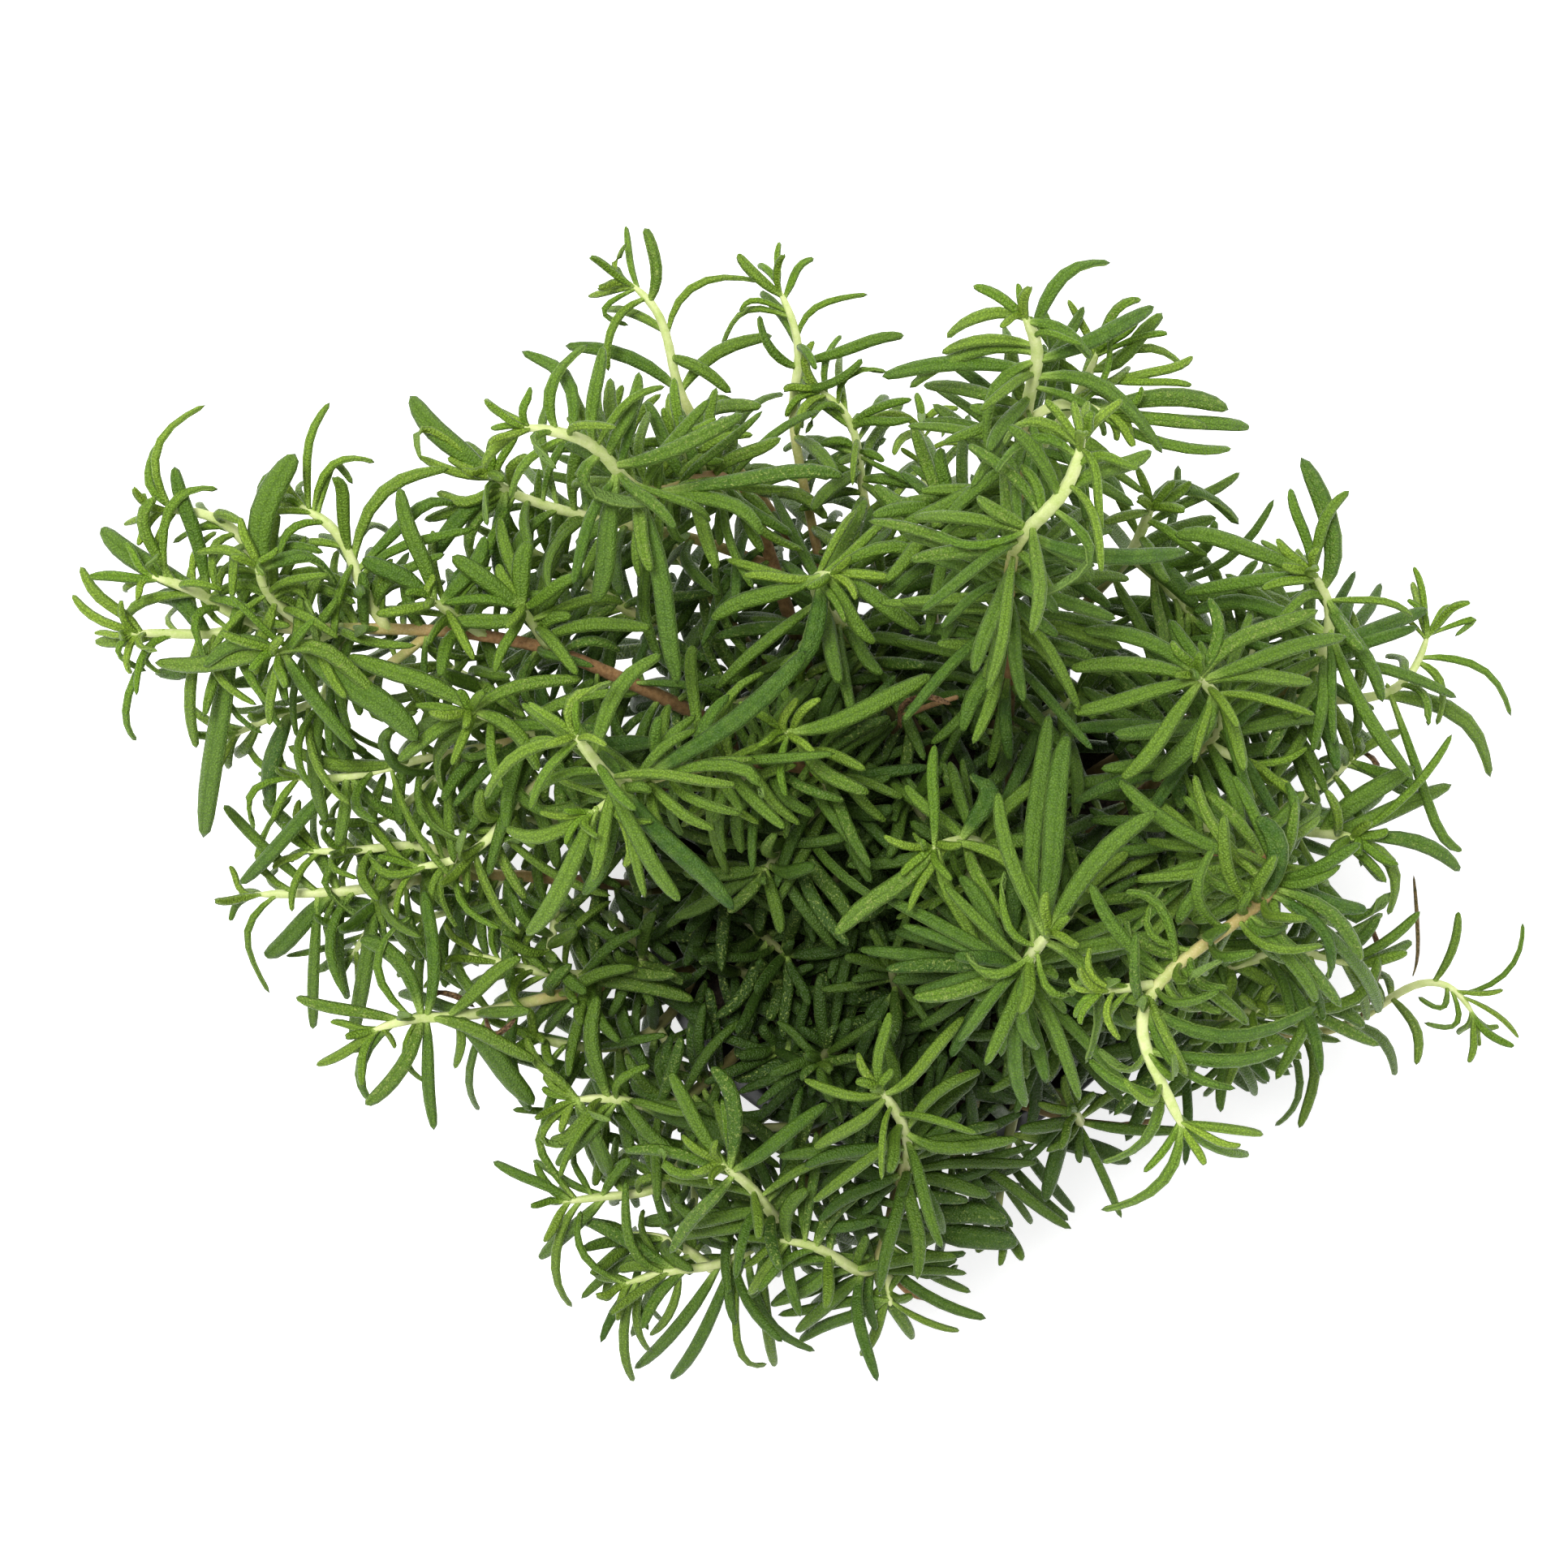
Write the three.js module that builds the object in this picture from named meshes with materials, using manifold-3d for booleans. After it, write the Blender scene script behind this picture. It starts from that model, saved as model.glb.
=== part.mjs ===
// A rosemary plant in its black nursery pot. Millimetres, +Z up, origin at the middle of the pot's
// underside. The pot holds compost, the compost holds the woody stems, and each stem with its side
// shoots and needle leaves is one grown solid.
import * as THREE from "three";
import { mergeVertices } from "three/addons/utils/BufferGeometryUtils.js";
import Module from "manifold-3d";

const wasm = await Module();
wasm.setup();

// ---- Driving dimensions ----
const RIM_DIAMETER = 110;
const BASE_DIAMETER = 76;
const POT_HEIGHT = 95;
const POT_WALL = 1.4;
const FLOOR_THICKNESS = 1.8;
const COLLAR_HEIGHT = 9.5;
const COLLAR_PROUD = 2.2;
const COLLAR_DRAFT = 0.8;
const LIP_ROUND = 1.2;
const BASE_ROUND = 2;
const INNER_ROUND = 1.2;
const POT_SIDES = 32;
const DRAIN_COUNT = 6;
const DRAIN_WIDTH = 9;
const DRAIN_HEIGHT = 4;
const DRAIN_REACH = 14;
const DRAIN_SIDES = 6;

const SOIL_LEVEL = 85;
const SOIL_EDGE_DROP = 2.5;
const SOIL_LUMP = 1.5;
const SOIL_SIDES = 18;
const SOIL_RINGS = [0.82, 0.45];
const SOIL_DRAWS = 900;
const FIT_GAP = 0.35;

const STEM_SIDES = 4;
// Corner radius of the square stem over the radius of a round stem of the same stoutness.
const SQUARE_STEM = 1.18;
// Distance between leaf pairs along a stem, and from the tip to the first pair.
const JOINT_STEP = 10.6;
const TIP_JOINT = 3;
const LEAF_LENGTH = 25;
const LEAF_WIDTH = 3.7;
const LEAF_THICKNESS = 1.4;
const LEAF_GAP = 0.3;
// How far a leaf's foot reaches past the middle of its stem, in stem radii.
const FOOT_SUNK = 0.7;

// ---- Where the stems run ----
// Every x and y below was read in a plan of the plant taken from EYE and scaled at PLAN_HEIGHT; z is
// the point's own height. placed() moves such a point along its sight line to that height.
const EYE = new THREE.Vector3(-25.75, 21.57, 1500);
const PLAN_HEIGHT = 170;

// Each shoot: leafy length back from the tip, stem radius at the root and at the tip, youth from 0
// to 1, and the points of its stem. A branch's shoot 0 rises out of the compost, and its others grow
// from one of its own stems.
const SHOOTS = {
  "far_left 0": [46, 2.6, 1.2, 0.9, [[-20, 14, 77], [-24, 18, 95], [-40, 34, 128],
    [-57, 42, 150], [-72, 48.5, 160], [-90, 51.5, 165], [-110, 52, 167], [-127, 51.5, 167],
    [-133.5, 53.5, 168], [-137, 58, 172], [-142, 60.5, 176], [-149, 62, 178]]],
  "far_left 1": [26, 1.3, 1.0, 0.9, [[-130, 52, 167], [-136, 49.5, 167], [-142, 51.2, 169],
    [-148, 51, 171], [-153, 51, 173]]],
  "far_left 2": [40, 1.5, 1.1, 0.8, [[-121, 52, 167], [-126, 58, 168], [-129, 67, 171],
    [-131.5, 71.5, 174], [-136, 74.5, 176], [-142, 75.7, 178], [-147, 75, 178]]],
  "far_left 3": [28, 1.4, 1.0, 0.6, [[-117, 52, 167], [-124, 55, 174], [-128, 60, 182],
    [-128.5, 64, 188]]],
  "far_left 4": [34, 1.5, 1.1, 0.8, [[-103, 52, 167], [-108, 57, 168], [-109.5, 65, 171],
    [-111, 70, 173], [-114.5, 74, 175], [-120, 75.7, 175]]],
  "far_left 5": [26, 1.4, 1.0, 0.4, [[-112, 52, 167], [-119, 49, 176], [-125, 47, 187]]],
  "far_left 6": [40, 1.4, 0.9, 0.7, [[-94, 52, 165], [-102, 45, 161], [-110, 40, 157],
    [-119, 36.5, 154], [-128, 34.5, 152], [-133, 31, 150]]],
  "far_left 7": [22, 1.3, 1.0, 0.3, [[-84, 51, 164], [-91, 55, 169], [-95, 58, 176]]],
  "west 0": [60, 2.4, 1.0, 0.2, [[-26, 6, 77], [-31, 10, 95], [-46, 20, 122], [-64, 28, 142],
    [-79, 33, 160], [-87, 36, 178]]],
  "west 1": [46, 1.4, 0.9, 0.7, [[-74, 31, 152], [-88, 28, 152], [-100, 26, 152],
    [-108, 23, 151], [-115, 22, 150], [-122, 22.8, 149]]],
  "west 2": [44, 1.5, 1.0, 0.8, [[-60, 27, 138], [-70, 24.5, 148], [-77.5, 20, 152],
    [-80.5, 14, 152], [-83, 9.5, 150], [-89, 6, 148], [-98, 5.3, 146]]],
  "west 3": [50, 1.6, 1.0, 0.2, [[-33, 11.5, 99], [-45, 12, 106], [-58, 14, 114],
    [-72, 14, 124], [-86, 15, 134]]],
  "west_low 0": [60, 2.3, 1.0, 0.6, [[-32, -2, 77], [-38, -1, 95], [-58, 2, 112], [-80, 4, 124],
    [-98, 3.5, 132], [-106, 0.7, 134], [-118, 0.3, 134], [-129, 0, 132]]],
  "west_low 1": [34, 1.4, 0.9, 0.7, [[-84, 4, 126], [-95, 10.5, 136], [-103, 9.5, 138],
    [-111, 8, 138], [-119, 8.5, 138]]],
  "west_low 2": [22, 1.3, 0.9, 0.2, [[-98, 3.5, 132], [-105, -4, 130], [-110, -12, 124]]],
  "west_low 3": [46, 1.5, 1.0, 0.1, [[-39, -1, 96], [-38, 2, 106], [-38, 4, 120], [-39, 5, 136]]],
  "south_west 0": [56, 2.3, 1.1, 0.5, [[-36, -12, 77], [-41, -13, 95], [-58, -17, 116],
    [-76, -21, 132], [-88, -24, 142], [-95, -24, 148], [-101, -23.5, 150], [-106, -26.5, 150]]],
  "south_west 1": [44, 1.5, 1.0, 0.7, [[-47, -14.5, 103], [-53, -15.5, 114], [-60, -15.5, 122],
    [-70, -16, 128], [-78, -14.3, 130], [-87, -11.5, 129]]],
  "south_west 2": [54, 1.6, 1.0, 0.2, [[-42, -13.3, 97], [-47, -24, 103], [-56, -30, 110],
    [-66, -30, 120], [-74, -28, 130]]],
  "south_west_low 0": [46, 2.0, 1.0, 0.7, [[-26, -22, 77], [-30, -26, 95], [-42, -38, 112],
    [-51, -43, 122], [-54.5, -40, 130], [-61, -39, 133], [-67, -40, 132]]],
  "south_west_low 1": [46, 1.4, 0.9, 0.6, [[-37, -33, 106], [-44, -50, 109], [-50, -59.5, 113],
    [-57, -58, 117], [-63, -59, 118], [-69, -60, 117]]],
  "south 0": [56, 2.2, 1.0, 0.4, [[-14, -28, 77], [-15, -34, 95], [-20, -52, 112],
    [-26, -65, 122], [-28.5, -62, 134], [-31.5, -57, 144], [-36, -54, 150], [-38, -52.5, 153]]],
  "south 1": [46, 1.4, 0.9, 0.5, [[-21, -55, 113], [-29, -68, 109], [-38, -73, 111],
    [-45, -73, 114], [-50, -73, 115], [-57, -76, 114]]],
  "south 2": [46, 1.6, 1.0, 0.1, [[-15, -34, 95], [-15, -30, 108], [-17, -30, 122],
    [-19, -33, 136]]],
  "south_mid 0": [52, 2.1, 1.0, 0.5, [[-1, -32, 77], [-1, -40, 95], [-4, -60, 106],
    [-8, -75, 108], [-12, -73.5, 118], [-17, -69.5, 126], [-22, -67, 131], [-26.5, -67.5, 132]]],
  "south_mid 1": [24, 1.5, 1.0, 0.2, [[-5, -64, 107], [-6, -73, 105], [-5, -80, 110]]],
  "south_mid 2": [0, 1.5, 1.3, 0.0, [[-5.5, -70, 106], [-4, -78, 103], [-1, -79.5, 103],
    [3, -79, 104]]],
  "south_up 0": [54, 2.0, 1.1, 0.4, [[4, -24, 77], [5, -31, 95], [0, -48, 110], [-4, -58, 122],
    [-2, -53, 136], [-1, -49, 146], [-3, -43, 156], [-7, -38, 164]]],
  "south_up 1": [44, 1.6, 1.0, 0.1, [[5, -31, 95], [-1, -24, 106], [-4, -18, 122],
    [-5, -14, 138]]],
  "east_long 0": [112, 2.4, 1.3, 0.8, [[26, -12, 77], [30, -9, 95], [42, 0, 130],
    [56, 6.5, 165], [64, 7.6, 182], [70, 7.2, 192], [72.3, 3, 199], [66, -3, 203], [57, -9, 205],
    [50, -14, 206], [45, -18.5, 206], [42.3, -23.5, 206], [43, -28, 205], [46.5, -34, 204],
    [50, -41, 202], [52, -45.5, 201]]],
  "east_long 1": [10, 1.2, 0.9, 0.9, [[46, -17.5, 206], [40, -18, 208], [36, -19, 209]]],
  "east_long 2": [56, 1.7, 1.0, 0.1, [[31, -8, 99], [40, -6, 112], [46, -5, 130],
    [49, -3, 152]]],
  "heart 0": [84, 2.3, 1.3, 0.2, [[12, -10, 77], [13, -11, 95], [17, -13, 135], [20, -15, 172],
    [21.5, -14, 188], [23, -10.5, 198], [26, -7.5, 205]]],
  "middle 0": [64, 2.1, 1.1, 0.4, [[4, 2, 77], [6, 3, 95], [11, 6, 130], [13.5, 9.5, 155],
    [11, 11, 166], [7, 10.7, 173], [3, 9, 179]]],
  "middle 1": [20, 1.3, 0.9, 0.5, [[11.5, 7, 138], [11, 4, 150], [8.5, 1, 158]]],
  "brow 0": [76, 2.5, 1.2, 0.7, [[-8, 10, 77], [-9, 14, 95], [-12, 22, 128], [-22, 25, 150],
    [-36, 26.3, 166], [-48, 24, 176], [-55, 21.5, 183], [-59, 21, 190], [-61.5, 24.5, 198],
    [-64, 28, 205], [-66.5, 31, 211]]],
  "brow 1": [14, 1.2, 0.9, 0.7, [[-55, 21.5, 183], [-59, 18, 188], [-64, 15.5, 190]]],
  "brow 2": [40, 1.5, 1.0, 0.6, [[-10, 17, 106], [-16.5, 17.5, 135], [-18, 24, 150],
    [-21.5, 29.5, 160], [-25.5, 32, 170]]],
  "brow 3": [18, 1.2, 0.9, 0.6, [[-24, 25.3, 152], [-33, 23, 155], [-39, 20, 162]]],
  "north_west 0": [84, 2.5, 1.2, 0.7, [[-14, 24, 77], [-16, 28, 95], [-24, 52, 128],
    [-31, 74, 152], [-38, 83, 168], [-46, 79.5, 182], [-52, 77.5, 192], [-57.5, 80.5, 202],
    [-59.5, 85, 209], [-63.5, 89.3, 214], [-70, 90.6, 218], [-76.5, 91.2, 220]]],
  "north_west 1": [50, 1.5, 1.0, 0.4, [[-28, 63, 142], [-44, 70, 148], [-62, 73, 153],
    [-73, 76, 156], [-81, 78.5, 162], [-83.5, 82, 168]]],
  "north_west 2": [18, 1.3, 0.9, 0.4, [[-35, 80, 161], [-43, 84, 168], [-47, 88, 176]]],
  "north_west 3": [70, 1.8, 1.0, 0.2, [[-17, 31, 98], [-34, 50, 112], [-52, 74, 124],
    [-62, 88, 136]]],
  "left_mid 0": [70, 2.0, 1.0, 0.2, [[-28, 24, 77], [-32, 29, 94], [-48, 50, 118],
    [-66, 62, 136], [-77, 68, 148]]],
  "north 0": [66, 2.3, 0.9, 0.8, [[-4, 26, 77], [-5, 31, 95], [-15, 56, 118], [-32, 80, 134],
    [-45, 94, 145], [-47.5, 101, 150], [-48, 108, 153], [-49.5, 114.5, 155], [-52, 118, 155],
    [-56, 119.3, 155]]],
  "north 1": [58, 1.5, 0.9, 0.8, [[-17, 60, 121], [-22, 80, 134], [-25, 96, 144],
    [-22.5, 102, 149], [-22, 108, 152], [-24.2, 113.5, 154], [-27, 118.5, 155]]],
  "north 2": [50, 1.6, 0.8, 0.8, [[-6, 34, 98], [-6, 60, 118], [-11, 80, 134], [-11, 88, 141],
    [-12.3, 93, 145], [-14.5, 97, 148], [-19.5, 98.8, 149]]],
  "north_mid 0": [60, 2.1, 1.1, 0.4, [[4, 22, 77], [3, 27, 95], [-6, 42, 128], [-15, 53, 152],
    [-21, 60, 166], [-20, 63.3, 174], [-16.5, 62.5, 179]]],
  "north_mid 1": [40, 1.3, 0.7, 0.9, [[2.5, 28, 98], [4, 52, 112], [2, 70, 123], [1.6, 80, 129],
    [1.6, 86, 134], [1, 92, 138]]],
  "north_mid 2": [50, 1.6, 1.0, 0.1, [[2, 29, 100], [-8, 38, 108], [-15, 42, 122],
    [-22, 42, 140]]],
  "crown 0": [84, 2.4, 1.3, 0.5, [[12, 22, 77], [13, 27, 95], [17, 54, 145], [20, 80, 190],
    [21.5, 95, 214], [22.5, 100, 222], [25, 106, 228], [23.5, 110, 232], [21, 113, 235]]],
  "crown 1": [30, 1.5, 1.0, 0.5, [[20, 82, 193], [28, 92, 200], [33.5, 99, 205],
    [35.5, 106, 208]]],
  "crown 2": [14, 1.3, 1.0, 0.6, [[21, 92, 208], [26, 97.5, 214], [32, 96.5, 214],
    [37, 94, 214]]],
  "crown 3": [80, 1.9, 1.1, 0.2, [[13.2, 28, 97], [24, 44, 112], [34, 58, 132], [42, 66, 158],
    [46, 76, 178]]],
  "high 0": [92, 2.4, 1.4, 0.5, [[16, 14, 77], [17, 18, 95], [18, 40, 150], [18, 60, 205],
    [19, 68, 226], [22, 72, 236], [27, 75.5, 242], [30.5, 79.5, 246], [32.2, 84, 248],
    [32.5, 89, 249]]],
  "star 0": [66, 2.2, 1.2, 0.1, [[26, 6, 77], [30, 9, 95], [44, 20, 135], [56, 29, 165],
    [61, 34, 180], [59, 39, 189], [54.5, 43, 198]]],
  "star 1": [12, 1.3, 0.9, 0.5, [[57, 29, 166], [63, 28, 168], [66, 24, 168]]],
  "star 2": [70, 1.8, 1.1, 0.2, [[31, 9.8, 98], [42, 12, 108], [54, 13, 120], [70, 13, 140],
    [80, 12, 152], [86, 11, 160]]],
  "east_up 0": [68, 2.2, 1.1, 0.3, [[30, 20, 77], [35, 24, 93], [52, 34, 122], [68, 38, 146],
    [78, 43, 162], [81, 51, 174], [81, 59, 182], [77, 63, 188]]],
  "east_up 1": [40, 1.4, 0.8, 0.9, [[68, 38, 146], [80, 38, 150], [89, 38, 151], [94, 38, 152],
    [97, 42, 153], [99.5, 46.5, 154], [100, 51.5, 155]]],
  "east_low 0": [64, 2.0, 0.7, 0.9, [[33, -18, 77], [36.5, -19.5, 93], [56, -24, 107],
    [74, -28, 113], [85, -26, 115], [91, -21.5, 118], [96.5, -16.5, 121], [102, -15.2, 122],
    [107, -18, 122], [109, -24, 121]]],
  "east_low 1": [66, 1.7, 1.1, 0.2, [[42, -21.5, 95], [50, -26, 112], [59, -26, 134],
    [67, -22, 156]]],
  "south_east 0": [50, 2.0, 1.0, 0.3, [[18, -30, 77], [21, -34, 94], [29, -41, 112],
    [33, -46, 126], [31, -42, 136]]],
  "south_east 1": [34, 1.7, 1.0, 0.0, [[21, -34, 94], [19, -43, 100], [16, -56, 102],
    [16, -64, 101]]],
};

// Leaves whose place in the plan is known, under the branch and number of their shoot: distance of
// the root back from the shoot's tip, x and y of the leaf's middle, x and y of its tip, the height
// of the tip over the root, and the width.
const PLAN_LEAVES = {
  "far_left 0": [[1, -155, 61.5, -161.5, 62, 0, 2.2], [2, -145.5, 76, -136, 79, 6, 2.2],
    [4, -150.5, 71, -148, 77.5, 8, 2.6], [10, -151, 57.5, -153.5, 52, -8, 2.4],
    [12, -142.5, 73, -144.6, 83.5, 8, 3.2], [12, -150, 66, -159, 71.5, 4, 4.4]],
  "far_left 1": [[1, -157, 57, -163, 64, 2, 2.6], [2, -159, 54, -164.5, 58.5, -1, 2.0],
    [0, -155.5, 47, -150, 43.5, -6, 1.6], [5, -155, 50, -160, 49.3, -4, 2.6],
    [5, -153.5, 38, -152, 30, -12, 1.8], [13, -142, 39, -140.3, 28.5, -10, 2.8],
    [20, -137.5, 30, -139, 11, -14, 5.0]],
  "far_left 2": [[1, -148.2, 86, -138.5, 95.5, 4, 2.0], [3, -150, 81, -147.7, 88, 4, 2.0],
    [24, -128.5, 77.5, -124, 82.5, 6, 2.2]],
  "far_left 3": [[1, -133.5, 67.5, -140.5, 66.5, -2, 2.2], [1, -120.5, 66.8, -113, 60, -8, 3.4],
    [5, -126, 75, -121, 86, 4, 5.2], [10, -122, 57, -117, 49, -8, 3.0]],
  "far_left 4": [[1, -118.8, 86, -114.3, 96, 2, 2.0], [2, -113, 84.6, -105.5, 84.2, 0, 1.8],
    [3, -114, 83.8, -109.8, 80, -4, 2.0], [16, -102.5, 79, -91, 83, 3, 2.8],
    [18, -99.5, 74.5, -90, 76, -4, 2.8], [14, -111.5, 76, -113.6, 81.3, 6, 2.8]],
  "far_left 5": [[0, -131.5, 48.8, -139, 44.5, -3, 3.0], [0, -114, 46.2, -104.5, 38.5, -6, 3.2],
    [1, -126, 39.5, -126, 33, -6, 2.0], [2, -117, 38.5, -109, 28, -10, 3.0],
    [6, -119, 55, -116, 62, -2, 3.4]],
  "far_left 6": [[12, -125, 26, -126, 17, -8, 4.2], [20, -118, 26, -115, 14, -6, 3.6],
    [5, -131.5, 28, -132, 27, -8, 2.6]],
  "far_left 7": [[1, -97.5, 68, -100.8, 79.5, 4, 3.4], [3, -88, 63, -84, 70, 0, 3.2]],
  "west 0": [[0, -92, 39.7, -97, 41.5, 0, 2.4], [0, -76.5, 40.8, -65, 42, -5, 2.8],
    [1, -95, 31.3, -101, 26, -6, 2.8], [1, -79, 32, -73.5, 24, -5, 3.0],
    [8, -93, 30, -92, 20, -12, 3.4]],
  "west 1": [[1, -127.5, 25, -130.5, 31, -2, 1.6], [1, -129, 20, -129, 12.5, -4, 1.6],
    [9, -122, 11, -132, 2, -8, 3.2]],
  "west 2": [[2, -103, 4, -106.5, 8, -2, 2.0], [30, -73, 14, -70, 5, -8, 3.2]],
  "west_low 0": [[4, -130.5, -8, -126, -19.3, -8, 1.8], [8, -128.3, 8.5, -121.5, 19.5, 0, 2.0],
    [15, -121, -6.5, -127, -12, -6, 4.2], [12, -117.5, -15, -117.6, -26.3, -10, 2.8],
    [17, -112.3, -12, -110.8, -20.5, -10, 2.6], [24, -108.5, -15, -110, -28, -12, 3.6]],
  "south_west 0": [[1, -111, -29.6, -117, -33.3, -3, 2.2], [6, -112, -22, -121, -20, -2, 2.6],
    [4, -107.8, -33, -106, -40.5, -8, 2.6], [10, -101, -34, -107.5, -41, -8, 3.4],
    [11, -94.5, -35, -94, -46, -10, 2.8], [12, -84, -28, -74, -32.5, -8, 3.0],
    [18, -82, -33, -74.5, -41, -14, 4.6], [16, -84, -18, -77, -12, 4, 3.0],
    [11, -95, -11, -96, 1, 0, 3.0], [8, -105.5, -13, -98, -4, -2, 2.0]],
  "south_west 1": [[22, -56, -18.5, -43, -20.7, 2, 3.2], [36, -46, -22, -40.5, -28.5, 0, 4.0]],
  "south_west_low 0": [[1, -72, -35, -68, -29, -2, 1.8], [1, -73, -46, -67.5, -49, -4, 1.8],
    [7, -63, -30, -62, -19.5, 4, 3.4], [10, -53, -45, -47, -50.3, -4, 3.0],
    [16, -43, -44.5, -33, -50, 0, 4.4]],
  "south_west_low 1": [[1, -75, -56.5, -82.5, -52, -2, 2.4], [2, -73.5, -50, -69, -42, 2, 2.0],
    [3, -71, -70, -67, -80.5, -10, 2.4], [8, -68, -66, -73.5, -71, -8, 3.0]],
  "south 0": [[1, -46, -54.5, -50, -49, 0, 2.2], [3, -28, -47.5, -17, -40.5, 0, 3.0],
    [1, -43.5, -43.5, -48, -34.5, 2, 3.0], [2, -36.5, -42, -40, -33.5, 2, 3.4],
    [4, -42, -62, -48, -70, -10, 2.8], [6, -47, -51, -57, -50, -4, 2.4]],
  "south 1": [[8, -56.5, -67, -56.5, -55.5, 4, 2.2], [4, -55, -82, -52, -89, -8, 2.0],
    [2, -57.5, -86, -55, -95, -12, 2.4], [11, -48, -80, -52, -86, -8, 2.0],
    [20, -46, -85, -55, -92.5, -12, 2.8], [23, -41, -86.5, -48, -94.5, -12, 2.8],
    [25, -35, -88, -29, -91.5, -10, 1.8], [30, -29.5, -84, -27.5, -92, -12, 2.6]],
  "south_mid 0": [[1, -25, -61, -21, -57.5, 4, 3.0], [8, -15.5, -61.5, -10, -57, 2, 3.4],
    [1, -30, -73, -32.5, -78, -5, 2.4], [5, -20.5, -56, -19.5, -46, 2, 2.2],
    [14, -20, -77, -28, -80, -8, 2.6]],
  "south_mid 1": [[0, -15, -80.3, -27, -82, -4, 2.4], [1, -14, -83.5, -23, -87.3, -6, 2.8],
    [0, 2, -83.8, 8.5, -85, -4, 1.6], [2, -2, -72.5, 3, -67, 4, 2.0]],
  "south_up 0": [[0, -7, -30, -5, -22.8, 2, 2.4], [1, 2, -33.5, 9.5, -23.5, -2, 2.6],
    [1, -14, -38.5, -22, -36, -4, 2.2], [2, -13, -44.5, -20, -49.5, -6, 2.8],
    [16, 8, -49.5, 20, -47.5, -2, 2.8]],
  "east_long 0": [[0, 59.5, -45.8, 67.8, -46.8, -5, 2.2], [0, 48, -56.5, 36, -61.5, -10, 2.6],
    [3, 58, -48.3, 65, -50.7, -8, 2.4], [5, 42, -38.7, 33.5, -32, -6, 2.6],
    [10, 46.5, -46, 36, -52.3, -12, 2.6], [16, 60, -32, 72.5, -29.5, -6, 3.2],
    [26, 60, -27.3, 78.3, -21.8, -4, 3.4], [28, 47, -26.5, 53, -35.5, 4, 2.2],
    [36, 48, -4, 40.5, 0.5, 2, 2.2], [36, 56, -18.5, 65, -25.5, -6, 3.0],
    [42, 47, -10.8, 41, -6.8, -2, 2.6], [52, 73, -14, 78, -21, -6, 3.0],
    [58, 69.5, 7, 66.5, 15.3, 4, 4.4], [60, 80, -6, 80, -17, -6, 2.4],
    [72, 50.5, 14.5, 39.5, 22.5, -2, 3.0], [72, 56.5, 2, 51, -6, 2, 3.0]],
  "heart 0": [[0, 35.5, 5.5, 47, 16.3, -2, 3.8], [1, 19, 6, 16, 20.3, 0, 3.0],
    [6, 27, 13, 29.5, 31.5, -8, 4.4], [8, 23, 15, 26, 35.5, -14, 3.6],
    [6, 17.5, -6, 17.3, 5, 0, 1.8], [7, 27, -19.5, 33, -15.5, -2, 1.8],
    [3, 35, -18, 33, -33, -10, 3.2], [10, 15, -15.8, 9.7, -11, -4, 2.2],
    [10, 21, -24, 24, -30, -6, 2.8], [12, 20, -30, 21.5, -41.5, -10, 3.0]],
  "middle 0": [[0, -6, 1.5, -16, -8, -4, 3.8], [0, 2.7, 20, 3.7, 29.3, 0, 2.4],
    [1, 6.5, -1, 12.5, -10, -4, 2.8], [7, 16.5, 7, 21, -1, -2, 2.6],
    [10, 13, 19, 10.5, 23.5, -2, 4.0]],
  "brow 0": [[0, -66.5, 38, -59, 41.5, 2, 2.0], [1, -71.5, 24.5, -75.3, 16.5, -4, 2.0],
    [2, -77.5, 28, -84, 18.5, -5, 2.6], [9, -59.5, 37.5, -49.5, 47, -2, 3.2],
    [16, -53, 8.5, -46, -1.3, -6, 3.2], [24, -46.5, 9.5, -35.5, -3, -6, 3.8],
    [28, -34, 36, -21.5, 47.5, -2, 3.8], [32, -35.5, 24.7, -30, 18.5, 2, 2.6]],
  "brow 1": [[0, -68.5, 15.5, -73.5, 16.2, -1, 1.6], [1, -62.8, 10, -61, 5.5, -4, 1.8]],
  "brow 2": [[0, -11, 35.5, 3.3, 43, -2, 3.6], [1, -26, 25, -25.3, 19, 2, 1.8],
    [5, -17, 23.5, -9, 19.8, 2, 3.0]],
  "north_west 0": [[0, -77, 95.5, -75, 99, 3, 1.8], [1, -82, 88.5, -84, 83, -4, 2.4],
    [6, -71.5, 99, -64, 107.3, 0, 2.6], [9, -68, 99, -77, 106, -6, 2.8],
    [15, -62.8, 98, -61, 107, -2, 2.8], [18, -64, 79.5, -51.5, 76, -4, 3.4],
    [20, -56.5, 93, -54, 102, 0, 2.8], [23, -46, 87.5, -33.5, 93.8, 0, 3.2],
    [25, -61, 68, -62.5, 57, -10, 4.0], [33, -49.5, 58, -46.5, 41, -8, 3.8],
    [42, -29, 82, -14, 81.5, 2, 3.0], [42, -38, 76, -30, 70, 0, 3.0]],
  "north_west 1": [[0, -91, 89.5, -98.7, 97.3, 0, 4.4], [1, -90, 83, -97, 85.5, -2, 2.0],
    [8, -87, 72, -86, 64, -6, 3.2]],
  "north 0": [[5, -50.5, 123.5, -53, 130, 2, 3.0], [0, -58.5, 122.3, -56.5, 127, 1, 1.2],
    [1, -60.5, 114, -56, 111, -2, 1.4], [4, -58.5, 112, -60, 102, -6, 2.0],
    [14, -43, 118.5, -30, 119.5, -2, 1.8], [18, -43, 103, -36, 97.8, 0, 2.8],
    [26, -57, 104.5, -68.5, 107, -2, 3.0], [26, -38, 105.5, -28, 109, -2, 3.0]],
  "north 1": [[1, -31, 121, -34.8, 125, 2, 2.4], [5, -31, 115.9, -34.3, 113.5, 0, 1.3],
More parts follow.
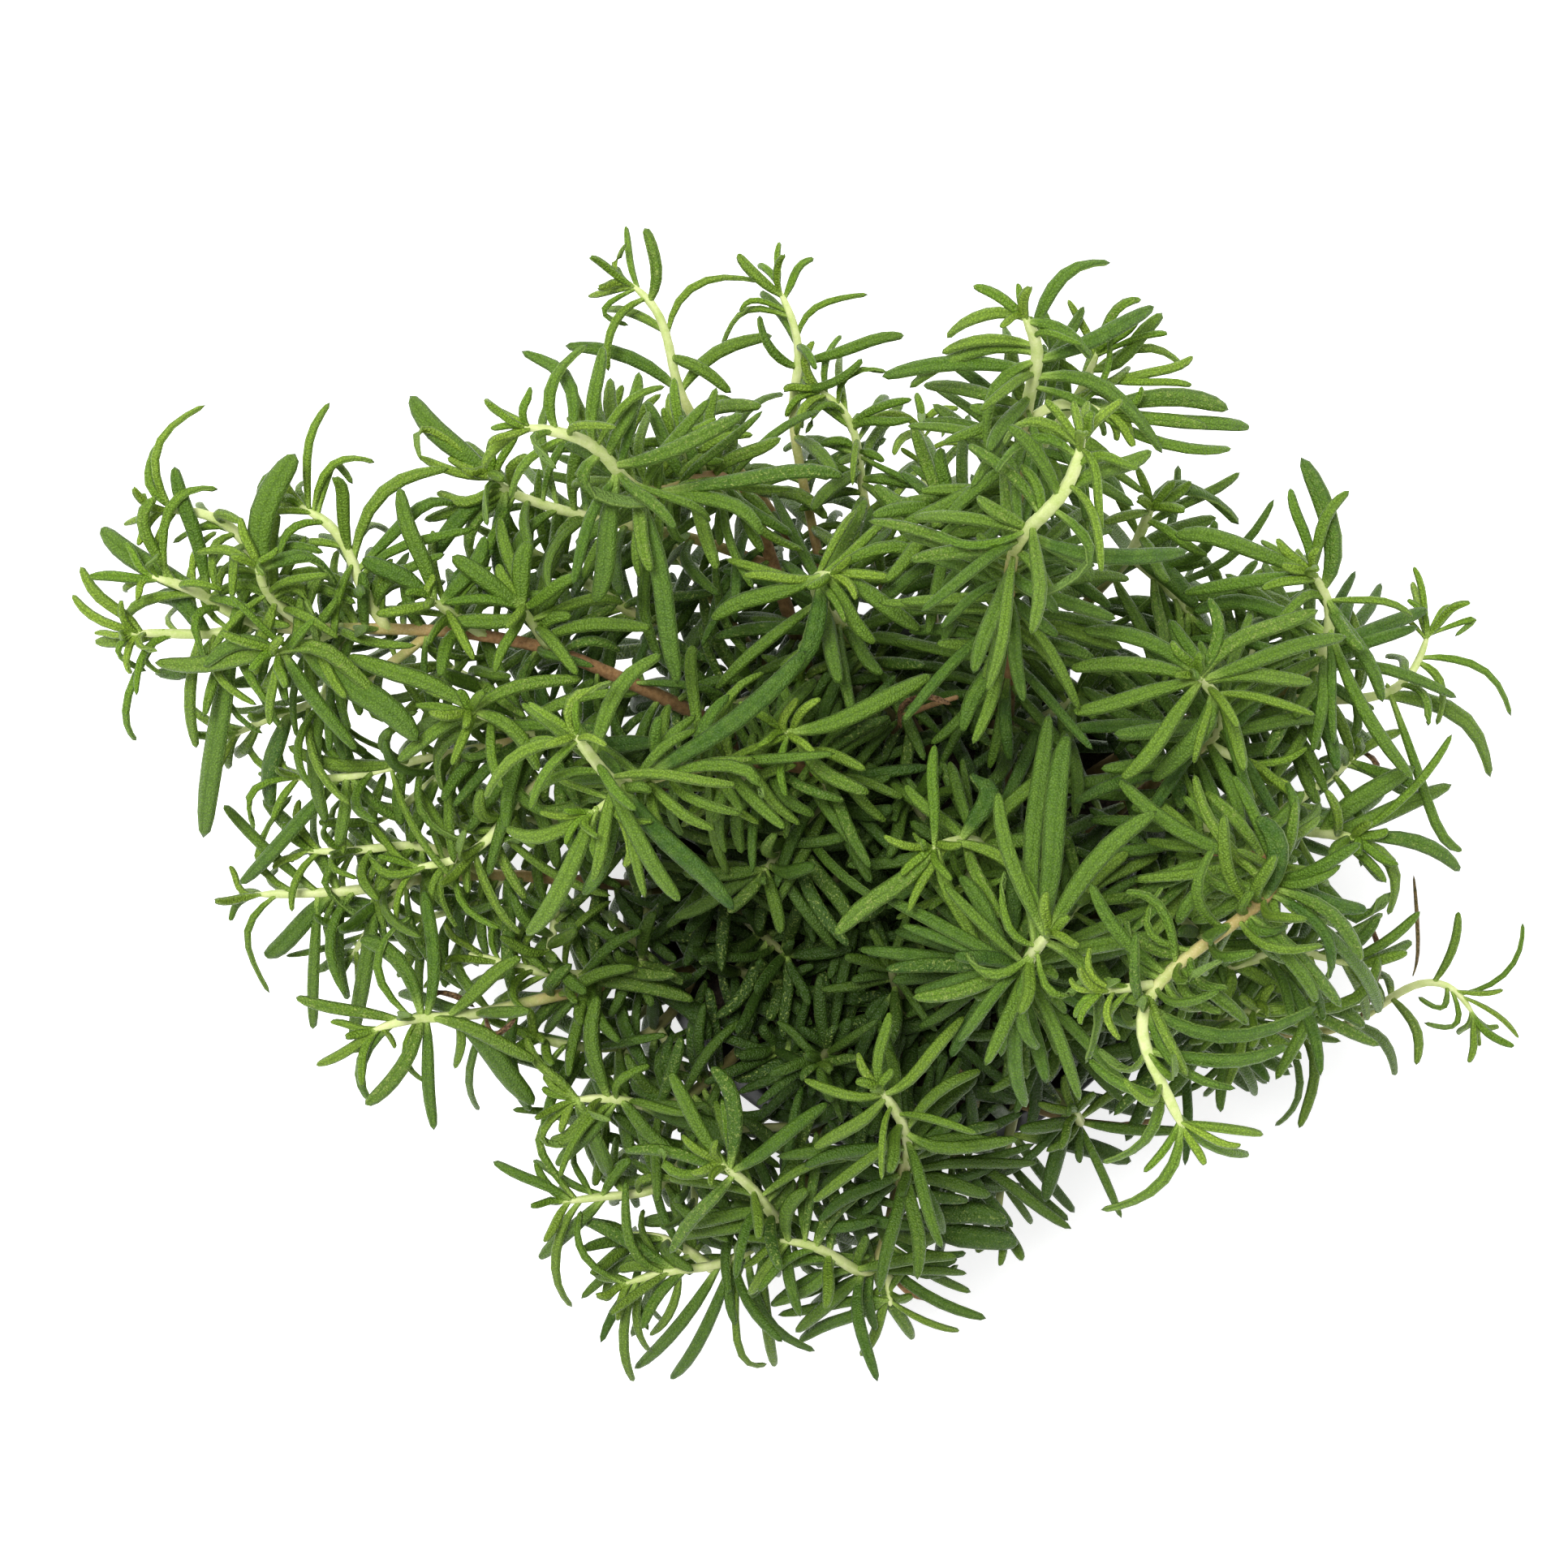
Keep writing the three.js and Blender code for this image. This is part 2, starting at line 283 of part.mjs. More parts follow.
    [6, -33, 114, -37.8, 107, -4, 1.6], [11, -18.5, 115, -9.3, 117, 0, 1.5],
    [16, -11, 107.5, -2.3, 109, 0, 2.6], [17, -28, 106, -30.5, 113, 2, 2.6],
    [22, -16, 100.5, -10.5, 104.5, 4, 2.2]],
  "north_mid 0": [[0, -7, 68, 3, 65, -2, 2.6], [1, -8, 58, 1, 51.5, -4, 3.4],
    [4, -19, 51, -27, 41, -4, 4.0], [3, -31, 58.5, -40, 53.5, -6, 3.4],
    [1, -13, 55, -8, 49, -4, 3.0]],
  "north_mid 1": [[3, 6, 94, 5, 89, -2, 1.2], [8, 6, 88, 11, 87, 1, 1.0], [9, -1, 86, -3, 87, 1, 1.2]],
  "crown 0": [[0, 13, 113.8, 6, 108.5, -4, 2.6], [1, 28.5, 111, 34, 104.5, -4, 2.8],
    [5, 27, 119.5, 38, 123.2, 0, 2.8], [8, 14, 109, 5, 105.5, -4, 2.4],
    [10, 11, 106, -1.3, 98.8, -6, 2.8], [12, 15.5, 98, 14, 86, -8, 2.8],
    [15, 7, 103, -6.7, 101, -6, 3.2], [12, 36, 110, 46.5, 114.7, -6, 3.2],
    [17, 38.5, 98, 48, 86, -8, 3.2]],
  "crown 1": [[0, 38, 113, 44, 116, 2, 2.0], [3, 42, 106.5, 48, 113.5, 2, 3.2],
    [4, 44, 106.3, 52, 103, -2, 2.0], [8, 47, 101.5, 54, 105, -4, 2.0]],
  "crown 2": [[0, 49, 97, 61, 94.5, -6, 3.8], [2, 54, 93, 65, 91, -10, 2.8],
    [3, 50, 88.5, 61.5, 87, -12, 2.2]],
  "high 0": [[1, 35.5, 81, 36.2, 70.8, -4, 1.9], [3, 23, 88.3, 15.5, 82, -4, 2.4],
    [1, 24, 92.8, 17, 87.5, -3, 2.4], [12, 38, 82.5, 46, 86.5, -4, 3.2],
    [16, 34.5, 67, 24, 58, -8, 2.4], [20, 23.5, 79, 20.3, 84, 0, 2.2],
    [25, 12.5, 67.5, 3.7, 71, -2, 1.8], [28, 38, 67, 53, 67, -8, 3.2]],
  "star 0": [[0, 44, 49.5, 32.5, 51.5, -2, 3.2], [1, 42, 45.3, 30, 44, -4, 3.2],
    [2, 42, 39, 30.5, 35.5, -6, 3.2], [0, 58, 50, 57, 58, 0, 2.6],
    [1, 66, 50.5, 78.5, 55.5, 0, 3.4], [2, 70, 47, 84, 50.3, -4, 3.2],
    [3, 67, 42, 77.5, 41.5, -6, 3.2], [2, 47, 31.5, 40, 22.5, -4, 3.2],
    [8, 54, 31, 46, 22, -8, 4.0]],
  "east_up 0": [[5, 81, 71, 75, 85.3, 4, 4.2], [0, 79, 71.5, 84.5, 78.8, 0, 2.4],
    [0, 74.5, 71.5, 73, 79.3, 0, 2.2], [8, 87.5, 49, 91, 37.5, -8, 3.0],
    [17, 88.5, 35, 97, 22.5, -4, 2.8], [20, 66, 56, 54, 55, -4, 3.2]],
  "east_up 1": [[0, 108.5, 54, 105, 50.3, -1, 1.4], [1, 95, 54.3, 92.5, 49.5, -1, 1.2],
    [1, 99, 58, 97, 64, 3, 1.5], [5, 109.5, 45, 116, 34.7, -6, 1.9],
    [6, 102.8, 41, 101.5, 33, -4, 2.2], [18, 104.5, 34.5, 112, 22.8, -8, 3.6]],
  "east_low 0": [[8, 106, -24.5, 99, -25, -4, 1.4], [0, 109, -26.5, 110, -29.5, -3, 1.8],
    [7, 111, -19, 114.5, -18.5, 1, 1.2], [5, 114, -23.5, 117.5, -28, -3, 1.2]],
  "star 2": [[10, 87, 17.5, 97.3, 25, 4, 4.2], [9, 92, 15, 104.5, 21.5, -2, 3.6],
    [2, 92.5, 5, 92, -4, -8, 2.8], [0, 99, 10.8, 106, 4.5, -6, 3.2],
    [18, 84, -2.5, 92.5, 0.5, 6, 3.2]],
};

// ---- Repeatable draws, from 0 to 1 ----
function draw(shoot, joint, purpose) {
  let seed = Math.imul(shoot + 1, 0x9e3779b1) ^ Math.imul(joint + 1, 0x85ebca6b);
  seed ^= Math.imul(purpose + 1, 0xc2b2ae35);
  seed = (seed + 0x6d2b79f5) >>> 0;
  let mixed = Math.imul(seed ^ (seed >>> 15), seed | 1);
  mixed ^= mixed + Math.imul(mixed ^ (mixed >>> 7), mixed | 61);
  return ((mixed ^ (mixed >>> 14)) >>> 0) / 4294967296;
}

// ---- Solids ----
function solidOf(geometry) {
  geometry.deleteAttribute("normal");
  geometry.deleteAttribute("uv");
  const merged = mergeVertices(geometry, 1e-4);
  return new wasm.Manifold(new wasm.Mesh({
    numProp: 3,
    vertProperties: new Float32Array(merged.attributes.position.array),
    triVerts: new Uint32Array(merged.index.array),
  }));
}

function geometryOf(solid) {
  const { vertProperties, triVerts } = solid.getMesh();
  const geometry = new THREE.BufferGeometry();
  geometry.setAttribute("position", new THREE.BufferAttribute(vertProperties, 3));
  geometry.setIndex(new THREE.BufferAttribute(triVerts, 1));
  geometry.computeVertexNormals();
  return geometry;
}

// The largest body of a fused solid, without loose scraps and with any sealed hollow filled.
function mainBody(solid) {
  return solid.decompose().reduce((best, body) => (body.volume() > best.volume() ? body : best));
}

// The faces that close a ring: a fan to the point numbered apex, or a flat cap without one.
function closingOf(start, sides, apex) {
  const faces = [];
  for (let side = 0; side < sides; side += 1) {
    const next = start + ((side + 1) % sides);
    if (apex !== null) {
      faces.push([start + side, next, apex]);
    } else if (side > 0 && side < sides - 1) {
      faces.push([start + side, next, start]);
    }
  }
  return faces;
}

// Rings of points, each counter-clockwise about the way to the next. Each end closes on a point
// where one is given, and otherwise with a flat cap.
function loft(rings, foot = null, tip = null) {
  const sides = rings[0].length;
  const last = (rings.length - 1) * sides;
  const ends = [foot, tip].filter(Boolean);
  const first = closingOf(0, sides, foot ? last + sides : null).map(([a, b, c]) => [b, a, c]);
  const faces = [...first, ...closingOf(last, sides, tip ? last + sides + ends.length - 1 : null)];
  for (let a = 0; a < last; a += 1) {
    const b = (a + 1) % sides === 0 ? a + 1 - sides : a + 1;
    faces.push([a, b, b + sides], [a, b + sides, a + sides]);
  }
  const geometry = new THREE.BufferGeometry();
  geometry.setFromPoints([...rings.flat(), ...ends]);
  geometry.setIndex(faces.flat());
  return geometry;
}

// ---- Stems ----
function placed(x, y, z) {
  const reach = (EYE.z - z) / (EYE.z - PLAN_HEIGHT);
  return new THREE.Vector3(EYE.x + (x - EYE.x) * reach, EYE.y + (y - EYE.y) * reach, z);
}

const BEND_REACH = 4;

function nearestOf(spots, point) {
  return spots.reduce((best, spot) =>
    (spot.distanceTo(point) < best.distanceTo(point) ? spot : best));
}

function nearestOnLine(line, point) {
  const spots = line.slice(1).map((end, i) =>
    new THREE.Line3(line[i], end).closestPointToPoint(point, true, new THREE.Vector3()));
  return nearestOf(spots, point);
}

// Where along the line a distance from its start falls: the segment's number and the share of it.
function placeOn({ run }, distance) {
  const wanted = THREE.MathUtils.clamp(distance, 0, run[run.length - 1]);
  let i = 0;
  while (i < run.length - 2 && run[i + 1] < wanted) {
    i += 1;
  }
  return [i, (wanted - run[i]) / (run[i + 1] - run[i])];
}

function pointAt(shoot, distance) {
  const [i, share] = placeOn(shoot, distance);
  return shoot.line[i].clone().lerp(shoot.line[i + 1], share);
}

function tangentAt(shoot, distance) {
  const ahead = pointAt(shoot, distance + BEND_REACH);
  return ahead.sub(pointAt(shoot, distance - BEND_REACH)).normalize();
}

function radiusAt(shoot, distance) {
  const share = THREE.MathUtils.clamp(distance / shoot.length, 0, 1);
  return THREE.MathUtils.lerp(shoot.rootRadius, shoot.tipRadius, share);
}

// Normals at the stem's points, each turned from the one before as little as it can be.
function normalsAlong(shoot) {
  const start = Math.abs(tangentAt(shoot, 0).x) > 0.9 ? [0, 1, 0] : [1, 0, 0];
  let normal = new THREE.Vector3(...start);
  return shoot.run.map((distance) => {
    const tangent = tangentAt(shoot, distance);
    normal = normal.clone().addScaledVector(tangent, -normal.dot(tangent)).normalize();
    return normal;
  });
}

function frameAt(shoot, distance) {
  const [i, share] = placeOn(shoot, distance);
  const tangent = tangentAt(shoot, distance);
  const normal = shoot.normals[i].clone().lerp(shoot.normals[i + 1], share);
  normal.addScaledVector(tangent, -normal.dot(tangent)).normalize();
  return { tangent, normal, across: tangent.clone().cross(normal) };
}

// The direction square to the stem at a turn about it.
function outward(frame, turn) {
  return frame.normal.clone().multiplyScalar(Math.cos(turn))
    .addScaledVector(frame.across, Math.sin(turn));
}

// The stem's square section at a distance along it, larger all round by the growth.
function sectionAt(shoot, distance, growth = 0) {
  const centre = pointAt(shoot, distance);
  const frame = frameAt(shoot, distance);
  const radius = radiusAt(shoot, distance) * SQUARE_STEM + growth * Math.SQRT2;
  return Array.from({ length: STEM_SIDES }, (_, side) => {
    const turn = shoot.turn + (2 * Math.PI * (side + 0.5)) / STEM_SIDES;
    return centre.clone().addScaledVector(outward(frame, turn), radius);
  });
}

// A young rosemary stem is square, and its leaves stand on the middles of its four sides.
function stemOf(shoot) {
  return loft(shoot.run.map((distance) => sectionAt(shoot, distance)));
}

// The hole that a stem's foot stands in, a little wider and deeper than the foot.
function holeOf(shoot) {
  const down = tangentAt(shoot, 0).multiplyScalar(-FIT_GAP);
  const bottom = sectionAt(shoot, 0, FIT_GAP).map((corner) => corner.add(down));
  return loft([bottom, ...shoot.run.slice(1, 2).map((distance) => sectionAt(shoot, distance, FIT_GAP))]);
}

// A side shoot starts on the nearest of its branch's earlier stems.
function readShoots() {
  const shoots = [];
  Object.entries(SHOOTS).forEach(([name, [leafy, rootRadius, tipRadius, youth, points]], index) => {
    const branch = name.split(" ")[0];
    const line = points.map((point) => placed(...point));
    const roots = shoots.filter((earlier) => earlier.branch === branch)
      .map((earlier) => nearestOnLine(earlier.line, line[0]));
    if (roots.length > 0) {
      line[0] = nearestOf(roots, line[0]);
    }
    const run = [0];
    line.slice(1).forEach((point, i) => run.push(run[i] + point.distanceTo(line[i])));
    const length = run[run.length - 1];
    const bearing = Math.min(leafy, length - 3);
    const shoot = {
      name, index, branch, rootRadius, tipRadius, youth, line, run, length,
      joints: Math.floor((bearing - TIP_JOINT) / JOINT_STEP) + 1,
      turn: (draw(index, 0, 0) * Math.PI) / 2,
    };
    shoots.push({ ...shoot, normals: normalsAlong(shoot) });
  });
  return shoots;
}

// ---- Leaves ----
function bend(leaf, t) {
  const rest = 1 - t;
  return leaf.root.clone().multiplyScalar(rest * rest)
    .addScaledVector(leaf.middle, 2 * rest * t)
    .addScaledVector(leaf.tip, t * t);
}

function heading(leaf, t) {
  const first = leaf.middle.clone().sub(leaf.root).multiplyScalar(1 - t);
  return first.addScaledVector(leaf.tip.clone().sub(leaf.middle), t).normalize();
}

function sideways(leaf, t) {
  const along = heading(leaf, t);
  return leaf.side.clone().addScaledVector(along, -leaf.side.dot(along)).normalize();
}

// A three-sided needle, ridged on top. It widens from a foot sunk in its stem and narrows to its
// tip. The stations are shares of its length with the share of its width there.
function needleOf(leaf) {
  const rings = leaf.stations.map(([t, share]) => {
    const centre = bend(leaf, t);
    const side = sideways(leaf, t);
    const up = heading(leaf, t).cross(side);
    const half = (leaf.width * share) / 2;
    return [
      centre.clone().addScaledVector(side, half).addScaledVector(up, -leaf.thickness / 3),
      centre.clone().addScaledVector(up, (2 * leaf.thickness) / 3),
      centre.clone().addScaledVector(side, -half).addScaledVector(up, -leaf.thickness / 3),
    ];
  });
  const foot = leaf.root.clone().addScaledVector(leaf.way, -leaf.sunk);
  return loft(rings, foot, leaf.tip);
}

const SHORT_STATIONS = [[0.38, 1]];
const LONG_STATIONS = [[0.33, 1], [0.84, 0.8]];

// ---- Room for each leaf ----
const taken = [];

function nearestPoints(a, b, c, d) {
  const u = b.clone().sub(a);
  const v = d.clone().sub(c);
  const w = a.clone().sub(c);
  const uu = u.dot(u);
  const uv = u.dot(v);
  const vv = v.dot(v);
  const uw = u.dot(w);
  const vw = v.dot(w);
  const spread = uu * vv - uv * uv;
  let s = spread > 1e-9 ? THREE.MathUtils.clamp((uv * vw - vv * uw) / spread, 0, 1) : 0;
  const t = THREE.MathUtils.clamp((uv * s + vw) / vv, 0, 1);
  s = THREE.MathUtils.clamp((uv * t - uw) / uu, 0, 1);
  return [a.clone().addScaledVector(u, s), c.clone().addScaledVector(v, t)];
}

function piecesOfStem(shoot) {
  return shoot.line.slice(1).map((end, i) => {
    const radius = radiusAt(shoot, shoot.run[i]) * SQUARE_STEM;
    const { normal, across } = frameAt(shoot, (shoot.run[i] + shoot.run[i + 1]) / 2);
    return {
      branch: shoot.branch, start: shoot.line[i], end, side: normal, up: across, half: radius,
      thick: radius, inner: false,
    };
  });
}

const LEAF_MARKS = [0, 0.35, 0.7, 1];

function piecesOfLeaf(leaf) {
  return LEAF_MARKS.slice(1).map((t, i) => {
    const middle = (t + LEAF_MARKS[i]) / 2;
    const side = sideways(leaf, middle);
    return {
      branch: leaf.branch, start: bend(leaf, LEAF_MARKS[i]), end: bend(leaf, t), side,
      up: heading(leaf, middle).cross(side), half: leaf.width / 2, thick: leaf.thickness * 0.7,
      inner: i === 0,
    };
  });
}

function boxesApart(a, b) {
  const pad = a.half + b.half + LEAF_GAP;
  return ["x", "y", "z"].some((axis) =>
    Math.max(a.start[axis], a.end[axis]) + pad < Math.min(b.start[axis], b.end[axis])
    || Math.max(b.start[axis], b.end[axis]) + pad < Math.min(a.start[axis], a.end[axis]));
}

function reachOf(piece, direction) {
  return Math.abs(piece.side.dot(direction)) * piece.half
    + Math.abs(piece.up.dot(direction)) * piece.thick;
}

function piecesMeet(a, b) {
  if (boxesApart(a, b)) {
    return false;
  }
  const [p, q] = nearestPoints(a.start, a.end, b.start, b.end);
  const between = q.clone().sub(p);
  const distance = between.length();
  if (distance < 1e-6) {
    return true;
  }
  between.divideScalar(distance);
  return distance < reachOf(a, between) + reachOf(b, between) + LEAF_GAP;
}

function inPotOrSoil(point) {
  const radius = Math.hypot(point.x, point.y);
  const overSoil = point.z < SOIL_LEVEL + SOIL_LUMP + 1.5 && radius < RIM_DIAMETER / 2;
  const atRim = point.z < POT_HEIGHT + 2 && radius > 46 && radius < RIM_DIAMETER / 2 + 2.5;
  return overSoil || atRim;
}

// A leaf keeps clear of other branches all along, and of its own branch past its root.
function hasRoom(leaf) {
  const pieces = piecesOfLeaf(leaf);
  return !pieces.some((piece) => inPotOrSoil(piece.end) || taken.some((other) => {
    const kin = other.branch === leaf.branch;
    return !(kin && (piece.inner || other.inner)) && piecesMeet(piece, other);
  }));
}

// The first of a leaf's positions that has room, or none.
function settle(positions) {
  const leaf = positions.find(hasRoom);
  if (leaf) {
    taken.push(...piecesOfLeaf(leaf));
  }
  return leaf;
}

// ---- Growth ----
const LIGHT_SHARE = 0.6;

// A leaf turns its upper face towards its stem's tip and towards the light above.
function faceSide(stem, first) {
  const light = new THREE.Vector3(0, 0, LIGHT_SHARE).addScaledVector(stem, 1 - LIGHT_SHARE);
  return light.cross(first).normalize();
}

const PLAN_SHIFTS = [[0, 1], [2, 1], [-2, 1], [4, 1], [-4, 1], [7, 1], [-7, 1], [0, 0.8], [4, 0.8],
  [-4, 0.8], [0, 0.6]];

function planLeaf(shoot, [back, middleX, middleY, tipX, tipY, rise, width], [shift, share]) {
  const distance = Math.max(shoot.length - back - 1, 1);
  const root = pointAt(shoot, distance);
  const arch = Math.hypot(tipX - middleX, tipY - middleY) * 0.2;
  const seenMiddle = placed(middleX, middleY, root.z + (rise + shift) / 2 + arch);
  const far = placed(tipX, tipY, root.z + rise + shift);
  const through = seenMiddle.multiplyScalar(2).addScaledVector(root, -0.5).addScaledVector(far, -0.5);
  const middle = root.clone().lerp(through, share);
  const tip = share < 1 ? middle.clone().lerp(through.clone().lerp(far, share), share) : far;
  const first = middle.clone().sub(root).normalize();
  return {
    branch: shoot.branch, root, middle, tip, width: Math.max(width, 1.2),
    side: faceSide(frameAt(shoot, distance).tangent, first),
    thickness: Math.min(LEAF_THICKNESS, 0.5 + width * 0.3),
    stations: width > 3.5 ? LONG_STATIONS : SHORT_STATIONS,
    distance, way: first, sunk: FOOT_SUNK * radiusAt(shoot, distance),
  };
}

// Turn about the stem, change of stance and share of length that a leaf tries until it has room.
const TRIES = [[0, 0, 1], [0.35, 0, 1], [-0.35, 0, 1], [0.7, 0, 1], [-0.7, 0, 1], [0.2, 0.3, 0.85],
  [-0.2, 0.3, 0.85], [0.5, -0.3, 0.8], [-0.5, -0.3, 0.8]];

// Leaves stand in crossed pairs. Near the tip they are small and upright, lower down they are full
// length, stand out and arch over, and on young shoots they curl back.
function pairLeaf(shoot, joint, pair, [turnBy, standBy, share]) {
  const fromTip = joint * JOINT_STEP + TIP_JOINT;
  const distance = shoot.length - fromTip;
  const frame = frameAt(shoot, distance);
  const stem = frame.tangent;
  const key = joint * 2 + pair;
  const turn = shoot.turn + joint * (Math.PI / 2) + pair * Math.PI
    + (draw(shoot.index, key, 1) - 0.5) * 0.4 + turnBy;
  const out = outward(frame, turn);
  const ripeness = Math.min(1, fromTip / 26);
  const stand = THREE.MathUtils.lerp(0.55, 1.15, ripeness)
    + (draw(shoot.index, key, 2) - 0.5) * 0.35 + standBy;
  const curl = THREE.MathUtils.lerp(0.25, 0.85, shoot.youth) * (0.5 + draw(shoot.index, key, 3));
  const length = share * LEAF_LENGTH * THREE.MathUtils.lerp(0.42, 1, ripeness)
    * THREE.MathUtils.lerp(1, 0.78, shoot.youth) * (0.82 + 0.34 * draw(shoot.index, key, 4));
  const width = LEAF_WIDTH * THREE.MathUtils.lerp(0.62, 1, ripeness)
    * THREE.MathUtils.lerp(1, 0.72, shoot.youth) * (0.85 + 0.3 * draw(shoot.index, key, 5));
  const first = stem.clone().multiplyScalar(Math.cos(stand)).addScaledVector(out, Math.sin(stand));
  const second = stem.clone().multiplyScalar(Math.cos(stand + curl))
    .addScaledVector(out, Math.sin(stand + curl));
  second.z -= 0.12;
  const root = pointAt(shoot, distance);
  const middle = root.clone().addScaledVector(first, length / 2);
  return {
    branch: shoot.branch, root, middle, width,
    tip: middle.clone().addScaledVector(second.normalize(), length / 2),
    side: faceSide(stem, first),
    thickness: LEAF_THICKNESS,
    stations: SHORT_STATIONS,
    distance, way: first, sunk: FOOT_SUNK * radiusAt(shoot, distance),
  };
}

// A plan leaf already stands where this pair leaf would.
function standsInFor(planned, leaf) {
  return Math.abs(planned.distance - leaf.distance) < JOINT_STEP * 0.6
    && planned.way.angleTo(leaf.way) < 0.8;
}

function growPlanLeaves(shoot) {
  const rows = PLAN_LEAVES[shoot.name] ?? [];
  return rows.map((row) => settle(PLAN_SHIFTS.map((shift) => planLeaf(shoot, row, shift))))
    .filter(Boolean);
}

function growPairLeaves(shoot, planned) {
  const leaves = [];
  for (let joint = 0; joint < shoot.joints; joint += 1) {
    for (const pair of [0, 1]) {
      const positions = TRIES.map((change) => pairLeaf(shoot, joint, pair, change));
      if (!planned.some((other) => standsInFor(other, positions[0]))) {
        leaves.push(settle(positions));
      }
    }
  }
  return leaves.filter(Boolean);
}

// ---- Pot ----
function potWallRadius(z) {
  return THREE.MathUtils.lerp(BASE_DIAMETER / 2, RIM_DIAMETER / 2 - COLLAR_PROUD, z / POT_HEIGHT);
}

function potInnerRadius(z) {
  return potWallRadius(z) - POT_WALL;
}

function potGeometry() {
  const top = POT_HEIGHT;
  const collar = POT_HEIGHT - COLLAR_HEIGHT;
  const rim = RIM_DIAMETER / 2;
  const corner = FLOOR_THICKNESS + INNER_ROUND;
  const profile = [
    [0, 0],
    [BASE_DIAMETER / 2 - BASE_ROUND, 0],
    [potWallRadius(BASE_ROUND), BASE_ROUND],
    [potWallRadius(collar - LIP_ROUND), collar - LIP_ROUND],
    [rim - COLLAR_DRAFT, collar],
    [rim, top - LIP_ROUND],
    [rim - LIP_ROUND, top],
    [potInnerRadius(top) + LIP_ROUND, top],
    [potInnerRadius(top), top - LIP_ROUND],
    [potInnerRadius(corner), corner],
    [potInnerRadius(corner) - INNER_ROUND, FLOOR_THICKNESS],
    [0, FLOOR_THICKNESS],
  ];
  const turned = new THREE.LatheGeometry(profile.map(([r, z]) => new THREE.Vector2(r, z)), POT_SIDES);
  turned.rotateX(Math.PI / 2);
  let pot = solidOf(turned);
  for (let i = 0; i < DRAIN_COUNT; i += 1) {
    const arch = new THREE.CylinderGeometry(DRAIN_WIDTH / 2, DRAIN_WIDTH / 2, DRAIN_REACH, DRAIN_SIDES);
    arch.rotateZ(Math.PI / 2);
    arch.scale(1, 1, (2 * DRAIN_HEIGHT) / DRAIN_WIDTH);
    arch.translate(BASE_DIAMETER / 2, 0, 0);
    arch.rotateZ(((i + 0.25) * 2 * Math.PI) / DRAIN_COUNT);
    pot = pot.subtract(solidOf(arch));
  }
  return geometryOf(pot);
}

// ---- Compost ----
function soilGeometry(shoots) {
  const bottom = FLOOR_THICKNESS + FIT_GAP;
  const shoulder = bottom + 2 * INNER_ROUND;
  const edgeLevel = SOIL_LEVEL - SOIL_EDGE_DROP;
  const radiusAtWall = (z) => (potInnerRadius(z) - FIT_GAP) * Math.cos(Math.PI / POT_SIDES);
  const ring = (radius, height, lump = 0, key = 0) =>
    Array.from({ length: SOIL_SIDES }, (_, side) => {
      const angle = (2 * Math.PI * side) / SOIL_SIDES;
      const z = height + lump * (draw(SOIL_DRAWS + key, side, 6) - 0.5) * 2;
      return new THREE.Vector3(radius * Math.cos(angle), radius * Math.sin(angle), z);
    });
  const edge = radiusAtWall(edgeLevel);
  const rings = [
    ring(radiusAtWall(bottom) - 2 * INNER_ROUND, bottom),
    ring(radiusAtWall(shoulder), shoulder),
    ring(edge, edgeLevel),
    ...SOIL_RINGS.map((share, i) => ring(edge * share, SOIL_LEVEL, SOIL_LUMP, i)),
  ];
  const trunks = shoots.filter((shoot) => shoot.name.endsWith(" 0"));
  const holes = trunks.map((shoot) => solidOf(holeOf(shoot)));
  const soil = holes.reduce((left, hole) => left.subtract(hole), solidOf(loft(rings)));
  return geometryOf(mainBody(soil));
}

// ---- The whole plant ----
function named(name, geometry, colour, roughness) {
  const material = new THREE.MeshStandardMaterial({ color: colour, roughness, metalness: 0 });
  const mesh = new THREE.Mesh(geometry, material);
  mesh.name = name;
  return mesh;
}

function buildPlant() {
  const plant = new THREE.Group();
  const shoots = readShoots();
  shoots.forEach((shoot) => taken.push(...piecesOfStem(shoot)));
  plant.add(named("pot", potGeometry(), 0x15161a, 0.45));
  plant.add(named("soil", soilGeometry(shoots), 0x1d1712, 0.95));
  const planned = new Map(shoots.map((shoot) => [shoot, growPlanLeaves(shoot)]));
  const paired = new Map(shoots.map((shoot) => [shoot, growPairLeaves(shoot, planned.get(shoot))]));
  const branches = [...new Set(shoots.map((shoot) => shoot.branch))];
  branches.forEach((branch) => {
    const own = shoots.filter((shoot) => shoot.branch === branch);
    const leaves = own.flatMap((shoot) => [...planned.get(shoot), ...paired.get(shoot)]);
    const parts = [...own.map(stemOf), ...leaves.map(needleOf)];
    const grown = parts.map(solidOf).reduce((sum, part) => sum.add(part));
    plant.add(named(`${branch}_branch`, geometryOf(mainBody(grown)), 0x4b7a2f, 0.6));
  });
  return plant;
}

export default buildPlant();
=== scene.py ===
import math

